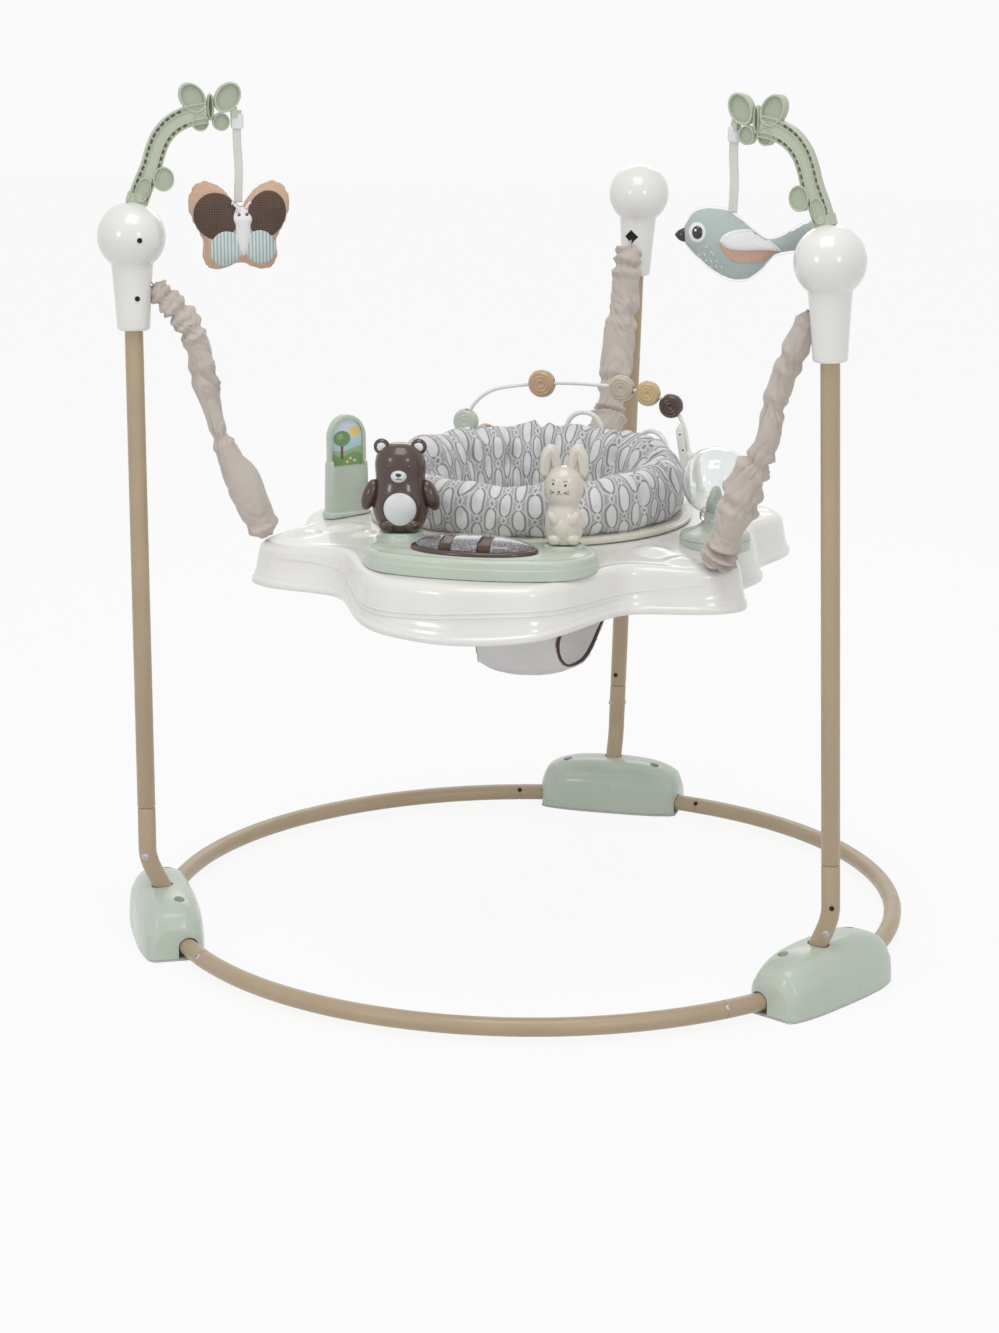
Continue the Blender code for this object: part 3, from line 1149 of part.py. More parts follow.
def main():
    for old in list(bpy.data.objects):
        bpy.data.objects.remove(old, do_unlink=True)
    front = RING_RADIUS + TUBE_RADIUS
    back = BALL_CIRCLE + BALL_RADIUS
    ring_centre = bpy.data.objects.new("ring_centre", None)
    ring_centre.location = (0, (front - back) / 2, 0)
    bpy.context.collection.objects.link(ring_centre)

    taupe = finish("taupe_paint", (0.42, 0.33, 0.24), 0.35, 0.3)
    sage = finish("sage_plastic", (0.47, 0.59, 0.45), 0.25)
    white = finish("white_plastic", (0.80, 0.78, 0.74), 0.20)
    cream = finish("cream_plastic", (0.78, 0.74, 0.66), 0.22)
    rubber = finish("white_rubber", (0.75, 0.75, 0.72), 0.6)
    linen = finish("taupe_fabric", (0.50, 0.44, 0.39), 0.9)
    steel = finish("spring_steel", (0.55, 0.55, 0.56), 0.3, 1.0)
    brown = finish("brown_plastic", (0.13, 0.06, 0.045), 0.25)
    grey = finish("speckled_grey_plastic", (0.42, 0.42, 0.44), 0.35)
    clear = finish("clear_plastic", (0.85, 0.87, 0.86), 0.05, 0.0, 0.3)
    card = finish("picture_print", (0.55, 0.68, 0.72), 0.6)
    green = finish("board_green", (0.05, 0.25, 0.12), 0.5)
    black = finish("black_plastic", (0.03, 0.03, 0.03), 0.5)
    tan = finish("tan_plastic", (0.62, 0.40, 0.24), 0.3)
    beige = finish("beige_plastic", (0.62, 0.56, 0.46), 0.3)
    yellow = finish("yellow_plastic", (0.66, 0.50, 0.26), 0.3)
    print_cloth = finish("grey_print_fabric", (0.55, 0.55, 0.56), 0.9)
    tan_plush = finish("tan_plush", (0.55, 0.36, 0.25), 0.95)
    blue_plush = finish("blue_plush", (0.36, 0.44, 0.45), 0.95)
    ribbon = finish("cream_ribbon", (0.74, 0.72, 0.66), 0.8)

    make_ring(taupe)
    make_legs(taupe)
    make_caps(white)
    make_feet(sage, rubber)
    make_arches(sage)
    make_straps(linen, steel)
    make_tray(white)
    make_console(sage, brown, grey, green, black, white)
    make_figures(brown, cream)
    make_tower(sage, clear, card)
    make_dome(sage, clear)
    make_beads(white, {"bead_green": sage, "bead_tan": tan, "bead_beige": beige, "bead_yellow": yellow,
                       "bead_brown": brown})
    make_loops(white)
    make_spinner(sage, tan)
    make_seat(cream, print_cloth)
    make_butterfly(tan_plush, ribbon)
    make_bird(blue_plush, ribbon)


main()
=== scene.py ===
"""Finishes and fine shapes of a standing baby activity center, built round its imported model.

Metres, +Z up, floor at z = 0. Pieces are worked out from the centre of the floor ring, which
stands at RING_CENTRE. Angles are in degrees, counter-clockwise from +X, and the front is -Y.
"""
import json
import math

import bmesh
import bpy
from mathutils import Matrix, Vector, noise
from mathutils.bvhtree import BVHTree

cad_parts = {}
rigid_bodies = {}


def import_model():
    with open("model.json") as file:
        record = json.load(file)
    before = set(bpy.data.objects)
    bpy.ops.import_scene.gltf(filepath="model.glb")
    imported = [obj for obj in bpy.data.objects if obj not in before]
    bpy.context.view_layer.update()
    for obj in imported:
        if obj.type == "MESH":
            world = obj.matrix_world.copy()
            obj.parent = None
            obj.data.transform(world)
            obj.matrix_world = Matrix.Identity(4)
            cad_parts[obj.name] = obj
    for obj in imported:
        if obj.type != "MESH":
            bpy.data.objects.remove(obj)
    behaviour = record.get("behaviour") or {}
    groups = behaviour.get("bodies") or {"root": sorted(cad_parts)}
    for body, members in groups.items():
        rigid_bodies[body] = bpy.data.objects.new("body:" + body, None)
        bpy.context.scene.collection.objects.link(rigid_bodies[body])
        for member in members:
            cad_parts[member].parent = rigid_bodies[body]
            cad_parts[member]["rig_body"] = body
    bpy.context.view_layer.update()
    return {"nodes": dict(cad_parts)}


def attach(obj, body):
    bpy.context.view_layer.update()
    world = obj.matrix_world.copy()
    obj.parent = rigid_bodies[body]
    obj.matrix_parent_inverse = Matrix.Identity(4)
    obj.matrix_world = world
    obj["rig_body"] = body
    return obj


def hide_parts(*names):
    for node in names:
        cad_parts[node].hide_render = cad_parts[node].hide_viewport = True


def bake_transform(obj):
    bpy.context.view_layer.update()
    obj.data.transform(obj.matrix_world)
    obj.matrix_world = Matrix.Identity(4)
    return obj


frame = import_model()
nodes = frame["nodes"]
RING_CENTRE = Vector((0.0, -0.022, 0.0))
UPRIGHT = Matrix(((1, 0, 0, 0), (0, 0, -1, 0), (0, 1, 0, 0), (0, 0, 0, 1)))

# ---- Sizes shared with the model

GAP = 0.0003
RING_RADIUS = 0.400
RING_HEIGHT = 0.015
TUBE_RADIUS = 0.0095
TUBE_WALL = 0.0012
SEAM_HEIGHT = 0.150
SWAGE_LENGTH = 0.030
BEND_TOP = 0.105
LEG_RADIUS = 0.4245
POST_ANGLES = {"left": 210.0, "right": 330.0, "back": 90.0}
FOOT_ANGLES = {"left": 208.0, "right": 332.0, "back": 90.0}
BALL_RADIUS = 0.035
BALL_HEIGHT = 0.7535
BALL_CIRCLE = 0.4185
BALL_LEAN = -0.022
NECK_LENGTH = 0.0955
NECK_TOP_RADIUS = 0.0215
NECK_END_RADIUS = 0.0170
BORE_DEPTH = 0.0255
CAP_WALL = 0.003
SLOT_SIDE = 0.012
SLOT_DROP = 0.049
FOOT_LENGTH = 0.172
FOOT_WIDTH = 0.072
FOOT_CIRCLE = 0.405
FOOT_HEIGHT = 0.064
FOOT_END_WIDTH = 0.050
FOOT_END_HEIGHT = 0.040
FOOT_WALL = 0.003
PAD_THICKNESS = 0.003
ARCH_HEADINGS = {"left": 30.0, "right": 158.0}
ARCH_HALF_THICKNESS = 0.0045
ARCH_HALF_WIDTH = 0.0105
HANG_REACH = {"left": 0.1117, "right": 0.1100}
HANG_RISE = 0.1255
STRAP_PLACES = {"left": (210.0, 0.288), "right": (325.0, 0.288), "back": (90.0, 0.286)}
WELL_RADIUS = 0.165
RIM_HEIGHT = 0.447
DECK_SLOPE = 0.09


# ---- Points and lines

def around(angle, radius, height=0.0, side=0.0):
    """The point at this angle and radius, moved counter-clockwise round the ring by side."""
    turn = math.radians(angle)
    return Vector((radius * math.cos(turn) - side * math.sin(turn),
                   radius * math.sin(turn) + side * math.cos(turn), height))


def heading(angle):
    return around(angle, 1.0)


def ease(t):
    t = min(max(t, 0.0), 1.0)
    return t * t * (3 - 2 * t)


def table_value(table, place):
    """A value read from a table of (place, value), eased between its rows."""
    for (low, first), (high, second) in zip(table, table[1:]):
        if low <= place <= high:
            return first + (second - first) * (1 - math.cos(math.pi * (place - low) / (high - low))) / 2
    return table[-1][1]


def smooth_path(points, count):
    """Evenly counted points on a smooth curve through the given ones."""
    points = [Vector(p) for p in points]
    padded = [2 * points[0] - points[1], *points, 2 * points[-1] - points[-2]]
    path = []
    for k in range(count):
        place = k * (len(points) - 1) / (count - 1)
        i = min(int(place), len(points) - 2)
        t = place - i
        a, b, c, d = padded[i:i + 4]
        path.append(0.5 * (2 * b + (c - a) * t + (2 * a - 5 * b + 4 * c - d) * t ** 2
                           + (3 * b - a - 3 * c + d) * t ** 3))
    return path


def path_frames(path):
    """Along a path: each point, its direction and two cross directions that don't twist."""
    frames = []
    across = None
    for i, point in enumerate(path):
        along = (path[min(i + 1, len(path) - 1)] - path[max(i - 1, 0)]).normalized()
        if across is None:
            across = along.cross(Vector((0, 0, 1)) if abs(along.z) < 0.8 else Vector((1, 0, 0)))
        across = (across - along * across.dot(along)).normalized()
        frames.append((point, along, across, along.cross(across)))
    return frames


def deck_height(x, y):
    return RIM_HEIGHT - DECK_SLOPE * max(math.hypot(x, y) - WELL_RADIUS, 0.0)


def post_point(angle, height):
    low = around(angle, LEG_RADIUS, BEND_TOP)
    high = around(angle, BALL_CIRCLE, BALL_HEIGHT, BALL_LEAN)
    return low.lerp(high, (height - BEND_TOP) / (BALL_HEIGHT - BEND_TOP))


def hang_point(side):
    point = post_point(POST_ANGLES[side], BALL_HEIGHT) + heading(ARCH_HEADINGS[side]) * HANG_REACH[side]
    point.z = BALL_HEIGHT + HANG_RISE
    return point


# ---- Meshes

def skin(rings, closed=False, caps=True, bm=None, finish=0):
    """A body through rings of points. It is closed on itself, or by a face at each end."""
    bm = bm or bmesh.new()
    rows = [[bm.verts.new(point) for point in ring] for ring in rings]
    pairs = list(zip(rows, rows[1:]))
    if closed:
        pairs.append((rows[-1], rows[0]))
    faces = []
    for row, following in pairs:
        for i in range(len(row)):
            j = (i + 1) % len(row)
            faces.append(bm.faces.new((row[i], row[j], following[j], following[i])))
    if not closed and caps:
        faces.append(bm.faces.new(rows[0][::-1]))
        faces.append(bm.faces.new(rows[-1]))
    for face in faces:
        face.material_index = finish
    return bm


def lathe(profile, sides=48, place=Matrix(), closed=False, squash=1.0, bm=None, finish=0):
    """A turned body: the profile's points are radius and height."""
    rings = [[place @ Vector((max(radius, 1e-6) * math.cos(2 * math.pi * i / sides),
                              squash * max(radius, 1e-6) * math.sin(2 * math.pi * i / sides), height))
              for i in range(sides)] for radius, height in profile]
    return skin(rings, closed, bm=bm, finish=finish)


def sweep(path, radii, sides=24, bm=None, finish=0, closed=False):
    rings = []
    for (point, _, across, over), radius in zip(path_frames(path), radii):
        rings.append([point + radius * (math.cos(2 * math.pi * i / sides) * across
                                        + math.sin(2 * math.pi * i / sides) * over) for i in range(sides)])
    return skin(rings, closed, bm=bm, finish=finish)


def hoop(points, radius, sides=10, squash=1.0, up=Vector((0, 0, 1)), bm=None, finish=0):
    """A bead round a closed line, flattened along up by squash."""
    count = len(points)
    rings = []
    for i, point in enumerate(points):
        along = (points[(i + 1) % count] - points[i - 1]).normalized()
        over = (up - along * up.dot(along)).normalized()
        across = along.cross(over)
        rings.append([point + radius * (math.cos(2 * math.pi * k / sides) * across
                                        + squash * math.sin(2 * math.pi * k / sides) * over)
                      for k in range(sides)])
    return skin(rings, closed=True, bm=bm, finish=finish)


def ball(radii, centre, turn=None, sides=32, rows=20, bm=None, finish=0):
    place = Matrix.Translation(Vector(centre)) @ (turn or Matrix()).to_4x4() @ Matrix.Diagonal((*radii, 1.0))
    profile = [(math.sin(math.pi * k / rows), -math.cos(math.pi * k / rows)) for k in range(rows + 1)]
    return lathe(profile, sides, place, bm=bm, finish=finish)


def block(size, centre, turn=None, bm=None, finish=0):
    place = Matrix.Translation(Vector(centre)) @ (turn or Matrix()).to_4x4()
    corners = [[place @ Vector((x * size[0] / 2, y * size[1] / 2, z * size[2] / 2))
                for x, y in ((-1, -1), (1, -1), (1, 1), (-1, 1))] for z in (-1, 1)]
    return skin(corners, bm=bm, finish=finish)


def ellipse(centre, radii, count=48, turn=0.0):
    lean = math.radians(turn)
    points = []
    for i in range(count):
        a = 2 * math.pi * i / count
        x, y = radii[0] * math.cos(a), radii[1] * math.sin(a)
        points.append((centre[0] + x * math.cos(lean) - y * math.sin(lean),
                       centre[1] + x * math.sin(lean) + y * math.cos(lean)))
    return points


def to_object(name, bm, finishes, place=None, sharp=40, merge=1e-6):
    """An object at the origin from a mesh that was worked out from the ring's centre, or from place."""
    bmesh.ops.remove_doubles(bm, verts=bm.verts, dist=merge)
    bmesh.ops.dissolve_degenerate(bm, edges=bm.edges, dist=1e-7)
    bmesh.ops.recalc_face_normals(bm, faces=bm.faces)
    shift = Matrix.Translation(RING_CENTRE) @ (place or Matrix())
    bmesh.ops.transform(bm, matrix=shift, verts=bm.verts)
    mesh = bpy.data.meshes.new(name)
    bm.to_mesh(mesh)
    bm.free()
    for finish in finishes if isinstance(finishes, (list, tuple)) else [finishes]:
        mesh.materials.append(finish)
    mesh.shade_smooth()
    mesh.set_sharp_from_angle(angle=math.radians(sharp))
    piece = bpy.data.objects.new(name, mesh)
    bpy.context.scene.collection.objects.link(piece)
    return piece


def settle(piece):
    """The piece with its modifiers made part of its mesh."""
    bpy.context.view_layer.update()
    graph = bpy.context.evaluated_depsgraph_get()
    mesh = bpy.data.meshes.new_from_object(piece.evaluated_get(graph))
    old = piece.data
    piece.modifiers.clear()
    piece.data = mesh
    bpy.data.meshes.remove(old)
    return piece


def bevel(piece, width, segments=2, angle=30):
    step = piece.modifiers.new("soft_edges", "BEVEL")
    step.width = width
    step.segments = segments
    step.limit_method = "ANGLE"
    step.angle_limit = math.radians(angle)
    step.harden_normals = False
    return piece


def subdivide(piece, levels=1):
    step = piece.modifiers.new("smooth_shape", "SUBSURF")
    step.levels = levels
    step.render_levels = levels
    return piece


def cut(piece, cutters, operation="DIFFERENCE"):
    for cutter in cutters:
        step = piece.modifiers.new("cut", "BOOLEAN")
        step.operation = operation
        step.object = cutter
        step.solver = "EXACT"
    settle(piece)
    for cutter in cutters:
        bpy.data.objects.remove(cutter)
    return piece


def stands_for(piece, *names):
    """The piece takes these nodes' place and body, and the nodes are hidden."""
    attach(piece, nodes[names[0]]["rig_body"])
    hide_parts(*names)
    return piece


def goes_with(piece, node):
    """A further piece on the same body as a node."""
    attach(piece, nodes[node]["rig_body"])
    return piece


def polished(name, node, finish, width=0.0006, segments=2, join=()):
    """A node's own shape with its edges softened."""
    bm = bmesh.new()
    bm.from_mesh(nodes[node].data)
    bmesh.ops.remove_doubles(bm, verts=bm.verts, dist=2e-6)
    bmesh.ops.dissolve_limit(bm, angle_limit=math.radians(1.0), verts=bm.verts, edges=bm.edges)
    for vert in bm.verts:
        vert.co -= RING_CENTRE
    piece = to_object(name, bm, finish)
    if width:
        settle(bevel(piece, width, segments))
    piece.data.shade_smooth()
    piece.data.set_sharp_from_angle(angle=math.radians(40))
    return stands_for(piece, node, *join)


# ---- Repeated small parts

def repeat_tree():
    """A shape set along lines at a spacing. The lines' points say which way it faces."""
    tree = bpy.data.node_groups.new("repeat_along_lines", "GeometryNodeTree")
    for label, kind in (("Lines", "NodeSocketGeometry"), ("Shape", "NodeSocketObject"),
                        ("Spacing", "NodeSocketFloat"), ("Size", "NodeSocketVector"),
                        ("Finish", "NodeSocketMaterial")):
        tree.interface.new_socket(label, in_out="INPUT", socket_type=kind)
    tree.interface.new_socket("Parts", in_out="OUTPUT", socket_type="NodeSocketGeometry")
    made = {}
    for key, kind in (("start", "NodeGroupInput"), ("curve", "GeometryNodeMeshToCurve"),
                      ("points", "GeometryNodeCurveToPoints"), ("facing", "GeometryNodeInputNamedAttribute"),
                      ("along", "FunctionNodeAlignRotationToVector"), ("up", "FunctionNodeAlignRotationToVector"),
                      ("shape", "GeometryNodeObjectInfo"), ("set", "GeometryNodeInstanceOnPoints"),
                      ("real", "GeometryNodeRealizeInstances"), ("finish", "GeometryNodeSetMaterial"),
                      ("end", "NodeGroupOutput")):
        made[key] = tree.nodes.new(kind)
    made["points"].mode = "LENGTH"
    made["facing"].data_type = "FLOAT_VECTOR"
    made["facing"].inputs["Name"].default_value = "facing"
    made["along"].axis = "X"
    made["up"].axis = "Z"
    made["up"].pivot_axis = "X"
    link = tree.links.new
    link(made["start"].outputs["Lines"], made["curve"].inputs["Mesh"])
    link(made["curve"].outputs["Curve"], made["points"].inputs["Curve"])
    link(made["start"].outputs["Spacing"], made["points"].inputs["Length"])
    link(made["points"].outputs["Tangent"], made["along"].inputs["Vector"])
    link(made["along"].outputs["Rotation"], made["up"].inputs["Rotation"])
    link(made["facing"].outputs["Attribute"], made["up"].inputs["Vector"])
    link(made["start"].outputs["Shape"], made["shape"].inputs["Object"])
    link(made["points"].outputs["Points"], made["set"].inputs["Points"])
    link(made["shape"].outputs["Geometry"], made["set"].inputs["Instance"])
    link(made["up"].outputs["Rotation"], made["set"].inputs["Rotation"])
    link(made["start"].outputs["Size"], made["set"].inputs["Scale"])
    link(made["set"].outputs["Instances"], made["real"].inputs["Geometry"])
    link(made["real"].outputs["Geometry"], made["finish"].inputs["Geometry"])
    link(made["start"].outputs["Finish"], made["finish"].inputs["Material"])
    link(made["finish"].outputs["Geometry"], made["end"].inputs["Parts"])
    return tree


def scatter_tree():
    """A shape set on single points, each turned to face the way that its point says."""
    tree = bpy.data.node_groups.new("set_on_points", "GeometryNodeTree")
    for label, kind in (("Places", "NodeSocketGeometry"), ("Shape", "NodeSocketObject"),
                        ("Size", "NodeSocketVector"), ("Finish", "NodeSocketMaterial")):
        tree.interface.new_socket(label, in_out="INPUT", socket_type=kind)
    tree.interface.new_socket("Parts", in_out="OUTPUT", socket_type="NodeSocketGeometry")
    made = {}
    for key, kind in (("start", "NodeGroupInput"), ("facing", "GeometryNodeInputNamedAttribute"),
                      ("up", "FunctionNodeAlignRotationToVector"), ("shape", "GeometryNodeObjectInfo"),
                      ("set", "GeometryNodeInstanceOnPoints"), ("real", "GeometryNodeRealizeInstances"),
                      ("finish", "GeometryNodeSetMaterial"), ("end", "NodeGroupOutput")):
        made[key] = tree.nodes.new(kind)
    made["facing"].data_type = "FLOAT_VECTOR"
    made["facing"].inputs["Name"].default_value = "facing"
    made["up"].axis = "Z"
    link = tree.links.new
    link(made["start"].outputs["Places"], made["set"].inputs["Points"])
    link(made["facing"].outputs["Attribute"], made["up"].inputs["Vector"])
    link(made["start"].outputs["Shape"], made["shape"].inputs["Object"])
    link(made["shape"].outputs["Geometry"], made["set"].inputs["Instance"])
    link(made["up"].outputs["Rotation"], made["set"].inputs["Rotation"])
    link(made["start"].outputs["Size"], made["set"].inputs["Scale"])
    link(made["set"].outputs["Instances"], made["real"].inputs["Geometry"])
    link(made["real"].outputs["Geometry"], made["finish"].inputs["Geometry"])
    link(made["start"].outputs["Finish"], made["finish"].inputs["Material"])
    link(made["finish"].outputs["Geometry"], made["end"].inputs["Parts"])
    return tree


REPEAT = repeat_tree()
SCATTER = scatter_tree()


def run_tree(name, tree, lines, inputs, finish, joined):
    """Lines or single points, as (point, facing), run through a tree into a plain mesh."""
    bm = bmesh.new()
    layer = bm.verts.layers.float_vector.new("facing")
    for line in lines:
        row = []
        for point, facing in line:
            vert = bm.verts.new(Vector(point) + RING_CENTRE)
            vert[layer] = facing
            row.append(vert)
        if joined:
            for a, b in zip(row, row[1:]):
                bm.edges.new((a, b))
    mesh = bpy.data.meshes.new(name)
    bm.to_mesh(mesh)
    bm.free()
    piece = bpy.data.objects.new(name, mesh)
    bpy.context.scene.collection.objects.link(piece)
    step = piece.modifiers.new("parts", "NODES")
    step.node_group = tree
    for item in tree.interface.items_tree:
        if item.in_out == "INPUT" and item.name in inputs:
            step[item.identifier] = inputs[item.name]
    settle(piece)
    if finish.name not in [m.name for m in piece.data.materials if m]:
        piece.data.materials.append(finish)
    piece.data.shade_smooth()
    piece.data.set_sharp_from_angle(angle=math.radians(40))
    return piece


def along_lines(name, lines, shape, spacing, size, finish):
    return run_tree(name, REPEAT, lines, {"Shape": shape, "Spacing": spacing, "Size": size, "Finish": finish},
                    finish, True)


def on_points(name, places, shape, size, finish):
    return run_tree(name, SCATTER, [[place] for place in places],
                    {"Shape": shape, "Size": size, "Finish": finish}, finish, False)


def unit_stitch():
    """A short rounded thread of unit length, which sinks into the cloth at its ends."""
    rows = [(-0.5, -0.35, 0.25), (-0.3, 0.02, 0.5), (0.0, 0.2, 0.5), (0.3, 0.02, 0.5), (0.5, -0.35, 0.25)]
    rings = [[Vector((x, r * math.cos(2 * math.pi * k / 6), z + r * math.sin(2 * math.pi * k / 6)))
              for k in range(6)] for x, z, r in rows]
    bm = skin(rings)
    return helper_shape("stitch_shape", bm)


def unit_slot():
    """A slot's floor with rounded ends, dark as painted shade in the slot."""
    outline = []
    for k in range(12):
        a = 2 * math.pi * (k + 0.5) / 12
        outline.append((math.copysign(abs(math.cos(a)) ** 0.35, math.cos(a)) / 2,
                        math.copysign(abs(math.sin(a)) ** 0.6, math.sin(a)) / 2))
    return helper_shape("slot_shape", skin([[Vector((x, y, z)) for x, y in outline] for z in (-0.5, 0.5)]))


def unit_screw():
    """A pan head of unit radius with a cross recess."""
    bm = lathe([(0, -0.3), (1, -0.3), (1, 0.0), (0.96, 0.14), (0.82, 0.28), (0.5, 0.38), (0, 0.42)], 20)
    head = helper_shape("screw_shape", bm)
    cutters = []
    for size in ((1.15, 0.26, 0.5), (0.26, 1.15, 0.5)):
        cutters.append(helper_shape("screw_recess", block(size, (0, 0, 0.42))))
    return cut(head, cutters)


def helper_shape(name, bm):
    bmesh.ops.remove_doubles(bm, verts=bm.verts, dist=1e-6)
    bmesh.ops.recalc_face_normals(bm, faces=bm.faces)
    mesh = bpy.data.meshes.new(name)
    bm.to_mesh(mesh)
    bm.free()
    shape = bpy.data.objects.new(name, mesh)
    bpy.context.scene.collection.objects.link(shape)
    return shape


STITCH = unit_stitch()
SLOT = unit_slot()
SCREW = unit_screw()


# ---- Finishes

def tone(red, green, blue):
    """A display colour, 0 to 255, as the shader takes it."""
    return tuple((v / 255 / 12.92) if v <= 10.3 else ((v / 255 + 0.055) / 1.055) ** 2.4
                 for v in (red, green, blue))


class Finish:
    """A material under construction, with short ways to add the nodes that a finish needs."""

    def __init__(self, name, colour, roughness, **sockets):
        self.material = bpy.data.materials.new(name)
        self.material.use_nodes = True
        self.tree = self.material.node_tree
        self.shader = self.tree.nodes["Principled BSDF"]
        self.colour = (*tone(*colour), 1.0)
        self.shader.inputs["Base Color"].default_value = self.colour
        self.shader.inputs["Roughness"].default_value = roughness
        for key, value in sockets.items():
            self.shader.inputs[key.replace("_", " ")].default_value = value
        self.base = self.colour
        self.height = None
        alpha = sockets.get("Alpha", 1.0)
        self.material.diffuse_color = (*self.colour[:3], alpha)

    def add(self, kind, inputs=None, **settings):
        node = self.tree.nodes.new(kind)
        for key, value in settings.items():
            setattr(node, key, value)
        for key, value in (inputs or {}).items():
            self.feed(node.inputs[key], value)
        return node

    def feed(self, socket, value):
        if isinstance(value, bpy.types.NodeSocket):
            self.tree.links.new(value, socket)
        else:
            socket.default_value = value

    def coords(self, kind="Object", scale=None):
        out = self.add("ShaderNodeTexCoord").outputs[kind]
        if scale is None:
            return out
        return self.add("ShaderNodeMapping", {"Vector": out, "Scale": scale}).outputs["Vector"]

    def noise(self, scale, detail=3.0, coords=None, rough=0.5, distortion=0.0):
        node = self.add("ShaderNodeTexNoise", {"Vector": coords or self.coords(), "Scale": scale,
                                               "Detail": detail, "Roughness": rough,
                                               "Distortion": distortion})
        return node.outputs["Fac"]

    def math(self, operation, a, b=0.0, c=0.0, clamp=False):
        node = self.add("ShaderNodeMath", operation=operation, use_clamp=clamp)
        for socket, value in zip(node.inputs, (a, b, c)):
            self.feed(socket, value)
        return node.outputs[0]

    def band(self, value, low, high, first=0.0, last=1.0, smooth=True):
        node = self.add("ShaderNodeMapRange", {"Value": value, "From Min": low, "From Max": high,
                                               "To Min": first, "To Max": last})
        node.interpolation_type = "SMOOTHSTEP" if smooth else "LINEAR"
        return node.outputs["Result"]

    def blend(self, factor, first, second, mode="MIX"):
        node = self.add("ShaderNodeMix", data_type="RGBA", blend_type=mode)
        self.feed(node.inputs[0], factor)
        self.feed(node.inputs[6], first)
        self.feed(node.inputs[7], second)
        return node.outputs[2]

    def tint(self, factor, colour):
        """Lays a colour over the base where the factor is 1."""
        self.base = self.blend(factor, self.base, (*tone(*colour), 1.0))
        return self

    def vary(self, scale, amount, detail=3.0, coords=None):
        """Slightly lighter and darker patches."""
        value = self.band(self.noise(scale, detail, coords), 0.3, 0.7, 1 - amount, 1 + amount * 0.4)
        shade = self.add("ShaderNodeCombineColor", {"Red": value, "Green": value, "Blue": value}).outputs[0]
        self.base = self.blend(1.0, self.base, shade, "MULTIPLY")
        return self

    def rough(self, scale, low, high, coords=None):
        self.feed(self.shader.inputs["Roughness"], self.band(self.noise(scale, 4.0, coords), 0.3, 0.7, low, high))
        return self

    def bump(self, height, distance, strength=1.0):
        inputs = {"Height": height, "Distance": distance, "Strength": strength}
        if self.height is not None:
            inputs["Normal"] = self.height
        self.height = self.add("ShaderNodeBump", inputs).outputs["Normal"]
        return self

    def done(self):
        if isinstance(self.base, bpy.types.NodeSocket):
            self.feed(self.shader.inputs["Base Color"], self.base)
        if self.height is not None:
            self.feed(self.shader.inputs["Normal"], self.height)
        return self.material


def moulded(name, colour, roughness=0.28, coat=0.25, grain=0.00002, patch=0.04):
    """Injection-moulded plastic: faint flow marks, a fine skin and uneven gloss."""
    finish = Finish(name, colour, roughness, Coat_Weight=coat, Coat_Roughness=0.08)
    finish.vary(9.0, patch)
    finish.rough(35.0, roughness * 0.85, roughness * 1.2)
    finish.bump(finish.noise(900.0, 2.0), grain)
    finish.bump(finish.noise(28.0, 2.0), grain * 6)
    return finish.done()


def painted(name, colour):
    """Powder-coated steel tube: an orange-peel skin with a satin shine."""
    finish = Finish(name, colour, 0.34, Coat_Weight=0.12, Coat_Roughness=0.25)
    finish.vary(14.0, 0.05)
    finish.vary(1600.0, 0.06, 1.0)
    finish.rough(60.0, 0.28, 0.42)
    finish.bump(finish.noise(750.0, 2.0), 0.00006)
    return finish.done()


def weave(finish, coords, thread, depth, shade=0.12):
    """A plain weave on coordinates in metres: threads over and under, with uneven yarn. The colour is darker where the
    threads dip under, a painted shade, and uneven with the yarn.
    """
    parts = finish.add("ShaderNodeSeparateXYZ", {"Vector": coords})
    turns = math.pi / thread
    over = finish.math("SINE", finish.math("MULTIPLY", parts.outputs["X"], turns))
    under = finish.math("SINE", finish.math("MULTIPLY", parts.outputs["Y"], turns))
    woven = finish.math("MULTIPLY_ADD", finish.math("MULTIPLY", over, under), 0.5, 0.5)
    uneven = finish.math("MULTIPLY_ADD", finish.noise(0.35 / thread, 3.0, coords), 0.7, woven)
    # Darker where the threads dip: painted shade; the yarn's noise adds real uneven tone.
    value = finish.band(uneven, 0.2, 1.4, 1 - shade, 1.04)
    tint = finish.add("ShaderNodeCombineColor", {"Red": value, "Green": value, "Blue": value}).outputs[0]
    finish.base = finish.blend(1.0, finish.base, tint, "MULTIPLY")
    finish.bump(uneven, depth)
    return finish


def cloth(name, colour, thread=0.0006, depth=0.00012, roughness=0.85, shade=0.12, sheen=0.25, kind="UV"):
    finish = Finish(name, colour, roughness, Sheen_Weight=sheen, Sheen_Roughness=0.5)
    coords = finish.coords(kind)
    finish.vary(18.0, 0.05)
    weave(finish, coords, thread, depth, shade)
    return finish.done()


TAUPE = painted("taupe_powder_coat", (180, 160, 132))
SAGE = moulded("sage_plastic", (190, 201, 187), 0.30)
SAGE_SATIN = moulded("sage_satin_plastic", (184, 191, 171), 0.42, coat=0.1)
# Dark sage for the floors of slots: painted shade where the slots are deep.
SAGE_SLOT_SHADE = moulded("sage_slot_painted_shade", (96, 98, 82), 0.6, coat=0.0)
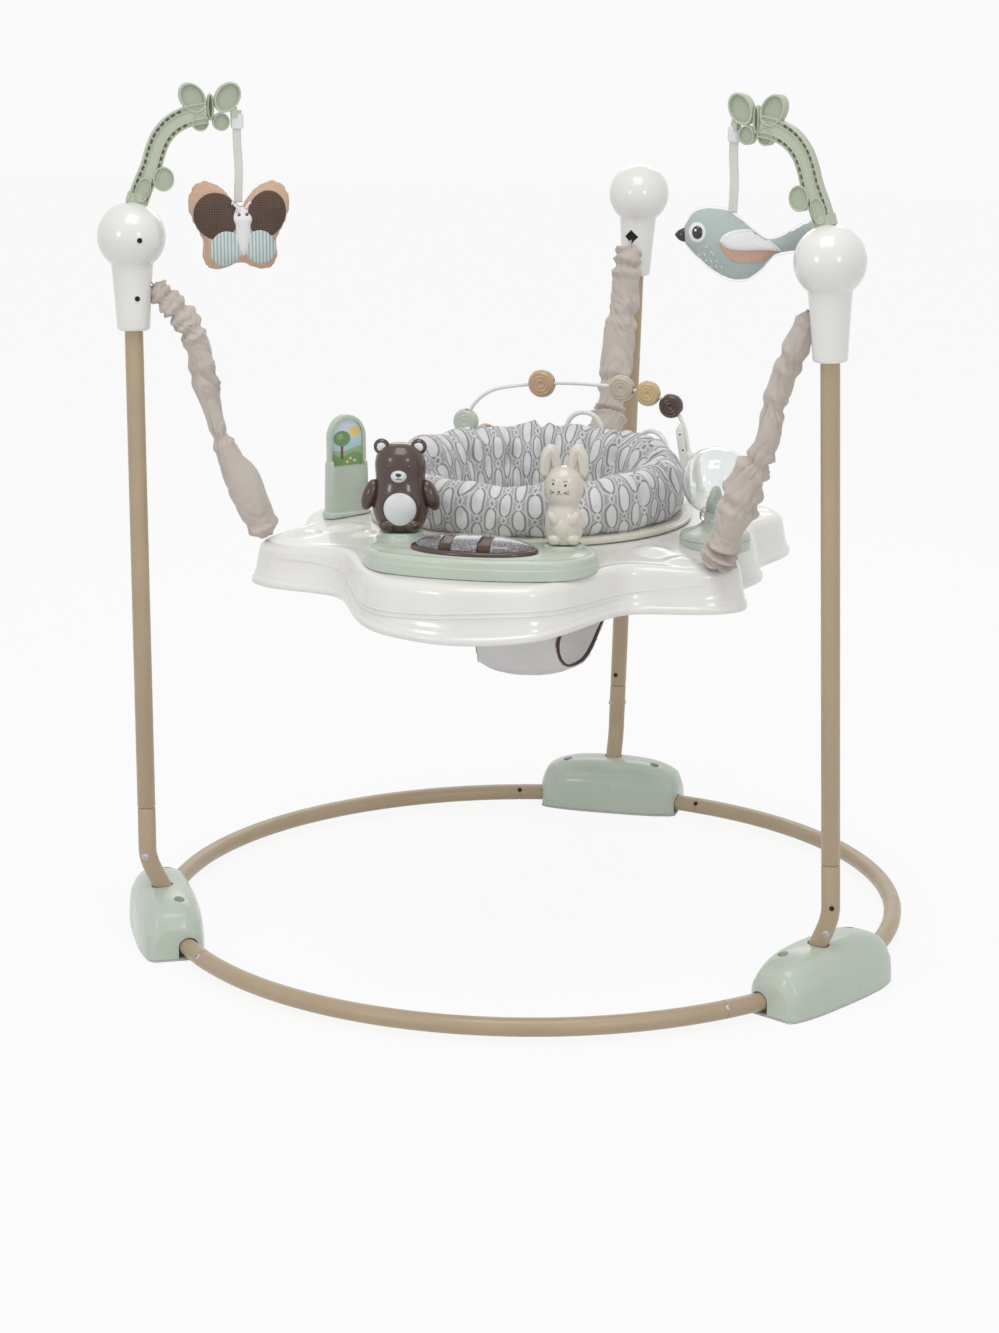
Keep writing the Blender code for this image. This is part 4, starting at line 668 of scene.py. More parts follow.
# Cup floors of the arches: the same sage, darker for painted shade in the cups, and less glossy.
SAGE_CUP_SHADE = moulded("sage_cup_painted_shade", (170, 181, 160), 0.5, coat=0.0)
WHITE = moulded("warm_white_plastic", (231, 230, 226), 0.22, coat=0.4)
RUBBER = moulded("pad_rubber", (205, 205, 202), 0.7, coat=0.0, grain=0.00008)
HOLE = moulded("hole_shadow", (26, 24, 23), 0.8, coat=0.0)
STEEL = Finish("zinc_steel", (190, 190, 192), 0.32, Metallic=1.0).vary(60.0, 0.12).rough(90.0, 0.22, 0.42).done()
BLACK_STEEL = Finish("blackened_steel", (52, 48, 45), 0.4, Metallic=1.0).vary(60.0, 0.12).rough(90.0, 0.3, 0.5).done()
LINEN = cloth("taupe_sleeve_cloth", (200, 190, 181), 0.0007, 0.00012, sheen=0.35)


def speckled(name, colour, fleck, share=0.5):
    """Plastic with bright flakes in it, each of its own shade."""
    finish = Finish(name, colour, 0.24, Coat_Weight=0.5, Coat_Roughness=0.06)
    flakes = finish.add("ShaderNodeTexVoronoi", {"Vector": finish.coords(), "Scale": 1300.0})
    parts = finish.add("ShaderNodeSeparateColor", {"Color": flakes.outputs["Color"]})
    finish.tint(finish.band(parts.outputs["Red"], share, 1.0), fleck)
    finish.tint(finish.band(parts.outputs["Green"], 0.75, 1.0, 0.0, 0.6), (30, 28, 30))
    finish.bump(parts.outputs["Blue"], 0.00003)
    return finish.done()


def clear_plastic(name):
    finish = Finish(name, (246, 248, 247), 0.03, Transmission_Weight=1.0, IOR=1.46, Coat_Weight=0.2)
    finish.rough(30.0, 0.015, 0.05)
    finish.bump(finish.noise(22.0, 1.0), 0.00008)
    finish.material.diffuse_color = (0.9, 0.92, 0.92, 0.3)
    return finish.done()


def cell(finish, coords, width, height, shift):
    """How far a point is from the middle of its cell, across and along, in a grid moved by shift."""
    parts = finish.add("ShaderNodeSeparateXYZ", {"Vector": coords})
    away = []
    for axis, size, move in (("X", width, shift[0]), ("Y", height, shift[1])):
        place = finish.math("MULTIPLY_ADD", parts.outputs[axis], 1 / size, move + 64.0)
        away.append(finish.math("MULTIPLY", finish.math("ABSOLUTE", finish.math(
            "SUBTRACT", finish.math("FRACT", place), 0.5)), size))
    return away


def leaf(finish, away, half_width, half_height):
    """Below 1 inside an oval with blunt ends."""
    along = finish.math("POWER", finish.math("MULTIPLY", away[1], 1 / half_height), 3.0)
    across = finish.math("POWER", finish.math("MULTIPLY", away[0], 1 / half_width), 1.5)
    return finish.math("ADD", across, along)


def lozenge(finish, away, half_width, half_height):
    """Below 1 inside a diamond."""
    return finish.math("MULTIPLY_ADD", away[0], 1 / half_width, finish.math("MULTIPLY", away[1], 1 / half_height))


def printed_cloth(name):
    """Grey cotton printed with staggered pointed ovals and small diamonds."""
    finish = Finish(name, (176, 175, 175), 0.86, Sheen_Weight=0.2, Sheen_Roughness=0.5)
    coords = finish.coords("UV")
    wavy = finish.add("ShaderNodeMix", data_type="VECTOR")
    finish.feed(wavy.inputs[0], 0.0012)
    finish.feed(wavy.inputs[4], coords)
    finish.feed(wavy.inputs[5], finish.add("ShaderNodeTexNoise", {"Vector": coords, "Scale": 60.0}).outputs["Color"])
    drawn = wavy.outputs[1]
    width, height = PRINT_CELL
    ovals = finish.math("MINIMUM", leaf(finish, cell(finish, drawn, width, height, (0.0, 0.0)), 0.0070, 0.0158),
                        leaf(finish, cell(finish, drawn, width, height, (0.5, 0.5)), 0.0070, 0.0158))
    marks = finish.math("MINIMUM", lozenge(finish, cell(finish, drawn, width, height, (0.5, 0.0)), 0.0044, 0.0070),
                        lozenge(finish, cell(finish, drawn, width, height, (0.0, 0.5)), 0.0044, 0.0070))
    finish.tint(finish.band(ovals, 1.55, 1.40), (206, 206, 207))
    finish.tint(finish.band(ovals, 1.12, 1.00), (148, 146, 147))
    finish.tint(finish.band(ovals, 0.72, 0.60), (226, 226, 228))
    finish.tint(finish.band(marks, 1.0, 0.88), (218, 218, 219))
    finish.tint(finish.band(marks, 0.50, 0.40), (156, 154, 155))
    finish.vary(30.0, 0.06, 3.0, coords)
    weave(finish, coords, 0.0007, 0.0001, 0.14)
    return finish.done()


def mesh_cloth(name):
    """Dark open mesh with a grid of pale points."""
    finish = Finish(name, (70, 52, 43), 0.8, Sheen_Weight=0.15)
    coords = finish.coords("UV")
    away = cell(finish, coords, 0.0017, 0.0017, (0.0, 0.0))
    point = finish.math("MAXIMUM", away[0], away[1])
    finish.tint(finish.band(point, 0.00040, 0.00026), (134, 108, 92))
    finish.bump(finish.band(point, 0.0007, 0.0003), 0.0001)
    finish.vary(60.0, 0.08, 3.0, coords)
    return finish.done()


def striped_cloth(name):
    """White cotton with narrow blue-green stripes."""
    finish = Finish(name, (214, 222, 222), 0.85, Sheen_Weight=0.2)
    coords = finish.coords("UV")
    away = cell(finish, coords, 0.0036, 1.0, (0.0, 0.0))
    finish.tint(finish.band(away[0], 0.00105, 0.00075), (160, 184, 181))
    weave(finish, coords, 0.0006, 0.0001, 0.10)
    return finish.done()


def plush(name, colour, nap=0.05):
    """Short-pile cloth: a soft sheen over a fine uneven nap."""
    finish = Finish(name, colour, 0.92, Sheen_Weight=0.45, Sheen_Roughness=0.4)
    finish.vary(24.0, nap)
    finish.vary(420.0, nap, 2.0)
    finish.bump(finish.noise(1400.0, 2.0), 0.00022)
    finish.bump(finish.noise(60.0, 3.0), 0.0005, 0.6)
    return finish.done()


def picture(name):
    """A small landscape on UV coordinates from 0 to 1: sky, hills, a round tree and a sun."""
    finish = Finish(name, (176, 206, 216), 0.5, Coat_Weight=0.2)
    coords = finish.coords("UV")
    parts = finish.add("ShaderNodeSeparateXYZ", {"Vector": coords})
    x, y = parts.outputs["X"], parts.outputs["Y"]
    finish.tint(finish.band(y, 0.35, 0.95), (214, 228, 230))

    def spot(place, radius, colour, edge=0.015, wide=1.0):
        centre = finish.add("ShaderNodeVectorMath", {0: coords, 1: (place[0], place[1], 0)}, operation="SUBTRACT")
        scaled = finish.add("ShaderNodeVectorMath", {0: centre.outputs[0], 1: (wide, 1.0, 0.0)}, operation="MULTIPLY")
        away = finish.add("ShaderNodeVectorMath", {0: scaled.outputs[0]}, operation="LENGTH").outputs["Value"]
        finish.tint(finish.band(away, radius + edge, radius), colour)

    spot((0.76, 0.70), 0.09, (236, 206, 120), 0.02, 0.6)
    for rise, slope, colour in ((0.34, 5.0, (156, 180, 140)), (0.22, 8.0, (122, 156, 108))):
        wave = finish.math("MULTIPLY_ADD", finish.math("SINE", finish.math("MULTIPLY_ADD", x, slope, rise * 9)),
                           0.05, rise)
        finish.tint(finish.band(finish.math("SUBTRACT", y, wave), 0.01, 0.0), colour)
    trunk = finish.math("MAXIMUM", finish.math("ABSOLUTE", finish.math("SUBTRACT", x, 0.36)),
                        finish.math("MULTIPLY", finish.math("ABSOLUTE", finish.math("SUBTRACT", y, 0.28)), 0.28))
    finish.tint(finish.band(trunk, 0.045, 0.038), (116, 84, 62))
    spot((0.36, 0.56), 0.15, (112, 148, 96), 0.02, 0.62)
    spot((0.30, 0.60), 0.05, (142, 172, 120), 0.03, 0.62)
    for place in ((0.62, 0.14), (0.74, 0.09), (0.52, 0.07)):
        spot(place, 0.022, (238, 214, 150), 0.01, 0.62)
    finish.bump(finish.noise(500.0, 2.0), 0.00002)
    return finish.done()


PRINT_CELL = (2 * math.pi * 0.155 / 32, 0.0400)
CREAM = moulded("cream_plastic", (214, 208, 196), 0.25, coat=0.35)
BROWN = moulded("brown_plastic", (74, 53, 45), 0.24, coat=0.40, patch=0.06)
BROWN_SATIN = moulded("brown_satin_plastic", (84, 62, 53), 0.50, coat=0.0)
PALE_GREY = moulded("pale_grey_plastic", (222, 223, 226), 0.32, coat=0.2)
INK = moulded("face_ink", (24, 20, 20), 0.25, coat=0.5)
# White dots in the eyes: a painted highlight.
EYE_HIGHLIGHT = moulded("painted_eye_highlight", (245, 245, 244), 0.2, coat=0.5)
TAN = moulded("tan_plastic", (190, 159, 128), 0.28)
BEIGE = moulded("beige_plastic", (194, 183, 165), 0.28)
YELLOW = moulded("yellow_plastic", (201, 176, 133), 0.28)
GLITTER = speckled("grey_flake_plastic", (104, 101, 103), (172, 172, 178))
CLEAR = clear_plastic("clear_plastic")
PICTURE = picture("picture_print")
BOARD = moulded("circuit_board_green", (36, 96, 58), 0.4, coat=0.3, patch=0.2)
BLACK = moulded("black_plastic", (32, 31, 31), 0.5, coat=0.0)
PRINT = printed_cloth("grey_printed_cotton")
SLING = cloth("pale_grey_sling_cloth", (222, 220, 220), 0.0008, 0.00012)
TAN_PLUSH = plush("tan_plush", (206, 170, 145))
BLUE_PLUSH = plush("blue_plush", (176, 188, 187))
WHITE_PLUSH = plush("white_plush", (232, 230, 232), 0.03)
TAN_FELT = plush("tan_felt", (200, 166, 146))
MESH_CLOTH = mesh_cloth("brown_mesh_cloth")
STRIPES = striped_cloth("striped_cotton")
RIBBON_CLOTH = cloth("cream_ribbon", (222, 220, 214), 0.0005, 0.00015)
THREAD = plush("pale_thread", (226, 222, 216), 0.04)


# ---- Camera, light and floor

def make_stage():
    camera = bpy.data.cameras.new("camera")
    camera.sensor_fit = "VERTICAL"
    camera.sensor_height = 36.0
    camera.lens = 78.9
    eye = bpy.data.objects.new("camera", camera)
    turn, tilt = math.radians(15.21), math.radians(14.31)
    back = Vector((math.sin(turn) * math.cos(tilt), -math.cos(turn) * math.cos(tilt), math.sin(tilt)))
    eye.location = (0.7774, -3.0109, 1.0657)
    eye.rotation_euler = back.to_track_quat("Z", "Y").to_euler()
    bpy.context.scene.collection.objects.link(eye)
    bpy.context.scene.camera = eye

    for name, energy, size, place, colour in (
            ("top_softbox", 17.0, (1.3, 1.3), (0.1, -0.9, 2.6), (1.0, 0.99, 0.97)),
            ("left_window", 7.0, (0.45, 0.6), (-1.3, -2.6, 1.25), (1.0, 1.0, 1.0)),
            ("right_window", 7.0, (0.45, 0.6), (1.9, -2.3, 1.35), (1.0, 1.0, 1.0)),
            ("back_softbox", 8.0, (1.6, 1.0), (-0.4, 2.2, 1.8), (1.0, 1.0, 1.0))):
        lamp = bpy.data.lights.new(name, "AREA")
        lamp.shape = "RECTANGLE"
        lamp.size, lamp.size_y = size
        lamp.energy = energy
        lamp.color = colour
        light = bpy.data.objects.new(name, lamp)
        light.location = place
        aim = Vector(place) - Vector((0.0, 0.0, 0.45))
        light.rotation_euler = aim.to_track_quat("Z", "Y").to_euler()
        bpy.context.scene.collection.objects.link(light)

    world = bpy.data.worlds.new("studio")
    bpy.context.scene.world = world
    world.use_nodes = True
    tree = world.node_tree
    shown = tree.nodes["Background"]
    shown.inputs["Color"].default_value = (0.956, 0.956, 0.955, 1.0)
    lit = tree.nodes.new("ShaderNodeBackground")
    lit.inputs["Color"].default_value = (1.0, 1.0, 1.0, 1.0)
    lit.inputs["Strength"].default_value = 0.62
    mixed = tree.nodes.new("ShaderNodeMixShader")
    tree.links.new(seen_ray(tree), mixed.inputs[0])
    tree.links.new(lit.outputs[0], mixed.inputs[1])
    tree.links.new(shown.outputs[0], mixed.inputs[2])
    tree.links.new(mixed.outputs[0], tree.nodes["World Output"].inputs["Surface"])

    bm = bmesh.new()
    bmesh.ops.create_grid(bm, x_segments=1, y_segments=1, size=9.0)
    floor = to_object("studio_floor", bm, [])
    material = bpy.data.materials.new("pale_floor")
    material.use_nodes = True
    tree = material.node_tree
    shader = tree.nodes["Principled BSDF"]
    shader.inputs["Base Color"].default_value = (0.86, 0.86, 0.86, 1.0)
    shader.inputs["Roughness"].default_value = 0.9
    shader.inputs["Specular IOR Level"].default_value = 0.1
    glow = tree.nodes.new("ShaderNodeEmission")
    glow.inputs["Color"].default_value = (0.990, 0.990, 0.989, 1.0)
    mixed = tree.nodes.new("ShaderNodeMixShader")
    share = tree.nodes.new("ShaderNodeMath")
    share.operation = "MULTIPLY"
    share.inputs[1].default_value = 0.90
    tree.links.new(seen_ray(tree), share.inputs[0])
    tree.links.new(share.outputs[0], mixed.inputs[0])
    tree.links.new(shader.outputs[0], mixed.inputs[1])
    tree.links.new(glow.outputs[0], mixed.inputs[2])
    tree.links.new(mixed.outputs[0], tree.nodes["Material Output"].inputs["Surface"])
    floor.data.materials.append(material)
    bpy.context.scene.view_settings.view_transform = "Standard"


def seen_ray(tree):
    """1 for rays that the camera, a reflection or clear plastic sees."""
    path = tree.nodes.new("ShaderNodeLightPath")
    first = tree.nodes.new("ShaderNodeMath")
    first.operation = "MAXIMUM"
    second = tree.nodes.new("ShaderNodeMath")
    second.operation = "MAXIMUM"
    tree.links.new(path.outputs["Is Camera Ray"], first.inputs[0])
    tree.links.new(path.outputs["Is Glossy Ray"], first.inputs[1])
    tree.links.new(first.outputs[0], second.inputs[0])
    tree.links.new(path.outputs["Is Transmission Ray"], second.inputs[1])
    return second.outputs[0]


# ---- Floor ring and posts

def ring_section(turn, radius, count):
    return [around(turn, RING_RADIUS + radius * math.cos(2 * math.pi * i / count),
                   RING_HEIGHT + radius * math.sin(2 * math.pi * i / count)) for i in range(count)]


def make_ring():
    """Three tubes of the floor ring, with a groove where each is pressed onto the next."""
    sides = 28
    for name, first in (("base_arc_front", "left"), ("base_arc_right", "right"), ("base_arc_left", "back")):
        start = POST_ANGLES[first]
        trim = math.degrees(GAP / RING_RADIUS)
        grooves = (start + 16.5, start + 103.5)
        turns = [(start + trim, TUBE_RADIUS)]
        turns += [(start + 120 * k / 96, TUBE_RADIUS) for k in range(1, 96)]
        turns.append((start + 120 - trim, TUBE_RADIUS))
        for groove in grooves:
            turns += [(groove - 0.12, TUBE_RADIUS), (groove - 0.06, TUBE_RADIUS - 0.0006),
                      (groove + 0.06, TUBE_RADIUS - 0.0006), (groove + 0.12, TUBE_RADIUS)]
        turns.sort()
        outer = [ring_section(turn, radius, sides) for turn, radius in turns]
        ends = (turns[0][0], turns[-1][0])
        inner = [ring_section(ends[0] + (ends[1] - ends[0]) * k / 24, TUBE_RADIUS - TUBE_WALL, sides)
                 for k in range(25)]
        stands_for(to_object(f"{name}_tube", skin(outer + inner[::-1], closed=True), TAUPE), name)


def lower_leg_path(angle, steps=20):
    start = RING_HEIGHT + TUBE_RADIUS + GAP
    low = start + 0.005
    path = [around(angle, RING_RADIUS, start)]
    for k in range(steps + 1):
        share = k / steps
        path.append(around(angle, RING_RADIUS + (LEG_RADIUS - RING_RADIUS) * ease(share),
                           low + (BEND_TOP - low) * share))
    return path + [post_point(angle, SEAM_HEIGHT)]


def tube(path, radii, bores, sides=28):
    outer, inner = [], []
    for (point, _, across, over), radius, bore in zip(path_frames(path), radii, bores):
        around_it = [math.cos(2 * math.pi * i / sides) * across + math.sin(2 * math.pi * i / sides) * over
                     for i in range(sides)]
        outer.append([point + way * radius for way in around_it])
        inner.append([point + way * bore for way in around_it])
    return skin(outer + inner[::-1], closed=True)


def make_legs():
    bore = TUBE_RADIUS - TUBE_WALL
    for side, angle in POST_ANGLES.items():
        swage = bore - 1.5 * GAP
        path = lower_leg_path(angle)
        along = (path[-1] - path[-2]).normalized()
        seam = path[-1]
        path[-1:] = [seam - along * 0.0008, seam]
        path += [seam + along * 0.001, seam + along * SWAGE_LENGTH]
        radii = [TUBE_RADIUS] * (len(path) - 3) + [TUBE_RADIUS - 0.0004, swage, swage]
        lower = tube(path, radii, [swage - TUBE_WALL] * len(path))
        stands_for(to_object(f"lower_leg_{side}_tube", lower, TAUPE), f"lower_leg_{side}")
        low = seam + along * (GAP + 0.001)
        high = post_point(angle, BALL_HEIGHT - NECK_LENGTH + BORE_DEPTH - 0.003)
        line = [low, low + along * 0.0008, low.lerp(high, 0.5), high]
        upper = tube(line, [TUBE_RADIUS - 0.0006, TUBE_RADIUS, TUBE_RADIUS, TUBE_RADIUS], [bore] * 4)
        stands_for(to_object(f"upper_leg_{side}_tube", upper, TAUPE), f"upper_leg_{side}")


def toward_eye(point, axis, sideways=0.0):
    """The way across an upright or level tube that faces the front, turned by sideways degrees."""
    front = Vector((0.2623, -0.9650, 0.0))
    front = Matrix.Rotation(math.radians(sideways), 3, "Z") @ front
    return (front - axis * front.dot(axis)).normalized()


def make_fasteners():
    """Screws and snap buttons of the posts and of the floor ring."""
    heads, buttons, washers = [], [], []
    spots = [("left", 0.098, -12, heads), ("right", 0.107, 0, buttons), ("right", 0.079, 0, heads),
             ("back", 0.165, -25, buttons), ("back", 0.128, -70, heads), ("right", 0.107, 175, heads),
             ("left", 0.098, 178, heads), ("back", 0.128, 110, heads)]
    for side, height, sideways, group in spots:
        angle = POST_ANGLES[side]
        if height > BEND_TOP:
            point = post_point(angle, height)
        else:
            share = (height - 0.0298) / (BEND_TOP - 0.0298)
            point = around(angle, RING_RADIUS + (LEG_RADIUS - RING_RADIUS) * ease(share), height)
        axis = (post_point(angle, 0.5) - post_point(angle, 0.2)).normalized()
        facing = toward_eye(point, axis, sideways)
        group.append((point + facing * (TUBE_RADIUS + 0.0002), facing))
        if group is heads:
            washers.append((point + facing * (TUBE_RADIUS - 0.0004), facing))
    for turn, group in ((313.5, heads), (226.5, heads), (73.5, buttons), (106.5, buttons)):
        point = around(turn, RING_RADIUS, RING_HEIGHT)
        facing = (heading(turn) * (1 if 180 < turn else -1) + Vector((0, 0, 0.6))).normalized()
        group.append((point + facing * (TUBE_RADIUS + 0.0001), facing))
    screws = on_points("frame_screws", heads, SCREW, (0.0031, 0.0031, 0.0031), STEEL)
    goes_with(screws, "lower_leg_left")
    snap = lathe([(0, -0.6), (0.9, -0.6), (1.0, 0.0), (0.86, 0.5), (0.5, 0.78), (0, 0.86)], 20)
    snap = helper_shape("snap_shape", snap)
    studs = on_points("snap_buttons", buttons, snap, (0.0026, 0.0026, 0.0022), BLACK_STEEL)
    goes_with(studs, "lower_leg_left")
    plate = helper_shape("washer_shape", lathe([(0, -0.5), (1, -0.5), (1, 0.5), (0, 0.5)], 20))
    rings = on_points("screw_washers", washers, plate, (0.0041, 0.0041, 0.0010), STEEL)
    goes_with(rings, "lower_leg_left")
    for shape in (snap, plate):
        bpy.data.objects.remove(shape)


# ---- Caps

def cap_matrix(angle):
    axis = (post_point(angle, BALL_HEIGHT) - post_point(angle, BEND_TOP)).normalized()
    return Matrix.Translation(post_point(angle, BALL_HEIGHT)) @ axis.to_track_quat("Z", "Y").to_matrix().to_4x4()


def strap_axes(side):
    start = post_point(POST_ANGLES[side], BALL_HEIGHT - SLOT_DROP)
    end = around(*STRAP_PLACES[side])
    way = Vector((end.x - start.x, end.y - start.y, 0.0))
    return start, way.normalized(), way.length


def make_caps():
    def arc(radius, end, rows):
        return [(radius * math.sin(end * k / rows), radius * math.cos(end * k / rows)) for k in range(rows + 1)]

    join = math.pi - math.asin((NECK_TOP_RADIUS + 0.0012) / BALL_RADIUS)
    inside = BALL_RADIUS - CAP_WALL
    inner_join = math.pi - math.asin((NECK_TOP_RADIUS - CAP_WALL) / inside)
    grip = TUBE_RADIUS + GAP
    low = -NECK_LENGTH
    top = BALL_RADIUS * math.cos(join)
    profile = arc(BALL_RADIUS, join, 40)
    profile += [(NECK_TOP_RADIUS + 0.0004, top - 0.0007), (NECK_TOP_RADIUS, top - 0.0016)]
    for k in range(1, 13):
        share = k / 12
        radius = NECK_TOP_RADIUS + (NECK_END_RADIUS - NECK_TOP_RADIUS) * share ** 0.85
        profile.append((radius, top - 0.0016 + (low + 0.0035 - top + 0.0016) * share))
    profile += [(NECK_END_RADIUS - 0.0003, low + 0.0018), (NECK_END_RADIUS - 0.0011, low + 0.0006),
                (NECK_END_RADIUS - 0.0024, low), (grip + 0.0012, low), (grip, low + 0.0010),
                (grip, low + BORE_DEPTH), (NECK_END_RADIUS - CAP_WALL, low + BORE_DEPTH + 0.004)]
    profile += arc(inside, inner_join, 16)[::-1]
    holes, rims = [], []
    for side, angle in POST_ANGLES.items():
        place = cap_matrix(angle)
        cap = to_object(f"cap_{side}_shell", lathe(profile, 72, place), WHITE, sharp=50)
        start, way, _ = strap_axes(side)
        turn = way.to_track_quat("X", "Z").to_matrix() @ Matrix.Rotation(math.radians(45), 3, "X")
        centre = start + way * NECK_TOP_RADIUS
        slot = to_object("slot_cutter", block((2 * CAP_WALL + 0.010, SLOT_SIDE, SLOT_SIDE), centre, turn), WHITE)
        cut(cap, [slot])
        cap.data.shade_smooth()
        cap.data.set_sharp_from_angle(angle=math.radians(40))
        stands_for(cap, f"cap_{side}")
        lining = block((0.0030, SLOT_SIDE + 0.0004, SLOT_SIDE + 0.0004), start + way * (NECK_TOP_RADIUS - 0.0064), turn)
        goes_with(to_object(f"cap_{side}_slot_shadow", lining, HOLE), f"cap_{side}")
        axis = (place.to_3x3() @ Vector((0, 0, 1))).normalized()
        centre = post_point(angle, BALL_HEIGHT)
        out = heading(angle)
        # Screw holes on the side that faces away from the back post.
        facing = {"left": 62.0, "right": 152.0, "back": 0.0}[side]
        for drop, radius in ((0.002, BALL_RADIUS + 0.0005), (0.0620, 0.0192)):
            across = (Matrix.Rotation(math.radians(facing), 3, axis) @ out)
            if side == "left":
                across = (Vector((0.58, -0.81, 0.0)) - axis * Vector((0.58, -0.81, 0.0)).dot(axis)).normalized()
            spot = centre - axis * drop + across * (radius - 0.0003)
            holes.append((spot, across))
    dot = helper_shape("hole_shape", lathe([(0, -0.5), (1, -0.5), (1, 0.2), (0, 0.2)], 24))
    rim = helper_shape("hole_rim_shape", lathe([(0.92, -0.5), (1.28, -0.5), (1.22, 0.25), (1.08, 0.42),
                                                (0.94, 0.3)], 24, closed=True))
    goes_with(on_points("cap_screw_holes", holes, dot, (0.0030, 0.0030, 0.0012), HOLE), "cap_left")
    goes_with(on_points("cap_hole_rims", holes, rim, (0.0030, 0.0030, 0.0012), WHITE), "cap_left")
    for shape in (dot, rim):
        bpy.data.objects.remove(shape)


# ---- Feet

def foot_half(share, at_end, at_middle):
    return at_end + (at_middle - at_end) * max(1 - abs(share) ** 3, 0.0) ** 0.6


def foot_body(angle, inset, floor, stations=48, segments=40, ledge=0.0):
    """A loaf along the ring, smaller by inset. A ledge steps its lower part out."""
    half = FOOT_LENGTH / 2 - inset
    rings = []
    for k in range(stations + 1):
        share = -math.cos(math.pi * k / stations)
        width = foot_half(share, FOOT_END_WIDTH / 2, FOOT_WIDTH / 2) - inset
        height = foot_half(share, FOOT_END_HEIGHT, FOOT_HEIGHT) - inset - PAD_THICKNESS
        rounding = 1 - 0.16 * max(abs(share) - 0.93, 0) / 0.07
        ring = []
        for i in range(segments + 1):
            turn = math.pi * i / segments
            across = math.copysign(abs(math.cos(turn)) ** 0.6, math.cos(turn)) * width * rounding
            up = math.sin(turn) ** 0.7 * height * rounding
            if ledge and up > 0.62 * height:
                rise = ease((up / height - 0.62) / 0.05)
                across -= math.copysign(min(ledge * rise, abs(across)), across)
                up -= ledge * 0.4 * rise
            ring.append(around(angle, FOOT_CIRCLE + across, max(PAD_THICKNESS + up, floor), share * half))
        if floor < PAD_THICKNESS:
            ring[0].z = floor
            ring[-1].z = floor
        rings.append(ring)
    return skin(rings)


FOOT_WELL_TURN = 7.9


def make_feet():
    tunnel_radius = TUBE_RADIUS + 0.0012
    for side, angle in FOOT_ANGLES.items():
        post_angle = POST_ANGLES[side]
        shell = to_object(f"foot_{side}_shell", foot_body(angle, 0.0, PAD_THICKNESS + GAP, ledge=0.0011), SAGE)
        hollow = to_object("foot_hollow", foot_body(angle, FOOT_WALL, -0.010, 24, 20), SAGE)
        rings = []
        for k in range(-4, 5):
            turn = post_angle + 5 * k
            ring = [around(turn, RING_RADIUS + tunnel_radius * math.cos(math.pi * i / 16),
                           RING_HEIGHT + tunnel_radius * math.sin(math.pi * i / 16)) for i in range(17)]
            ring.append(around(turn, RING_RADIUS - tunnel_radius, -0.010))
            ring.append(around(turn, RING_RADIUS + tunnel_radius, -0.010))
            rings.append(ring)
        tunnel = to_object("foot_tunnel", skin(rings), SAGE)
        path = lower_leg_path(post_angle)
        leg_hole = to_object("foot_leg_hole", sweep(path, [tunnel_radius] * len(path), 28), SAGE)
        # A screw well towards each end of the top, with a boss round it inside.
        whole = bmesh.new()
        whole.from_mesh(shell.data)
        outside = BVHTree.FromBMesh(whole)
        wells, bosses = [], []
        for step in (-FOOT_WELL_TURN, FOOT_WELL_TURN):
            spot = outside.ray_cast(around(angle + step, RING_RADIUS, 0.3), Vector((0, 0, -1)))[0]
            for shapes, radius, low in ((wells, 0.0056, -0.0065), (bosses, 0.0082, -0.0095)):
                bar = lathe([(0, low), (radius, low), (radius, 0.020), (0, 0.020)], 40, Matrix.Translation(spot))
                shapes.append(to_object("foot_well", bar, SAGE))
        whole.free()
        cut(hollow, bosses)
        cut(shell, [hollow, tunnel, leg_hole] + wells)
        shell.data.shade_smooth()
        shell.data.set_sharp_from_angle(angle=math.radians(38))
        stands_for(shell, f"foot_shell_{side}")
        polished(f"foot_{side}_pad", f"foot_pad_{side}", RUBBER, 0.0005)


# ---- Toy arches

def arch_place(side):
    return Matrix.Translation(post_point(POST_ANGLES[side], BALL_HEIGHT)) @ Matrix.Rotation(
        math.radians(ARCH_HEADINGS[side]), 4, "Z") @ UPRIGHT


ARCH_LINE = [(0.0065, 0.0330, 0), (0.013, 0.050, 0), (0.022, 0.070, 0), (0.0275, 0.087, 0),
             (0.0345, 0.101, 0), (0.046, 0.1125, 0), (0.062, 0.1200, 0), (0.080, 0.1232, 0)]
# Name: middle, radii, lean, depth of its cup, share of the arch's thickness that its rim takes
ARCH_LOBES = {"leaf": ((0.0340, 0.0575), (0.0110, 0.0125), 0, 0.0020, 1.16),
              "low_leaf": ((0.0125, 0.0470), (0.0078, 0.0135), -20, 0.0014, 1.08),
              "tail_in": ((0.0735, 0.1140), (0.0088, 0.0092), 0, 0.0030, 0.94),
              "tail_out": ((0.0950, 0.1140), (0.0088, 0.0092), 0, 0.0030, 0.94),
              "wing_in": ((0.0660, 0.1385), (0.0125, 0.0165), 35, 0.0036, 1.0),
              "wing_out": ((0.1020, 0.1385), (0.0125, 0.0165), -35, 0.0036, 1.0)}


def cupped(centre, radii, lean, depth, share, bm):
    """A lobe with a rounded rim and a cup on both faces. The cup floors take the second finish, darker for painted
    shade.
    """
    half = ARCH_HALF_THICKNESS * share
    floor = [(0.93, -half + depth), (0.93, half - depth)]
    rim = [(1.0, half - 0.0006), (0.98, half - 0.0001), (0.93, half), (0.88, half - 0.0001), (0.855, half - 0.0006),
           (0.84, half - 0.0016)]
    rim += [(scale, -z) for scale, z in rim[::-1]]
    # The floor rows take finish 1, the darker sage of painted shade in the cups.
    for rows, closed, finish in ((floor, False, 1), (rim, True, 0)):
        rings = [[Vector((x, y, z)) for x, y in ellipse(centre, (radii[0] * scale, radii[1] * scale), 40, lean)]
                 for scale, z in rows]
        skin(rings, closed, bm=bm, finish=finish)


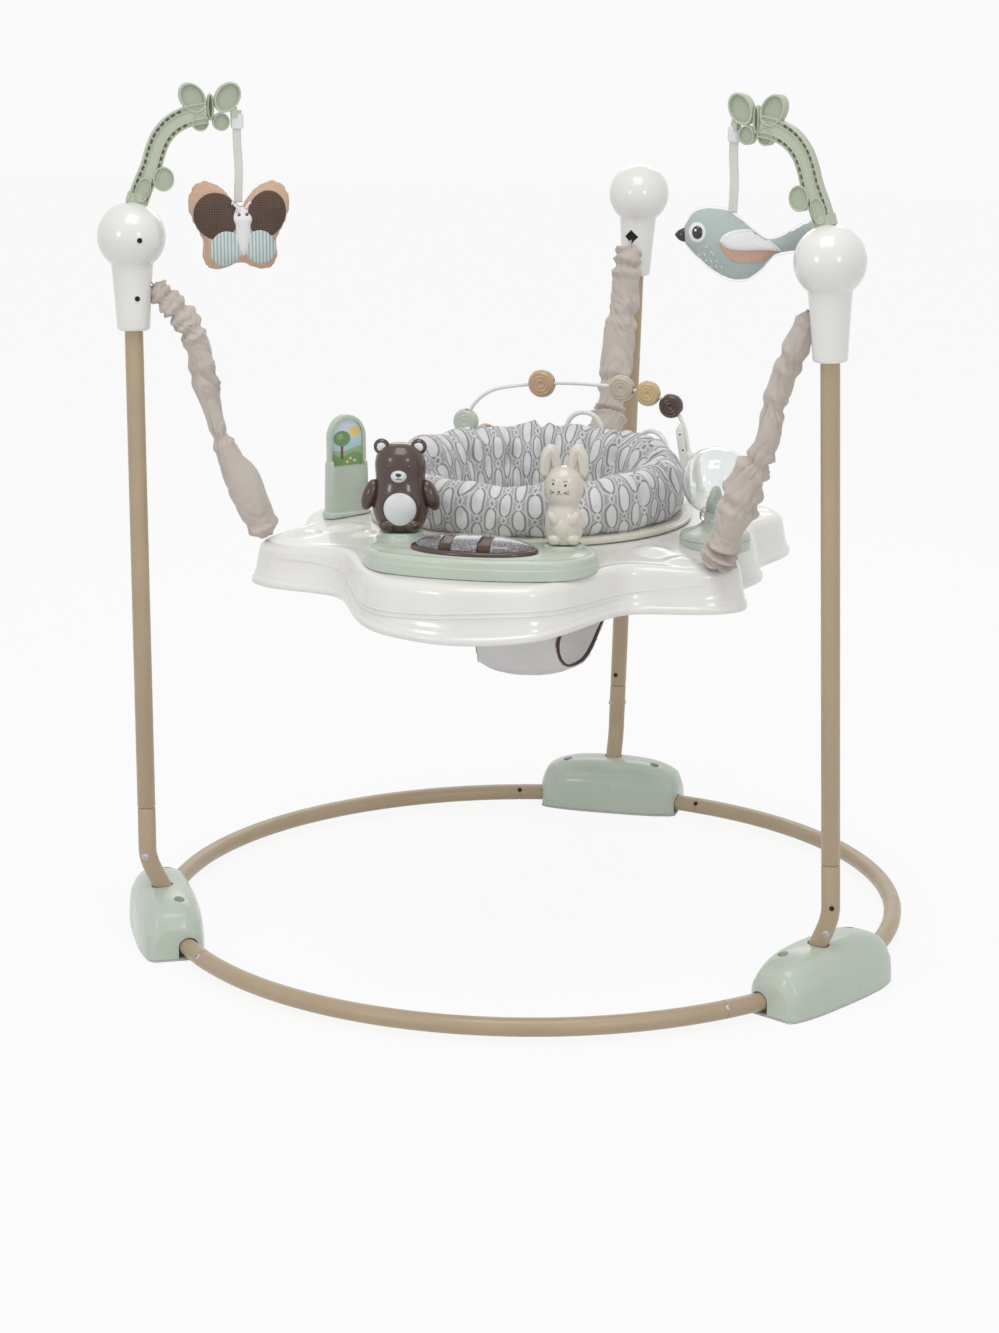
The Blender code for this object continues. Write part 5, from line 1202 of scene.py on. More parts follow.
def make_arches():
    middle = smooth_path(ARCH_LINE, 60)
    half = ARCH_HALF_THICKNESS
    width = ARCH_HALF_WIDTH
    # Across the band: place from its middle, height over its middle plane.
    top = [(-width, half - 0.0006), (-width + 0.0004, half), (-width + 0.0011, half), (-width + 0.0014, half - 0.0005),
           (-width + 0.0015, half - 0.0022), (-width + 0.0046, half - 0.0022), (-width + 0.0047, half - 0.0006),
           (-width + 0.0051, half - 0.0002), (-width + 0.0057, half - 0.0003), (-width + 0.0061, half - 0.0014)]
    top += [(-x, z) for x, z in top[::-1]]
    section = top + [(x, -z) for x, z in top[::-1]]
    rings = []
    slot_lines = []
    for offset in (-width + 0.0031, width - 0.0031):
        slot_lines.append([])
        for point, along, _, _ in path_frames(middle):
            across = Vector((-along.y, along.x, 0))
            slot_lines[-1].append(point - across * offset)
    for point, along, _, _ in path_frames(middle):
        across = Vector((-along.y, along.x, 0))
        rings.append([point - across * x + Vector((0, 0, z)) for x, z in section])
    for side in ARCH_HEADINGS:
        place = arch_place(side)
        bm = skin(rings)
        for lobe in ARCH_LOBES.values():
            cupped(*lobe, bm)
        # The middle body between the four wings: a raised rim round a slot.
        hoop([Vector((x, y, 0)) for x, y in ellipse((0.0843, 0.1290), (0.0026, 0.0125), 36)],
             0.0014, 8, half / 0.0014, bm=bm)
        # Short stub that seats in the ball.
        block((0.0150, 0.0110, 2 * half - 0.0012), (0.0040, 0.0385, 0), Matrix.Rotation(math.radians(-18), 3, "Z"),
              bm=bm)
        # Strap bar behind the outer tail, which the ribbon hangs from.
        block((0.0060, 0.0105, 2 * half - 0.0016), (0.1085, 0.1235, 0), bm=bm)
        arch = to_object(f"toy_arch_{side}_moulding", bm, [SAGE_SATIN, SAGE_CUP_SHADE], place)
        stands_for(arch, f"toy_arch_{side}")
        lines = []
        for face in (1, -1):
            way = (place.to_3x3() @ Vector((0, 0, face))).normalized()
            for line in slot_lines:
                points = [place @ (p + Vector((0, 0, face * (half - 0.00216)))) for p in line[4:-12]]
                lines.append([(p, way) for p in points])
        # Dark dashes on the groove floors are painted shade in the slots.
        dashes = along_lines(f"toy_arch_{side}_slots", lines, SLOT, 0.0066, (0.0044, 0.0025, 0.0004), SAGE_SLOT_SHADE)
        goes_with(dashes, f"toy_arch_{side}")
        # A dark sage fill in the body's slot is painted shade.
        bm = skin([[Vector((x, y, z)) for x, y in ellipse((0.0843, 0.1290), (0.0017, 0.0116), 24)]
                   for z in (-0.0022, 0.0022)])
        goes_with(to_object(f"toy_arch_{side}_body_slot", bm, SAGE_SLOT_SHADE, place), f"toy_arch_{side}")


# ---- Springs and sleeves

SLEEVES = {
    "left": [(0.0208, 0.7040, 0.0080), (0.030, 0.6925, 0.0120), (0.045, 0.6770, 0.0125), (0.057, 0.6570, 0.0135),
             (0.0645, 0.6340, 0.0130), (0.071, 0.5990, 0.0130), (0.082, 0.5520, 0.0080), (0.092, 0.5250, 0.0130),
             (0.105, 0.4990, 0.0190), (0.117, 0.4690, 0.0180), (0.129, 0.4395, 0.0135)],
    "right": [(0.0208, 0.7035, 0.0085), (0.033, 0.6780, 0.0125), (0.047, 0.6490, 0.0130), (0.060, 0.6180, 0.0120),
              (0.067, 0.5820, 0.0120), (0.078, 0.5560, 0.0135), (0.093, 0.5320, 0.0170), (0.105, 0.5040, 0.0190),
              (0.114, 0.4800, 0.0160), (0.120, 0.4640, 0.0160), (0.126, 0.4500, 0.0200), (0.129, 0.4395, 0.0165)],
    "back": [(0.0235, 0.6920, 0.0105), (0.034, 0.6700, 0.0150), (0.040, 0.6330, 0.0170), (0.052, 0.5870, 0.0180),
             (0.061, 0.5530, 0.0190), (0.075, 0.5190, 0.0150), (0.086, 0.4970, 0.0185), (0.108, 0.4680, 0.0165),
             (0.129, 0.4395, 0.0100)]}
SLEEVE_SPAN = 0.129


def sleeve_path(side, count):
    start, way, span = strap_axes(side)
    flat = smooth_path([Vector((u * span / SLEEVE_SPAN, h, r)) for u, h, r in SLEEVES[side]], count)
    path = [Vector((start.x, start.y, p.y)) + way * p.x for p in flat]
    return path, [p.z for p in flat]


# Along each sleeve: where the cloth is drawn tight round the spring, and how hard.
GATHERS = {"left": ((0.0, 0.6), (0.11, 0.34), (0.20, 0.42), (0.30, 0.30), (0.47, 0.18), (0.62, 0.30), (1.0, 0.5)),
           "right": ((0.0, 0.6), (0.16, 0.32), (0.30, 0.22), (0.47, 0.34), (0.62, 0.26), (0.86, 0.42), (1.0, 0.5)),
           "back": ((0.0, 0.6), (0.12, 0.40), (0.30, 0.20), (0.55, 0.24), (0.70, 0.36), (0.84, 0.30), (1.0, 0.5))}
FOLD_SEEDS = {"left": 3.0, "right": 17.0, "back": 29.0}


def fold(turn, share, seed, length, gathered):
    """How far the cloth stands in or out: soft slanting folds, and short sharp ones by a gather."""
    x, y, z = math.cos(turn), math.sin(turn), share * length
    wave = 0.0
    for scale, amount in ((0.55, 0.34), (1.0, 0.12 + 0.46 * gathered), (2.2, 0.02 + 0.30 * gathered)):
        slant = z * 52 + 1.1 * math.sin(turn + seed + 9 * share)
        value = noise.noise(Vector((x * scale * 0.8 + seed, y * scale * 0.8, slant * scale)))
        wave += amount * (min(abs(value) * 2.4, 1.0) ** 0.7 - 0.58)
    return wave


def make_sleeves():
    rows, sides = 300, 84
    for side in POST_ANGLES:
        path, radii = sleeve_path(side, rows)
        length = sum((b - a).length for a, b in zip(path, path[1:]))
        frames = path_frames(path)
        bm = bmesh.new()
        uv = bm.loops.layers.uv.new("cloth")
        rings = []
        for k, ((point, along, across, over), radius) in enumerate(zip(frames, radii)):
            share = k / (rows - 1)
            pinch = max(amount * math.exp(-((share - place) / 0.014) ** 2) for place, amount in GATHERS[side])
            # The cloth stands out in a frill just before and after a gather.
            frill = max(amount * math.exp(-((abs(share - place) - 0.030) / 0.015) ** 2)
                        for place, amount in GATHERS[side])
            gathered = max(math.exp(-((share - place) / 0.065) ** 2) for place, _ in GATHERS[side])
            ring = []
            for i in range(sides):
                turn = 2 * math.pi * i / sides
                wave = fold(turn, share, FOLD_SEEDS[side], length, gathered)
                # Gathers run aslant, so a crease isn't a flat ring.
                slant = 1 - pinch * (0.75 + 0.25 * math.cos(turn * 2 + share * 9))
                reach = radius * (0.96 + 0.41 * wave) * slant
                reach *= 1 + 0.07 * math.sin(8 * turn + 14 * share) * ease(pinch * 2)
                reach *= 1 + 0.62 * frill * (0.55 + 0.45 * math.cos(turn * 2 + FOLD_SEEDS[side] + 9 * share))
                ring.append(bm.verts.new(point + reach * (math.cos(turn) * across + math.sin(turn) * over)
                                         + along * (0.0024 * wave * math.cos(3 * turn + 20 * share))))
            rings.append(ring)
        girth = 2 * math.pi * 0.016
        for k in range(rows - 1):
            for i in range(sides):
                j = (i + 1) % sides
                face = bm.faces.new((rings[k][i], rings[k][j], rings[k + 1][j], rings[k + 1][i]))
                for loop, (u, v) in zip(face.loops, ((i, k), (i + 1, k), (i + 1, k + 1), (i, k + 1))):
                    loop[uv].uv = (u / sides * girth, v / rows * length * 1.5)
        sleeve = to_object(f"sleeve_{side}_cloth", bm, LINEN, sharp=80)
        hem = sleeve.modifiers.new("cloth_thickness", "SOLIDIFY")
        hem.thickness = 0.0011
        hem.offset = -1
        settle(sleeve)
        start, _, _ = strap_axes(side)
        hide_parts(f"sleeve_{side}")
        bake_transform(sleeve)


def make_springs():
    for side in POST_ANGLES:
        count = 90
        line, _ = sleeve_path(side, count)
        frames = path_frames(line)
        first, last = int(0.16 * count), int(0.50 * count)
        points = [line[0] + (line[0] - line[2]).normalized() * 0.010]
        points += [line[k] for k in range(0, first - 3, 3)]
        turns = 9
        steps = 20
        for k in range(turns * steps + 1):
            place = first + (last - first) * k / (turns * steps)
            i = min(int(place), count - 2)
            t = place - i
            point = line[i].lerp(line[i + 1], t)
            across = frames[i][2].lerp(frames[i + 1][2], t)
            over = frames[i][3].lerp(frames[i + 1][3], t)
            grow = ease(k / steps) * ease((turns * steps - k) / steps)
            turn = 2 * math.pi * k / steps
            points.append(point + 0.0060 * grow * (math.cos(turn) * across + math.sin(turn) * over))
        points += [line[k] for k in range(last + 3, count - 2, 4)]
        points.append(line[-1])
        spring = to_object(f"spring_{side}_wire", sweep(points, [0.0009] * len(points), 8), STEEL)
        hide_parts(f"spring_{side}")
        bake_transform(spring)


# ---- Shapes laid on others

def surface_of(bm):
    """Finds a point of this shape's front or back, seen along y."""
    bm.verts.ensure_lookup_table()
    tree = BVHTree.FromBMesh(bm)

    def find(x, z, side=-1):
        hit = tree.ray_cast(Vector((x, side * 0.2, z)), Vector((0, -side, 0)))
        return hit[0] if hit[0] else tree.find_nearest(Vector((x, side * 0.05, z)))[0]

    return find


def patch(find, outline, rows, bm, finish, side=-1, middle=None):
    """A thin shape that lies on a surface. Rows hold a share of the outline and a lift off the surface."""
    if middle is None:
        middle = (sum(x for x, _ in outline) / len(outline), sum(z for _, z in outline) / len(outline))
    rings = []
    for share, lift in rows:
        ring = []
        for x, z in outline:
            spot = find(middle[0] + (x - middle[0]) * share, middle[1] + (z - middle[1]) * share, side)
            ring.append(spot + Vector((0, side * lift, 0)))
        rings.append(ring)
    return skin(rings, bm=bm, finish=finish)


def flat_rows(lift, steps=8):
    """A patch of cloth of even thickness with a turned edge."""
    rows = [(max(k / steps, 1e-3) * 0.97, lift) for k in range(steps + 1)]
    return rows + [(0.99, lift * 0.75), (1.0, lift * 0.2), (1.0, -0.0015)]


def domed_rows(height, steps=8):
    rows = []
    for k in range(steps + 1):
        turn = math.pi / 2 * k / steps
        rows.append((max(math.sin(turn), 1e-3), height * math.cos(turn)))
    return rows + [(1.0, -0.002)]


def flat_map(bm):
    """UV in metres, from x and z."""
    layer = bm.loops.layers.uv.verify()
    for face in bm.faces:
        for loop in face.loops:
            loop[layer].uv = (loop.vert.co.x, loop.vert.co.z)
    return bm


def line_on(find, points, lift, side=-1):
    return [find(x, z, side) + Vector((0, side * lift, 0)) for x, z in points]


def as_places(points, side=-1):
    return [(point, Vector((0, side, 0))) for point in points]


def puffed(bm, voxel, reach, pressure=4.0):
    """A cover blown up from inside, as stuffing does. No point moves further than reach."""
    piece = helper_shape("stuffed_cover", bm)
    step = piece.modifiers.new("even_cloth", "REMESH")
    step.mode = "VOXEL"
    step.voxel_size = voxel
    settle(piece)
    rest = [vert.co.copy() for vert in piece.data.vertices]
    step = piece.modifiers.new("stuffing", "CLOTH")
    step.settings.use_pressure = True
    step.settings.uniform_pressure_force = pressure
    step.settings.effector_weights.gravity = 0.0
    for number in range(1, 21):
        bpy.context.scene.frame_set(number)
    settle(piece)
    bpy.context.scene.frame_set(1)
    for vert, old in zip(piece.data.vertices, rest):
        move = vert.co - old
        if move.length > reach:
            vert.co = old + move * (reach / move.length)
    settle(subdivide(piece))
    cover = bmesh.new()
    cover.from_mesh(piece.data)
    bpy.data.objects.remove(piece)
    return cover


def moved(bm, place):
    bmesh.ops.transform(bm, matrix=place, verts=bm.verts)
    return bm


# ---- Tray

TRAY_OUTLINE = [(0, 0.318), (12, 0.316), (37, 0.258), (58, 0.307), (73, 0.252), (86, 0.256), (98, 0.246),
                (121, 0.295), (150, 0.272), (180, 0.298)]
# Raised pebbles on the deck: angle, radius of the place, half length, height
PEBBLES = [(209.9, 0.205, 0.022, 0.0035), (222.0, 0.199, 0.015, 0.0028), (320.6, 0.211, 0.022, 0.0038),
           (321.8, 0.252, 0.018, 0.0034), (211.0, 0.247, 0.018, 0.0032), (148.0, 0.215, 0.022, 0.0034),
           (36.0, 0.222, 0.022, 0.0034), (28.0, 0.262, 0.016, 0.0030), (152.0, 0.256, 0.016, 0.0030)]


def from_front(angle):
    return abs((angle - 270 + 180) % 360 - 180)


def lip_height(angle):
    lip = RIM_HEIGHT - 0.055
    if from_front(angle) > 37:
        return lip
    return lip - 0.015 * (1 + math.cos(math.pi * from_front(angle) / 37)) / 2


def pebble_rise(angle, radius):
    point = around(angle, radius)
    rise = 0.0
    for turn, reach, half, height in PEBBLES:
        away = (point - around(turn, reach)).length / half
        if away < 1:
            rise += 1.45 * height * (1 - away * away) ** 1.3
    return rise


def tray_rows(angle):
    """Radius and height round the tray's wall: the well's collar, the deck, the edge, the lip and back."""
    outline = table_value(TRAY_OUTLINE, from_front(angle))
    edge = outline - 0.0085
    lip = lip_height(angle)
    level = RIM_HEIGHT
    rows = [(WELL_RADIUS, level - 0.019), (WELL_RADIUS, level - 0.002), (WELL_RADIUS + 0.0006, level - 0.0007),
            (WELL_RADIUS + 0.002, level)]
    inner_end = edge - 0.011
    for k in range(1, 25):
        radius = WELL_RADIUS + 0.002 + (inner_end - WELL_RADIUS - 0.002) * k / 24
        height = deck_height(radius, 0) + pebble_rise(angle, radius)
        # A shallow groove runs along the deck's edge.
        height -= 0.0008 * math.exp(-((edge - 0.0175 - radius) / 0.0016) ** 2)
        rows.append((radius, height))
    base = deck_height(inner_end, 0)
    for k in range(1, 9):
        turn = math.pi / 2 * k / 8
        rows.append((inner_end + 0.011 * math.sin(turn), base - 0.011 * (1 - math.cos(turn)) - 0.0005 * k / 8))
    top = rows[-1][1]
    low = lip + 0.0125
    rows += [(edge + 0.0016, top - 0.3 * (top - low)), (edge + 0.0030, top - 0.65 * (top - low)),
             (edge + 0.0040, low + 0.0008), (edge + 0.0048, low), (edge + 0.0052, low - 0.0012),
             (edge + 0.0056, lip + 0.0085), (edge + 0.0066, lip + 0.0072), (outline - 0.0007, lip + 0.0064),
             (outline, lip + 0.0052), (outline, lip + 0.0010), (outline - 0.0008, lip),
             (outline - 0.0022, lip), (outline - 0.003, lip + 0.0010), (edge + 0.002, lip + 0.009),
             (edge - 0.003, deck_height(edge, 0) - 0.012), (inner_end, deck_height(inner_end, 0) - 0.003),
             (WELL_RADIUS + 0.003, level - 0.0031), (WELL_RADIUS + 0.003, level - 0.019)]
    return rows


def wall_point(angle, height):
    """A point on the tray's outer wall."""
    rows = tray_rows(angle)[36:44]
    for (r1, z1), (r2, z2) in zip(rows, rows[1:]):
        if z2 <= height <= z1:
            return around(angle, r1 + (r2 - r1) * (z1 - height) / (z1 - z2), height)
    return around(angle, rows[0][0], height)


def make_tray():
    columns = 400
    rings = []
    for k in range(columns):
        angle = 360 * k / columns
        rings.append([around(angle, radius, height) for radius, height in tray_rows(angle)])
    bm = skin(rings, closed=True)
    # A raised wave runs along the front wall from lobe to lobe.
    for shift, span in ((0.0, 52), (0.0045, 36)):
        path = []
        for k in range(121):
            angle = 270 + span * (2 * k / 120 - 1)
            height = lip_height(angle) + 0.0265 - shift + 0.0055 * math.sin(math.radians((angle - 262) * 6.5))
            path.append(wall_point(angle, min(height, 0.4235)))
        fade = [max(math.sin(math.pi * k / 120), 0.02) ** 0.5 for k in range(121)]
        sweep(path, [0.0010 * f for f in fade], 8, bm=bm)
    # The battery box under the deck, and ribs out from the well's collar.
    x, y = 0.003, -0.237
    top = deck_height(x, y) - 0.002
    corners = []
    for half_x, half_y in ((0.038, 0.021), (0.035, 0.018)):
        for z in ((0.408, top) if half_x > 0.036 else (top, 0.408)):
            corners.append([Vector((x + sx * half_x, y + sy * half_y, z)) for sx, sy in
                            ((-1, -1), (1, -1), (1, 1), (-1, 1))])
    skin(corners, closed=True, bm=bm)
    for angle in range(0, 360, 24):
        if from_front(angle) < 36:
            continue
        reach = table_value(TRAY_OUTLINE, from_front(angle)) - 0.030
        low = RIM_HEIGHT - 0.013
        mid = (WELL_RADIUS + 0.003 + reach) / 2
        turn = Matrix.Rotation(math.radians(angle), 3, "Z") @ Matrix.Rotation(math.atan(DECK_SLOPE), 3, "Y")
        block((reach - WELL_RADIUS, 0.0018, 0.012), around(angle, mid, low - DECK_SLOPE * (mid - WELL_RADIUS)),
              turn, bm=bm)
    stands_for(to_object("tray_moulding", bm, WHITE, sharp=55), "tray")


# ---- Console and keys

CONSOLE_TOP = RIM_HEIGHT + 0.0095
CONSOLE_CIRCLE = 0.234
CONSOLE_MIDDLE = 271.5
KEYBOARD = (0.003, -0.237)
KEYBOARD_HALF = (0.0600, 0.0275)
KEY_GAPS = (-0.024, 0.016)
BEAR_SPOT = around(246.5, 0.215)
BUNNY_SPOT = around(293.5, 0.213)
FIGURE_TURN = math.radians(283.0 + 90)
COLLARS = {"bear": (BEAR_SPOT, 0.0225, 0.4642), "bunny": (BUNNY_SPOT, 0.0175, 0.4588)}


def bean(offset, count=44):
    """The console's outline: an arc-shaped bar with round ends."""
    half = 0.053 + offset
    points = []
    for k in range(count):
        points.append(around(CONSOLE_MIDDLE - 16.7 + 33.4 * k / (count - 1), CONSOLE_CIRCLE + half))
    for end in (1, -1):
        middle = around(CONSOLE_MIDDLE + end * 16.7, CONSOLE_CIRCLE)
        first = CONSOLE_MIDDLE + end * 16.7 + (0 if end > 0 else -180)
        points += [middle + heading(first + 180 * k / 28) * half for k in range(1, 28)]
        if end > 0:
            for k in range(count):
                points.append(around(CONSOLE_MIDDLE + 16.7 - 33.4 * k / (count - 1), CONSOLE_CIRCLE - half))
    return points


def make_console():
    top = CONSOLE_TOP
    levels = [(0.0, None), (0.0, top - 0.0095), (-0.0007, top - 0.0090), (-0.0009, top - 0.0082),
              (-0.0009, top - 0.0048)]
    for k in range(1, 7):
        turn = math.pi / 2 * k / 6
        levels.append((-0.0009 - 0.0042 * (1 - math.cos(turn)), top - 0.0048 + 0.0048 * math.sin(turn)))
    levels += [(-0.0085, top), (-0.0091, top - 0.0005), (-0.0100, top - 0.0005), (-0.0106, top)]
    rings = []
    for offset, height in levels:
        rings.append([Vector((p.x, p.y, deck_height(p.x, p.y) + 0.0009 if height is None else height))
                      for p in bean(offset)])
    bm = skin(rings)
    for spot, radius, high in COLLARS.values():
        profile = [(radius + 0.0030, top - 0.004), (radius + 0.0030, top + 0.0008), (radius + 0.0026, top + 0.0015),
                   (radius + 0.0012, top + 0.0019), (radius + 0.0004, top + 0.0022), (radius, top + 0.0028),
                   (radius, high - 0.0016), (radius - 0.0004, high - 0.0006), (radius - 0.0013, high),
                   (radius - 0.0050, high), (radius - 0.0056, high - 0.0007), (0, high - 0.0007)]
        lathe([(0, top - 0.004)] + profile, 64, Matrix.Translation(spot), bm=bm)
    stands_for(to_object("console_moulding", bm, SAGE, sharp=42), "console_housing")

    base = top + GAP
    half = KEYBOARD_HALF
    rows = [(0.0060, base), (0.0060, base + 0.0014), (0.0056, base + 0.0027), (0.0046, base + 0.0037),
            (0.0033, base + 0.0040), (0.0014, base + 0.0040), (0.0007, base + 0.0036), (0.0005, base + 0.0028),
            (0.0005, base)]
    rings = [[Vector((x, y, z)) for x, y in ellipse(KEYBOARD, (half[0] + grow, half[1] + grow), 96)]
             for grow, z in rows]
    stands_for(to_object("keyboard_frame", skin(rings, closed=True), BROWN), "keyboard_bezel")
    x0, y0 = KEYBOARD
    edges = [-half[0] - 0.01, x0 + KEY_GAPS[0], x0 + KEY_GAPS[1], half[0] + 0.02]
    dark_y = y0 - half[1] + 0.0125 + 0.0015
    for name, low, high in zip(("key_left", "key_middle", "key_right"), edges, edges[1:]):
        rings = [[Vector((x, y, top - 0.001)) for x, y in ellipse(KEYBOARD, half, 96)]]
        for k in range(13):
            turn = math.radians(88 * k / 12)
            rings.append([Vector((x, y, base + 0.004 + 0.0115 * math.sin(turn) ** 0.9)) for x, y in
                          ellipse(KEYBOARD, (half[0] * math.cos(turn), half[1] * math.cos(turn)), 96)])
        key = to_object(f"{name}_cap", skin(rings), GLITTER)
        slab = to_object("key_slab", block((high - low - 0.0005, 0.10, 0.10), ((low + high) / 2, y0, top)), GLITTER)
        cut(key, [slab], "INTERSECT")
        notches = []
        for place in KEY_GAPS:
            if low - 0.001 <= x0 + place <= high + 0.001:
                size = (0.0125 + 0.001, 0.0250 + 0.001 + 0.02, 0.10)
                notches.append(to_object("key_notch", block(size, (x0 + place, dark_y - 0.010, top)), GLITTER))
        cut(key, notches)
        settle(bevel(key, 0.0005, 2, 40))
        key.data.shade_smooth()
        key.data.set_sharp_from_angle(angle=math.radians(40))
        stands_for(key, name)
    for side in ("left", "right"):
        polished(f"dark_key_{side}_cap", f"dark_key_{side}", BROWN_SATIN, 0.0009, 3)
    polished("battery_door_panel", "battery_door", WHITE, 0.0004)
    polished("circuit_board_panel", "circuit_board", BOARD, 0.0002)
    polished("speaker_basket", "speaker", BLACK, 0.0002)


# ---- Figures

def smooth_profile(points, count=56):
    """A turned shape's profile, smoothed between its points."""
    line = smooth_path([Vector((radius, height, 0)) for radius, height in points], count)
    return [(max(p.x, 0.0), p.y) for p in line]


def figure(bm, spot, finishes, name, node, turn=FIGURE_TURN):
    piece = to_object(name, bm, finishes, Matrix.Translation(spot) @ Matrix.Rotation(turn, 4, "Z"), sharp=60)
    return stands_for(piece, node)


def make_bear():
    low = COLLARS["bear"][2] + 0.0008
    body = [(0.0175, low), (0.0212, low + 0.0022), (0.0258, 0.4760), (0.0295, 0.4910), (0.0280, 0.5060),
            (0.0252, 0.5184), (0.0258, 0.5330), (0.0232, 0.5440), (0.0155, 0.5518)]
    profile = [(0, low)] + smooth_profile(body) + [(0.0100, 0.5539), (0.0050, 0.5548), (0, 0.5550)]
    bm = lathe(profile, 72, squash=0.82)
    find = surface_of(bm.copy())
    for side in (-1, 1):
        lean = Matrix.Rotation(math.radians(-side * 20), 3, "Y")
        ball((0.0080, 0.0095, 0.0168), (side * 0.0308, -0.005, 0.5020), lean, 32, 20, bm=bm)
        ball((0.0083, 0.0046, 0.0083), (side * 0.0188, 0.0, 0.5505), None, 32, 18, bm=bm)
        # Pale disc in the ear, in a raised rim.
        ear = surface_of(ball((0.0083, 0.0046, 0.0083), (side * 0.0188, 0.0, 0.5505), None, 32, 18))
        patch(ear, ellipse((side * 0.0188, 0.5505), (0.0046, 0.0046), 24), domed_rows(0.0006, 5), bm, 1)
        # Feet, hidden but for their round fronts.
        ball((0.0095, 0.0075, 0.0070), (side * 0.0125, -0.0145, low + 0.0075), None, 24, 14, bm=bm)
    patch(find, ellipse((0.0006, 0.4900), (0.0172, 0.0178), 48),
          [(1e-3, 0.0016)] + [(0.1 * k, 0.0016 - 0.0006 * (0.1 * k) ** 2) for k in range(1, 10)]
          + [(0.94, 0.0008), (0.97, 0.0002), (1.0, -0.0010)], bm, 1)
    rim = [find(x, z) + Vector((0, -0.0004, 0)) for x, z in ellipse((0.0006, 0.4900), (0.0180, 0.0186), 48)]
    hoop(rim, 0.0009, 8, up=Vector((0, -1, 0)), bm=bm)
    patch(find, ellipse((-0.0004, 0.5234), (0.0082, 0.0063), 36), domed_rows(0.0048, 8), bm, 1)
    muzzle = [Vector((x, find(x, z).y - 0.0043, z)) for x, z in ((-0.0004, 0.5258),)][0]
    ball((0.0031, 0.0014, 0.0018), muzzle, None, 20, 12, bm=bm, finish=2)
    mouth = [Vector((x, find(x, z).y - 0.0047 + 12 * x * x, z)) for x, z in
             ((-0.0004, 0.5245), (-0.0004, 0.5222), (-0.0018, 0.5210), (-0.0034, 0.5214))]
    sweep(smooth_path(mouth, 16), [0.00035] * 16, 6, bm=bm, finish=2)
    mouth = [Vector((x, find(x, z).y - 0.0047 + 12 * x * x, z)) for x, z in
             ((-0.0004, 0.5222), (0.0010, 0.5210), (0.0026, 0.5214))]
    sweep(smooth_path(mouth, 12), [0.00035] * 12, 6, bm=bm, finish=2)
    for x in (-0.0112, 0.0098):
        patch(find, ellipse((x, 0.5333), (0.0015, 0.0018), 20), domed_rows(0.0006, 4), bm, 2)
        # A small white dot high in each eye is a painted highlight.
        patch(find, ellipse((x + 0.0005, 0.5338), (0.0005, 0.0005), 10), domed_rows(0.0009, 3), bm, 3)
        brow = [find(x + d, 0.5372 + 0.0006 * (1 - abs(d) / 0.002)) + Vector((0, -0.0002, 0))
                for d in (-0.002, -0.001, 0.0, 0.001, 0.002)]
        sweep(brow, [0.0003] * 5, 6, bm=bm, finish=2)
    figure(bm, BEAR_SPOT, [BROWN, PALE_GREY, INK, EYE_HIGHLIGHT], "bear_figure", "bear")


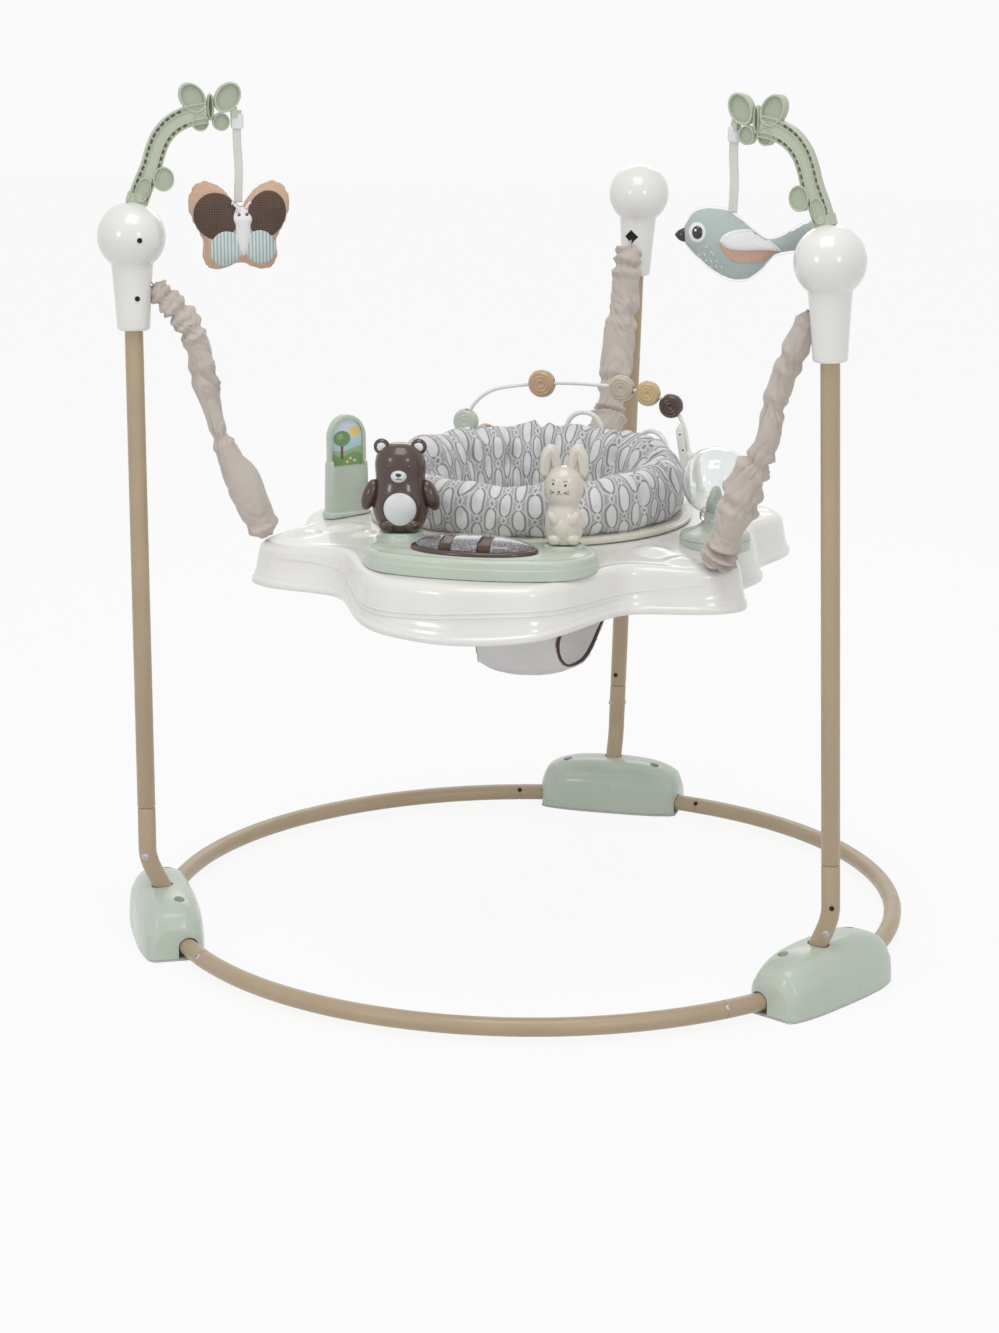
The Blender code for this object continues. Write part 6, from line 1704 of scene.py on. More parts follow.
def make_bunny():
    low = COLLARS["bunny"][2] + 0.0008
    body = [(0.0128, low), (0.0158, low + 0.0018), (0.0180, 0.4680), (0.0193, 0.4800), (0.0172, 0.4920),
            (0.0142, 0.4993), (0.0180, 0.5070), (0.0196, 0.5170), (0.0178, 0.5290), (0.0112, 0.5362)]
    profile = [(0, low)] + smooth_profile(body, 64) + [(0.0060, 0.5384), (0, 0.5390)]
    bm = lathe(profile, 72, squash=0.88)
    face = Matrix.Rotation(math.radians(-15), 4, "Z")
    turned = lathe(profile, 72, squash=0.88)
    moved(turned, face.inverted())
    find = surface_of(turned)
    detail = bmesh.new()
    for side in (-1, 1):
        # Thick ears rise from the crown, fold and hang beside the head.
        path = smooth_path([(side * 0.0070, 0.0010, 0.5350), (side * 0.0095, 0.0006, 0.5470),
                            (side * 0.0128, 0.0000, 0.5545), (side * 0.0172, -0.0006, 0.5500),
                            (side * 0.0192, -0.0010, 0.5400), (side * 0.0196, -0.0010, 0.5270)], 40)
        radii = [0.0052 + 0.0018 * math.sin(math.pi * k / 39) for k in range(38)] + [0.0040, 0.0015]
        rings = []
        for (point, _, across, over), radius in zip(path_frames(path), radii):
            rings.append([point + radius * (math.cos(2 * math.pi * i / 24) * across * 0.86
                                            + math.sin(2 * math.pi * i / 24) * over * 0.86) for i in range(24)])
        skin(rings, bm=bm)
        ridge = [p + Vector((0, -r * 0.86, 0)) for p, r in zip(path[4:-4], radii[4:-4])]
        sweep(ridge, [0.0007] * len(ridge), 8, bm=bm)
        # Small arms clasped over the belly.
        ball((0.0052, 0.0040, 0.0085), (side * 0.0098, -0.0140, 0.4870), Matrix.Rotation(
            math.radians(side * 32), 3, "Y"), 20, 14, bm=bm)
        ball((0.0075, 0.0060, 0.0058), (side * 0.0088, -0.0118, low + 0.0062), None, 20, 12, bm=bm)
    patch(find, ellipse((0.0, 0.4760), (0.0088, 0.0098), 32), domed_rows(0.0012, 6), detail, 0)
    for x, z in ((-0.0068, 0.5228), (0.0058, 0.5218)):
        patch(find, ellipse((x, z), (0.0011, 0.0014), 16), domed_rows(0.0005, 4), detail, 2)
        brow = [find(x + d, z + 0.0034 + 0.0006 * (1 - (d / 0.0022) ** 2)) + Vector((0, -0.0001, 0))
                for d in (-0.0022, -0.0011, 0.0, 0.0011, 0.0022)]
        sweep(brow, [0.0003] * 5, 6, bm=detail, finish=2)
    patch(find, ellipse((-0.0006, 0.5152), (0.0013, 0.0009), 16), domed_rows(0.0005, 4), detail, 2)
    lines = [[(-0.0006, 0.5150), (-0.0006, 0.5134), (-0.0022, 0.5124), (-0.0036, 0.5131)],
             [(-0.0006, 0.5134), (0.0010, 0.5124), (0.0024, 0.5131)]]
    for side in (-1, 1):
        for rise in (0.0010, -0.0002, -0.0014):
            lines.append([(side * 0.0050 - 0.0006, 0.5142 + rise * 0.4), (side * 0.0078 - 0.0006, 0.5144 + rise),
                          (side * 0.0102 - 0.0006, 0.5146 + rise * 2)])
    for line in lines:
        path = [find(x, z) + Vector((0, -0.00015, 0)) for x, z in line]
        sweep(path, [0.00022] * len(path), 5, bm=detail, finish=2)
    moved(detail, face)
    mesh = bpy.data.meshes.new("bunny_detail")
    detail.to_mesh(mesh)
    detail.free()
    bm.from_mesh(mesh)
    bpy.data.meshes.remove(mesh)
    figure(bm, BUNNY_SPOT, [CREAM, WHITE, INK], "bunny_figure", "bunny")


# ---- Picture tower

TOWER_SPOT = around(192.0, 0.199)
TOWER_TURN = math.radians(311.0 + 90)
TOWER_SIZE = (0.047, 0.022)
TOWER_SHOULDER = RIM_HEIGHT + 0.058
TOWER_TOP = TOWER_SHOULDER + 0.049
TOWER_RIM = 0.0035


def arch_outline(half, low, high, count=40):
    """A round-topped panel in x and height, with even steps up its sides."""
    spring = high - half * 1.15
    points = [(-half + 2 * half * k / 8, low) for k in range(8)]
    points += [(half, low + (spring - low) * k / 4) for k in range(4)]
    for k in range(count + 1):
        turn = math.pi * k / count
        points.append((half * math.cos(turn), spring + 1.15 * half * math.sin(turn)))
    return points + [(-half, spring - (spring - low) * k / 4) for k in range(1, 4)]


def slab(outline, layers, bm=None, finish=0):
    """A panel in x and height. Layers hold an inset share and a depth along y."""
    mx = sum(x for x, _ in outline) / len(outline)
    mz = sum(z for _, z in outline) / len(outline)
    rings = []
    for inset, depth in layers:
        ring = []
        for x, z in outline:
            away = Vector((x - mx, 0, z - mz))
            spot = Vector((x, depth, z)) - away.normalized() * inset
            ring.append(spot)
        rings.append(ring)
    return skin(rings, bm=bm, finish=finish)


def make_tower():
    place = Matrix.Translation(TOWER_SPOT) @ Matrix.Rotation(TOWER_TURN, 4, "Z")
    half_x, half_y = TOWER_SIZE[0] / 2, TOWER_SIZE[1] / 2
    rings = []
    foot = RIM_HEIGHT + 0.0005
    for inset, height in ((-0.0022, None), (-0.0022, foot), (-0.0012, foot + 0.0016), (0.0, foot + 0.0026),
                          (0.0, RIM_HEIGHT + 0.005), (0.0010, TOWER_SHOULDER - 0.0042),
                          (0.0014, TOWER_SHOULDER - 0.0022), (0.0024, TOWER_SHOULDER - 0.0008),
                          (0.0038, TOWER_SHOULDER), (0.0050, TOWER_SHOULDER)):
        ring = []
        for k in range(64):
            a = 2 * math.pi * (k + 0.5) / 64
            x = math.copysign(abs(math.cos(a)) ** 0.4, math.cos(a)) * (half_x - inset)
            y = math.copysign(abs(math.sin(a)) ** 0.4, math.sin(a)) * (half_y - inset)
            spot = place @ Vector((x, y, 0))
            low = deck_height(spot.x, spot.y) + 0.0012
            ring.append(Vector((x, y, low if height is None else max(height, low + 0.0002))))
        rings.append(ring)
    housing = to_object("tower_block", skin(rings), SAGE, place)
    rim_half = half_x - 0.002
    rim = slab(arch_outline(rim_half, TOWER_SHOULDER - 0.010, TOWER_TOP),
               [(0.0010, -0.0045), (0.0003, -0.0042), (0.0, -0.0035), (0.0, 0.0035), (0.0003, 0.0042), (0.0010, 0.0045)])
    hole = arch_outline(rim_half - TOWER_RIM, TOWER_SHOULDER - 0.006, TOWER_TOP - TOWER_RIM)
    rim = to_object("tower_rim", rim, SAGE, place)
    opening = to_object("tower_opening", slab(hole, [(0.0, -0.02), (0.0, 0.02)]), SAGE, place)
    cut(rim, [opening])
    opening = to_object("tower_opening", slab(hole, [(0.0, -0.02), (0.0, 0.02)]), SAGE, place)
    cut(housing, [opening])
    cut(housing, [rim], "UNION")
    settle(bevel(housing, 0.0004, 2, 50))
    housing.data.shade_smooth()
    housing.data.set_sharp_from_angle(angle=math.radians(40))
    stands_for(housing, "tower_housing")

    inner = arch_outline(rim_half - TOWER_RIM - GAP, TOWER_SHOULDER - 0.006 + GAP, TOWER_TOP - TOWER_RIM - GAP)
    window = slab(inner, [(0.0006, 0.0008), (0.0, 0.0011), (0.0, 0.0028), (0.0004, 0.0032), (0.0012, 0.0035)])
    stands_for(to_object("tower_window", window, CLEAR, place), "picture_window")
    bm = slab(inner, [(0.0, -0.0010), (0.0, 0.0005)])
    layer = bm.loops.layers.uv.verify()
    for face in bm.faces:
        for loop in face.loops:
            p = loop.vert.co
            loop[layer].uv = ((p.x + 0.019) / 0.038, (p.z - TOWER_SHOULDER + 0.006) / 0.052)
    stands_for(to_object("tower_picture", bm, PICTURE, place), "picture_card")


# ---- Dome

DOME_SPOT = around(340.8, 0.229)
DOME_RADIUS = 0.0355
DOME_HEIGHT = RIM_HEIGHT + 0.061
DOME_NECK = 0.0165


def make_dome():
    place = Matrix.Translation(DOME_SPOT)
    cone = [(0.0370, 0.0030), (0.0345, 0.0080), (0.0225, 0.0120), (0.0145, 0.0165), (0.0105, 0.0270),
            (0.0085, 0.0400), (0.0045, 0.0530)]
    smooth = smooth_path([Vector((r, RIM_HEIGHT + h, 0)) for r, h in cone], 60)
    profile = [(0, RIM_HEIGHT - 0.006), (0.0362, RIM_HEIGHT - 0.006), (0.0370, RIM_HEIGHT - 0.005),
               (0.0370, RIM_HEIGHT + 0.0010), (0.0361, RIM_HEIGHT + 0.0016), (0.0361, RIM_HEIGHT + 0.0024)]
    profile += [(p.x, p.y) for p in smooth] + [(0.0025, RIM_HEIGHT + 0.0552), (0, RIM_HEIGHT + 0.0560)]
    rings = []
    for radius, height in profile:
        ring = []
        for i in range(72):
            spot = around(5 * i, max(radius, 1e-6))
            low = deck_height(*(DOME_SPOT + spot).xy) + 0.0004
            ring.append(Vector((spot.x, spot.y, max(height, low) if height > RIM_HEIGHT - 0.004 else low - 0.0001)))
        rings.append(ring)
    bm = skin(rings)
    # Raised ribs climb the cone.
    for k in range(6):
        path = [Vector((p.x * math.cos(math.radians(60 * k + 20 * j)), p.x * math.sin(math.radians(60 * k + 20 * j)),
                        p.y)) for j, p in zip([i / 30 for i in range(30)], smooth[24:54])]
        sweep(path, [0.0009] * len(path), 8, bm=bm)
    stands_for(to_object("dome_turret", bm, SAGE, place, sharp=50), "dome_base")

    outer = math.asin(DOME_NECK / DOME_RADIUS)
    inside = DOME_RADIUS - 0.0015
    inner = math.asin((DOME_NECK - 0.0015) / inside)
    low = DOME_HEIGHT - DOME_RADIUS * math.cos(outer) - 0.008
    profile = [(DOME_RADIUS * math.sin((math.pi - outer) * k / 48), DOME_HEIGHT + DOME_RADIUS * math.cos(
        (math.pi - outer) * k / 48)) for k in range(49)]
    profile += [(DOME_NECK, low + 0.0006), (DOME_NECK - 0.0004, low), (DOME_NECK - 0.0011, low),
                (DOME_NECK - 0.0015, low + 0.0006)]
    profile += [(inside * math.sin((math.pi - inner) * k / 48), DOME_HEIGHT + inside * math.cos(
        (math.pi - inner) * k / 48)) for k in range(48, -1, -1)]
    stands_for(to_object("dome_sphere", lathe(profile, 96, place), CLEAR, sharp=60), "dome_shell")


# ---- Bead wire

WIRE_Y = 0.195
WIRE_CROWN = RIM_HEIGHT + 0.113
WIRE_TOP_BEND = 0.450
WIRE_TOP_HALF = 0.085
WIRE_SHOULDER = 0.055
WIRE_LEG_ANGLE = 80.0
BEADS = {"bead_green": (0.0150, -0.1280), "bead_tan": (0.0160, -0.0385), "bead_beige": (0.0150, 0.0540),
         "bead_yellow": (0.0145, 0.0847), "bead_brown": (0.0140, 0.1112)}


def half_wire():
    top_end = math.asin(WIRE_TOP_HALF / WIRE_TOP_BEND)
    reach = WIRE_TOP_BEND - WIRE_SHOULDER
    x, z = reach * math.sin(top_end), WIRE_CROWN - WIRE_TOP_BEND + reach * math.cos(top_end)
    last = math.radians(WIRE_LEG_ANGLE)
    points = [(WIRE_TOP_BEND * math.sin(top_end * k / 20),
               WIRE_CROWN - WIRE_TOP_BEND * (1 - math.cos(top_end * k / 20))) for k in range(20)]
    for k in range(25):
        turn = top_end + (last - top_end) * k / 24
        points.append((x + WIRE_SHOULDER * math.sin(turn), z + WIRE_SHOULDER * math.cos(turn)))
    end_x, end_z = points[-1]
    low = deck_height(end_x + 0.015, WIRE_Y)
    return points, (end_x + (end_z - low) / math.tan(last), low)


def wire_at(x):
    """Height and slope of the bead wire at x."""
    points, end = half_wire()
    points.append(end)
    for (x0, z0), (x1, z1) in zip(points, points[1:]):
        if x0 <= abs(x) <= x1:
            slope = math.atan2(z1 - z0, x1 - x0) * (1 if x > 0 else -1)
            return z0 + (z1 - z0) * (abs(x) - x0) / (x1 - x0), slope
    return points[-1][1], 0.0


def make_beads():
    points, end = half_wire()
    leg = [(points[-1][0] + (end[0] - points[-1][0]) * s, points[-1][1] + (end[1] - points[-1][1]) * s)
           for s in (0.12, 0.24, 0.285, 0.30, 0.315, 0.34, 0.5, 0.72, 0.9, 0.94, 1.0)]
    widths = [0.0022, 0.0022, 0.0024, 0.0036, 0.0047, 0.0050, 0.0052, 0.0056, 0.0060, 0.0078, 0.0088]
    right = [(x, z, 0.0022) for x, z in points] + [(x, z, r) for (x, z), r in zip(leg, widths)]
    line = [(-x, z, r) for x, z, r in right[:0:-1]] + right
    path = [Vector((x, WIRE_Y, z)) for x, z, _ in line]
    bm = sweep(path, [r for _, _, r in line], 20)
    # A flat paddle with two holes marks the right leg.
    outline = [(0.1172, 0.5120), (0.1216, 0.5190), (0.1258, 0.5150), (0.1315, 0.4740), (0.1341, 0.4560),
               (0.1290, 0.4540), (0.1240, 0.4700)]
    smooth = smooth_path([Vector((x, 0, z)) for x, z in outline + outline[:1]], 56)[:-1]
    middle = sum(smooth, Vector()) / len(smooth)
    rings = []
    for share, depth in ((0.001, -0.0026), (0.85, -0.0026), (0.97, -0.0022), (1.0, -0.0014), (1.0, 0.0014),
                         (0.97, 0.0022), (0.85, 0.0026), (0.001, 0.0026)):
        rings.append([middle + (p - middle) * share + Vector((0, WIRE_Y - 0.001 + depth, 0)) for p in smooth])
    skin(rings, bm=bm)
    stands_for(to_object("bead_rail", bm, WHITE, sharp=50), "bead_wire")
    holes = [(Vector((x, WIRE_Y - 0.0036, z)), Vector((0, -1, 0))) for x, z in ((0.1225, 0.5075), (0.1262, 0.4900))]
    goes_with(on_points("paddle_holes", holes, SCREW, (0.0011, 0.0011, 0.0006), HOLE), "bead_wire")
    # A frosted sleeve holds the left leg's wire under the green bead.
    ferrule = []
    for k, (wide, z) in enumerate(((0.004, 0.4760), (0.0060, 0.4766), (0.0078, 0.4780), (0.0080, 0.4900),
                                   (0.0070, 0.4918), (0.0050, 0.4924))):
        ferrule.append([Vector((-0.1345 + wide * math.cos(math.radians(10 * i)), WIRE_Y
                                + wide * 0.8 * math.sin(math.radians(10 * i)), z)) for i in range(36)])
    goes_with(to_object("wire_ferrule", skin(ferrule), PALE_GREY), "bead_wire")

    finishes = {"bead_green": SAGE, "bead_tan": TAN, "bead_beige": BEIGE, "bead_yellow": YELLOW, "bead_brown": BROWN}
    half = 0.007
    for name, (radius, x) in BEADS.items():
        z, slope = wire_at(x)
        face = [(1e-5, half - 0.0006), (radius * 0.16, half - 0.0006), (radius * 0.20, half - 0.0001),
                (radius * 0.30, half), (radius * 0.36, half - 0.0004), (radius * 0.40, half - 0.0004),
                (radius * 0.46, half), (radius * 0.60, half - 0.0001), (radius * 0.64, half - 0.0006),
                (radius * 0.68, half - 0.0006), (radius * 0.74, half - 0.0002), (radius * 0.86, half * 0.80),
                (radius * 0.95, half * 0.48), (radius, 0.0)]
        profile = face + [(r, -h) for r, h in face[-2::-1]]
        place = Matrix.Translation((x, WIRE_Y, z)) @ Matrix.Rotation(math.radians(90), 4, "X")
        bead = to_object(f"{name}_disc", lathe(profile, 64, place), finishes[name], sharp=60)
        along = Vector((math.cos(slope), 0, math.sin(slope)))
        ends = [Vector((x, WIRE_Y, z)) + along * reach for reach in (-0.03, 0.03)]
        bore = to_object("bead_bore", sweep([ends[0], Vector((x, WIRE_Y, z)), ends[1]], [0.0045] * 3, 24), WHITE)
        cut(bead, [bore])
        bead.data.shade_smooth()
        bead.data.set_sharp_from_angle(angle=math.radians(45))
        stands_for(bead, name)


def make_loops():
    for name, (angle, radius, half, top) in {"link_loop_left": (87.0, 0.198, 0.0205, 0.530),
                                             "link_loop_right": (62.4, 0.202, 0.0210, 0.515)}.items():
        centre = around(angle, radius)
        across = heading(angle - 90)
        spring = top - 0.0028 - half
        path = [centre + across * half * math.cos(math.pi * k / 40) + Vector((0, 0, spring + half * math.sin(
            math.pi * k / 40))) for k in range(41)]
        widths = [0.0028] * 41
        for end, where in ((0, path[0]), (-1, path[-1])):
            low = deck_height(where.x, where.y)
            foot = [(0.0, 0.0052), (0.0010, 0.0050), (0.0024, 0.0036), (0.0046, 0.0029), (0.0100, 0.0028)]
            stations = [(Vector((where.x, where.y, low + rise)), wide) for rise, wide in foot]
            if end == 0:
                path = [p for p, _ in stations] + path
                widths = [w for _, w in stations] + widths
            else:
                path += [p for p, _ in stations[::-1]]
                widths += [w for _, w in stations[::-1]]
        stands_for(to_object(f"{name}_ring", sweep(path, widths, 20), WHITE, sharp=60), name)


def make_spinner():
    spot = around(119.7, 0.198)
    out = heading(119.7)
    centre = spot + Vector((0, 0, RIM_HEIGHT + 0.054))
    half = 0.004
    stalk = spot + out * (half + 0.0048)
    low = deck_height(stalk.x, stalk.y)
    rows = [(0.0, 0.0085), (0.0012, 0.0082), (0.0030, 0.0058), (0.0070, 0.0040), (0.0120, 0.0035), (0.0400, 0.0035),
            (0.0555, 0.0035), (0.0590, 0.0030), (0.0608, 0.0018)]
    bm = sweep([Vector((stalk.x, stalk.y, low + h)) for h, _ in rows], [r for _, r in rows], 28)
    pin = [(half + 0.0048, 0.0025), (-half, 0.0025), (-half - 0.0006, 0.0025), (-half - 0.0014, 0.0014)]
    sweep([centre + out * d for d, _ in pin], [r for _, r in pin], 20, bm=bm)
    stands_for(to_object("spinner_stalk", bm, SAGE, sharp=50), "spinner_post")
    bore, rim = 0.0031, 0.0125
    profile = [(bore, half - 0.0005), (bore + 0.0004, half), (0.0052, half), (0.0058, half - 0.0009),
               (0.0096, half - 0.0009), (0.0102, half), (rim - 0.0012, half), (rim - 0.0003, half - 0.0005),
               (rim, half - 0.0015), (rim - 0.0002, 0.0)]
    profile = profile + [(r, -h) for r, h in profile[-2::-1]]
    turn = out.to_track_quat("Z", "Y").to_matrix().to_4x4()
    wheel = to_object("spinner_disc", lathe(profile, 72, Matrix.Translation(centre) @ turn, closed=True), TAN)
    stands_for(wheel, "spinner_wheel")
    places = []
    for k in range(6):
        for face in (1, -1):
            arm = turn.to_3x3() @ Vector((0.0077 * math.cos(math.pi * k / 3), 0.0077 * math.sin(math.pi * k / 3), 0))
            places.append((centre + arm + out * face * (half - 0.0008), out * face))
    goes_with(on_points("spinner_studs", places, SCREW, (0.0013, 0.0013, 0.0014), CREAM), "spinner_wheel")


# ---- Seat

SEAT_TOP = RIM_HEIGHT + 0.063
ROLL_SECTION = [(0.1520, 0.4541, 0), (0.1590, 0.4541, 0), (0.1645, 0.4600, 0), (0.1665, 0.4700, 0.1),
                (0.1662, 0.4821, 0.4), (0.1645, 0.4930, 0.7), (0.1600, 0.5020, 0.9), (0.1535, 0.5085, 1.0),
                (0.1455, 0.5105, 1.0), (0.1370, 0.5080, 1.0), (0.1295, 0.5015, 0.95), (0.1235, 0.4930, 0.85),
                (0.1180, 0.4790, 0.5), (0.1110, 0.4560, 0.3), (0.1055, 0.4350, 0.1), (0.1090, 0.4300, 0),
                (0.1230, 0.4420, 0), (0.1400, 0.4520, 0)]
LEG_HOLES = (342.0, 198.0)


def make_seat():
    ring = [(0.1535, 0.4345), (0.1540, 0.4340), (0.1635, 0.4340), (0.1640, 0.4345), (0.1640, 0.4478),
            (0.1716, 0.4478), (0.1724, 0.4486), (0.1726, 0.4500), (0.1722, 0.4512), (0.1714, 0.4516),
            (0.1704, 0.4518), (0.1697, 0.4528), (0.1688, 0.4536), (0.1678, 0.4538), (0.1540, 0.4538), (0.1535, 0.4533)]
    stands_for(to_object("seat_flange", lathe(ring, 180, closed=True), CREAM), "seat_ring")

    rings = []
    sides = 108
    for k in range(sides):
        turn = 2 * math.pi * k / sides
        rise = 0.017 * (1 + math.sin(turn)) / 2
        ring = []
        mr, mz = 0.139, 0.476
        for radius, height, share in ROLL_SECTION:
            r, z = mr + (radius - mr) * 0.93, mz + (height - mz) * 0.93
            ring.append(Vector((r * math.cos(turn), r * math.sin(turn), z + share * rise)))
        rings.append(ring)
    bm = puffed(skin(rings, closed=True), 0.0052, 0.007)
    # Sewn tucks: each draws the padding in along a short line.
    tucks = [(96, 0.118, 0.475, 6, 0.009), (74, 0.118, 0.475, 5, 0.007), (116, 0.118, 0.475, 5, 0.007),
             (54, 0.121, 0.480, 5, 0.006), (140, 0.119, 0.480, 5, 0.006), (30, 0.128, 0.495, 5, 0.006),
             (12, 0.135, 0.500, 4, 0.005), (166, 0.125, 0.490, 5, 0.006), (186, 0.132, 0.500, 4, 0.005),
             (350, 0.150, 0.500, 4, 0.0045), (330, 0.158, 0.492, 4, 0.0045), (312, 0.160, 0.480, 3, 0.003),
             (262, 0.150, 0.505, 4, 0.0024), (286, 0.152, 0.500, 4, 0.0024), (236, 0.152, 0.503, 4, 0.003),
             (216, 0.158, 0.490, 3, 0.003), (100, 0.150, 0.508, 4, 0.004), (62, 0.150, 0.508, 4, 0.004),
             (130, 0.152, 0.506, 4, 0.004), (40, 0.155, 0.504, 4, 0.004)]
    for vert in bm.verts:
        angle = math.degrees(math.atan2(vert.co.y, vert.co.x)) % 360
        radius = math.hypot(vert.co.x, vert.co.y)
        rise = 0.0085 * (1 + math.sin(math.radians(angle)))
        out = Vector((radius - 0.139, vert.co.z - 0.476 - rise * 0.6))
        size = out.length
        pull = 0.0
        for place, tuck_radius, height, width, depth in tucks:
            off = abs((angle - place + 180) % 360 - 180) / width * (radius / 0.139)
            near = math.exp(-(((radius - tuck_radius) / 0.020) ** 2 + ((vert.co.z - height - rise) / 0.026) ** 2))
            pull += depth * 1.5 * math.exp(-(off * 2.4) ** 2) * near
            pull -= depth * 0.5 * math.exp(-((off - 0.9) * 2.4) ** 2) * near
        spot = Vector((math.cos(math.radians(angle)) * 2.6, math.sin(math.radians(angle)) * 2.6, vert.co.z * 16))
        pull += 0.0044 * noise.noise(spot * 1.6) + 0.0020 * noise.noise(spot * 5.0)
        if size > 1e-4:
            step = -out / size * pull
            way = Vector((math.cos(math.radians(angle)), math.sin(math.radians(angle)), 0))
            vert.co += way * step.x + Vector((0, 0, step.y))
    layer = bm.loops.layers.uv.verify()
    girth = 2 * math.pi * 0.155
    length = 0.200
    for face in bm.faces:
        marks = []
        for loop in face.loops:
            p = loop.vert.co
            around_ring = math.atan2(p.y, p.x) / (2 * math.pi)
            rise = 0.017 * (1 + math.sin(math.atan2(p.y, p.x))) / 2
            across = math.atan2(p.z - 0.472 - rise * 0.6, math.hypot(p.x, p.y) - 0.139) / (2 * math.pi)
            marks.append([around_ring, across])
        for mark in marks[1:]:
            for i in (0, 1):
                mark[i] -= round(mark[i] - marks[0][i])
        for loop, mark in zip(face.loops, marks):
            # The tucks drag the print about.
            drag = noise.noise_vector(loop.vert.co * 24) * 0.0045
            loop[layer].uv = (mark[0] * girth + drag.x, mark[1] * length + drag.y)
    roll = to_object("seat_roll", bm, PRINT, sharp=180)
    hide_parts("seat_pad")
    goes_with(roll, "seat_pad")

    # The sling hangs below the roll, with two leg openings.
    line = [(0.150, 0.4370), (0.1385, 0.4320), (0.126, 0.4260), (0.118, 0.4120), (0.106, 0.3950), (0.094, 0.3660),
            (0.080, 0.3350), (0.071, 0.3110), (0.062, 0.2930), (0.054, 0.2860), (0.045, 0.2810), (0.030, 0.2798),
            (0.015, 0.2792), (0.004, 0.2790)]
    profile = [(p.x, p.y) for p in smooth_path([Vector((r, z, 0)) for r, z in line], 96)]
    columns = 216
    bm = bmesh.new()
    layer = bm.loops.layers.uv.new("cloth")
    holes = []
    for angle in LEG_HOLES:
        way = heading(angle) * math.cos(math.radians(18))
        way.z = -math.sin(math.radians(18))
        holes.append((Vector((0, 0, RIM_HEIGHT - 0.107)) + heading(angle) * 0.035, way))
    grid = []
    for radius, height in profile:
        row = []
        for k in range(columns):
            turn = 2 * math.pi * k / columns
            spot = Vector((math.cos(turn) * 1.4, math.sin(turn) * 1.4, height * 13))
            soft = 0.0035 * noise.noise(spot * 1.3) + 0.0012 * noise.noise(spot * 4.0)
            soft += 0.0012 * math.sin(turn * 26 + 3 * noise.noise(spot)) * ease((height - 0.395) / 0.04)
            r = max(radius + soft * min(radius / 0.05, 1) - 0.001, 0.001)
            point = Vector((r * math.cos(turn), r * math.sin(turn), height))
            for start, way in holes:
                off = point - start
                along = off.dot(way)
                side = off - way * along
                if along > 0 and 0.0395 < side.length < 0.0475:
                    point = start + way * along + side.normalized() * (0.044 if side.length < 0.0435 else side.length)
            row.append(bm.verts.new(point))
        grid.append(row)

    def inside(point):
        for start, way in holes:
            off = point - start
            along = off.dot(way)
            if along > 0 and (off - way * along).length < 0.0438:
                return True
        return False

    for k in range(len(grid) - 1):
        for i in range(columns):
            j = (i + 1) % columns
            corners = (grid[k][i], grid[k + 1][i], grid[k + 1][j], grid[k][j])
            if inside(sum((c.co for c in corners), Vector()) / 4):
                continue
            face = bm.faces.new(corners)
            for loop, (u, v) in zip(face.loops, ((i, k), (i, k + 1), (i + 1, k + 1), (i + 1, k))):
                loop[layer].uv = (u / columns * 0.75, v / len(grid) * 0.25)
    bmesh.ops.delete(bm, geom=[v for v in bm.verts if not v.link_faces], context="VERTS")
    sling = to_object("seat_sling", bm, SLING, sharp=180)
    step = sling.modifiers.new("cloth_thickness", "SOLIDIFY")
    step.thickness = 0.0015
    step.offset = -1
    settle(sling)
    goes_with(sling, "seat_pad")
    for k, (start, way) in enumerate(holes):
        across = way.orthogonal().normalized()
        over = way.cross(across)
        edge = []
        reaches = []
        for i in range(96):
            ray = math.cos(2 * math.pi * i / 96) * across + math.sin(2 * math.pi * i / 96) * over
            reach = 0.12
            for j in range(241):
                p = start + ray * 0.044 + way * (0.12 * j / 240)
                r = math.hypot(p.x, p.y)
                wall = table_value(line[::-1] and [(z, r2) for r2, z in line[::-1]], min(max(p.z, 0.2791), 0.4369))
                if r >= wall:
                    reach = 0.12 * j / 240
                    break
            reaches.append(reach)
        for i in range(96):
            ray = math.cos(2 * math.pi * i / 96) * across + math.sin(2 * math.pi * i / 96) * over
            reach = sum(reaches[(i + j) % 96] for j in range(-3, 4)) / 7
            edge.append(start + ray * 0.0435 + way * (reach - 0.0005))
        binding = to_object(f"leg_opening_binding_{k}", hoop(edge, 0.0024, 12, 0.6), MESH_CLOTH, sharp=80)
        goes_with(binding, "seat_pad")


# ---- Hung toys

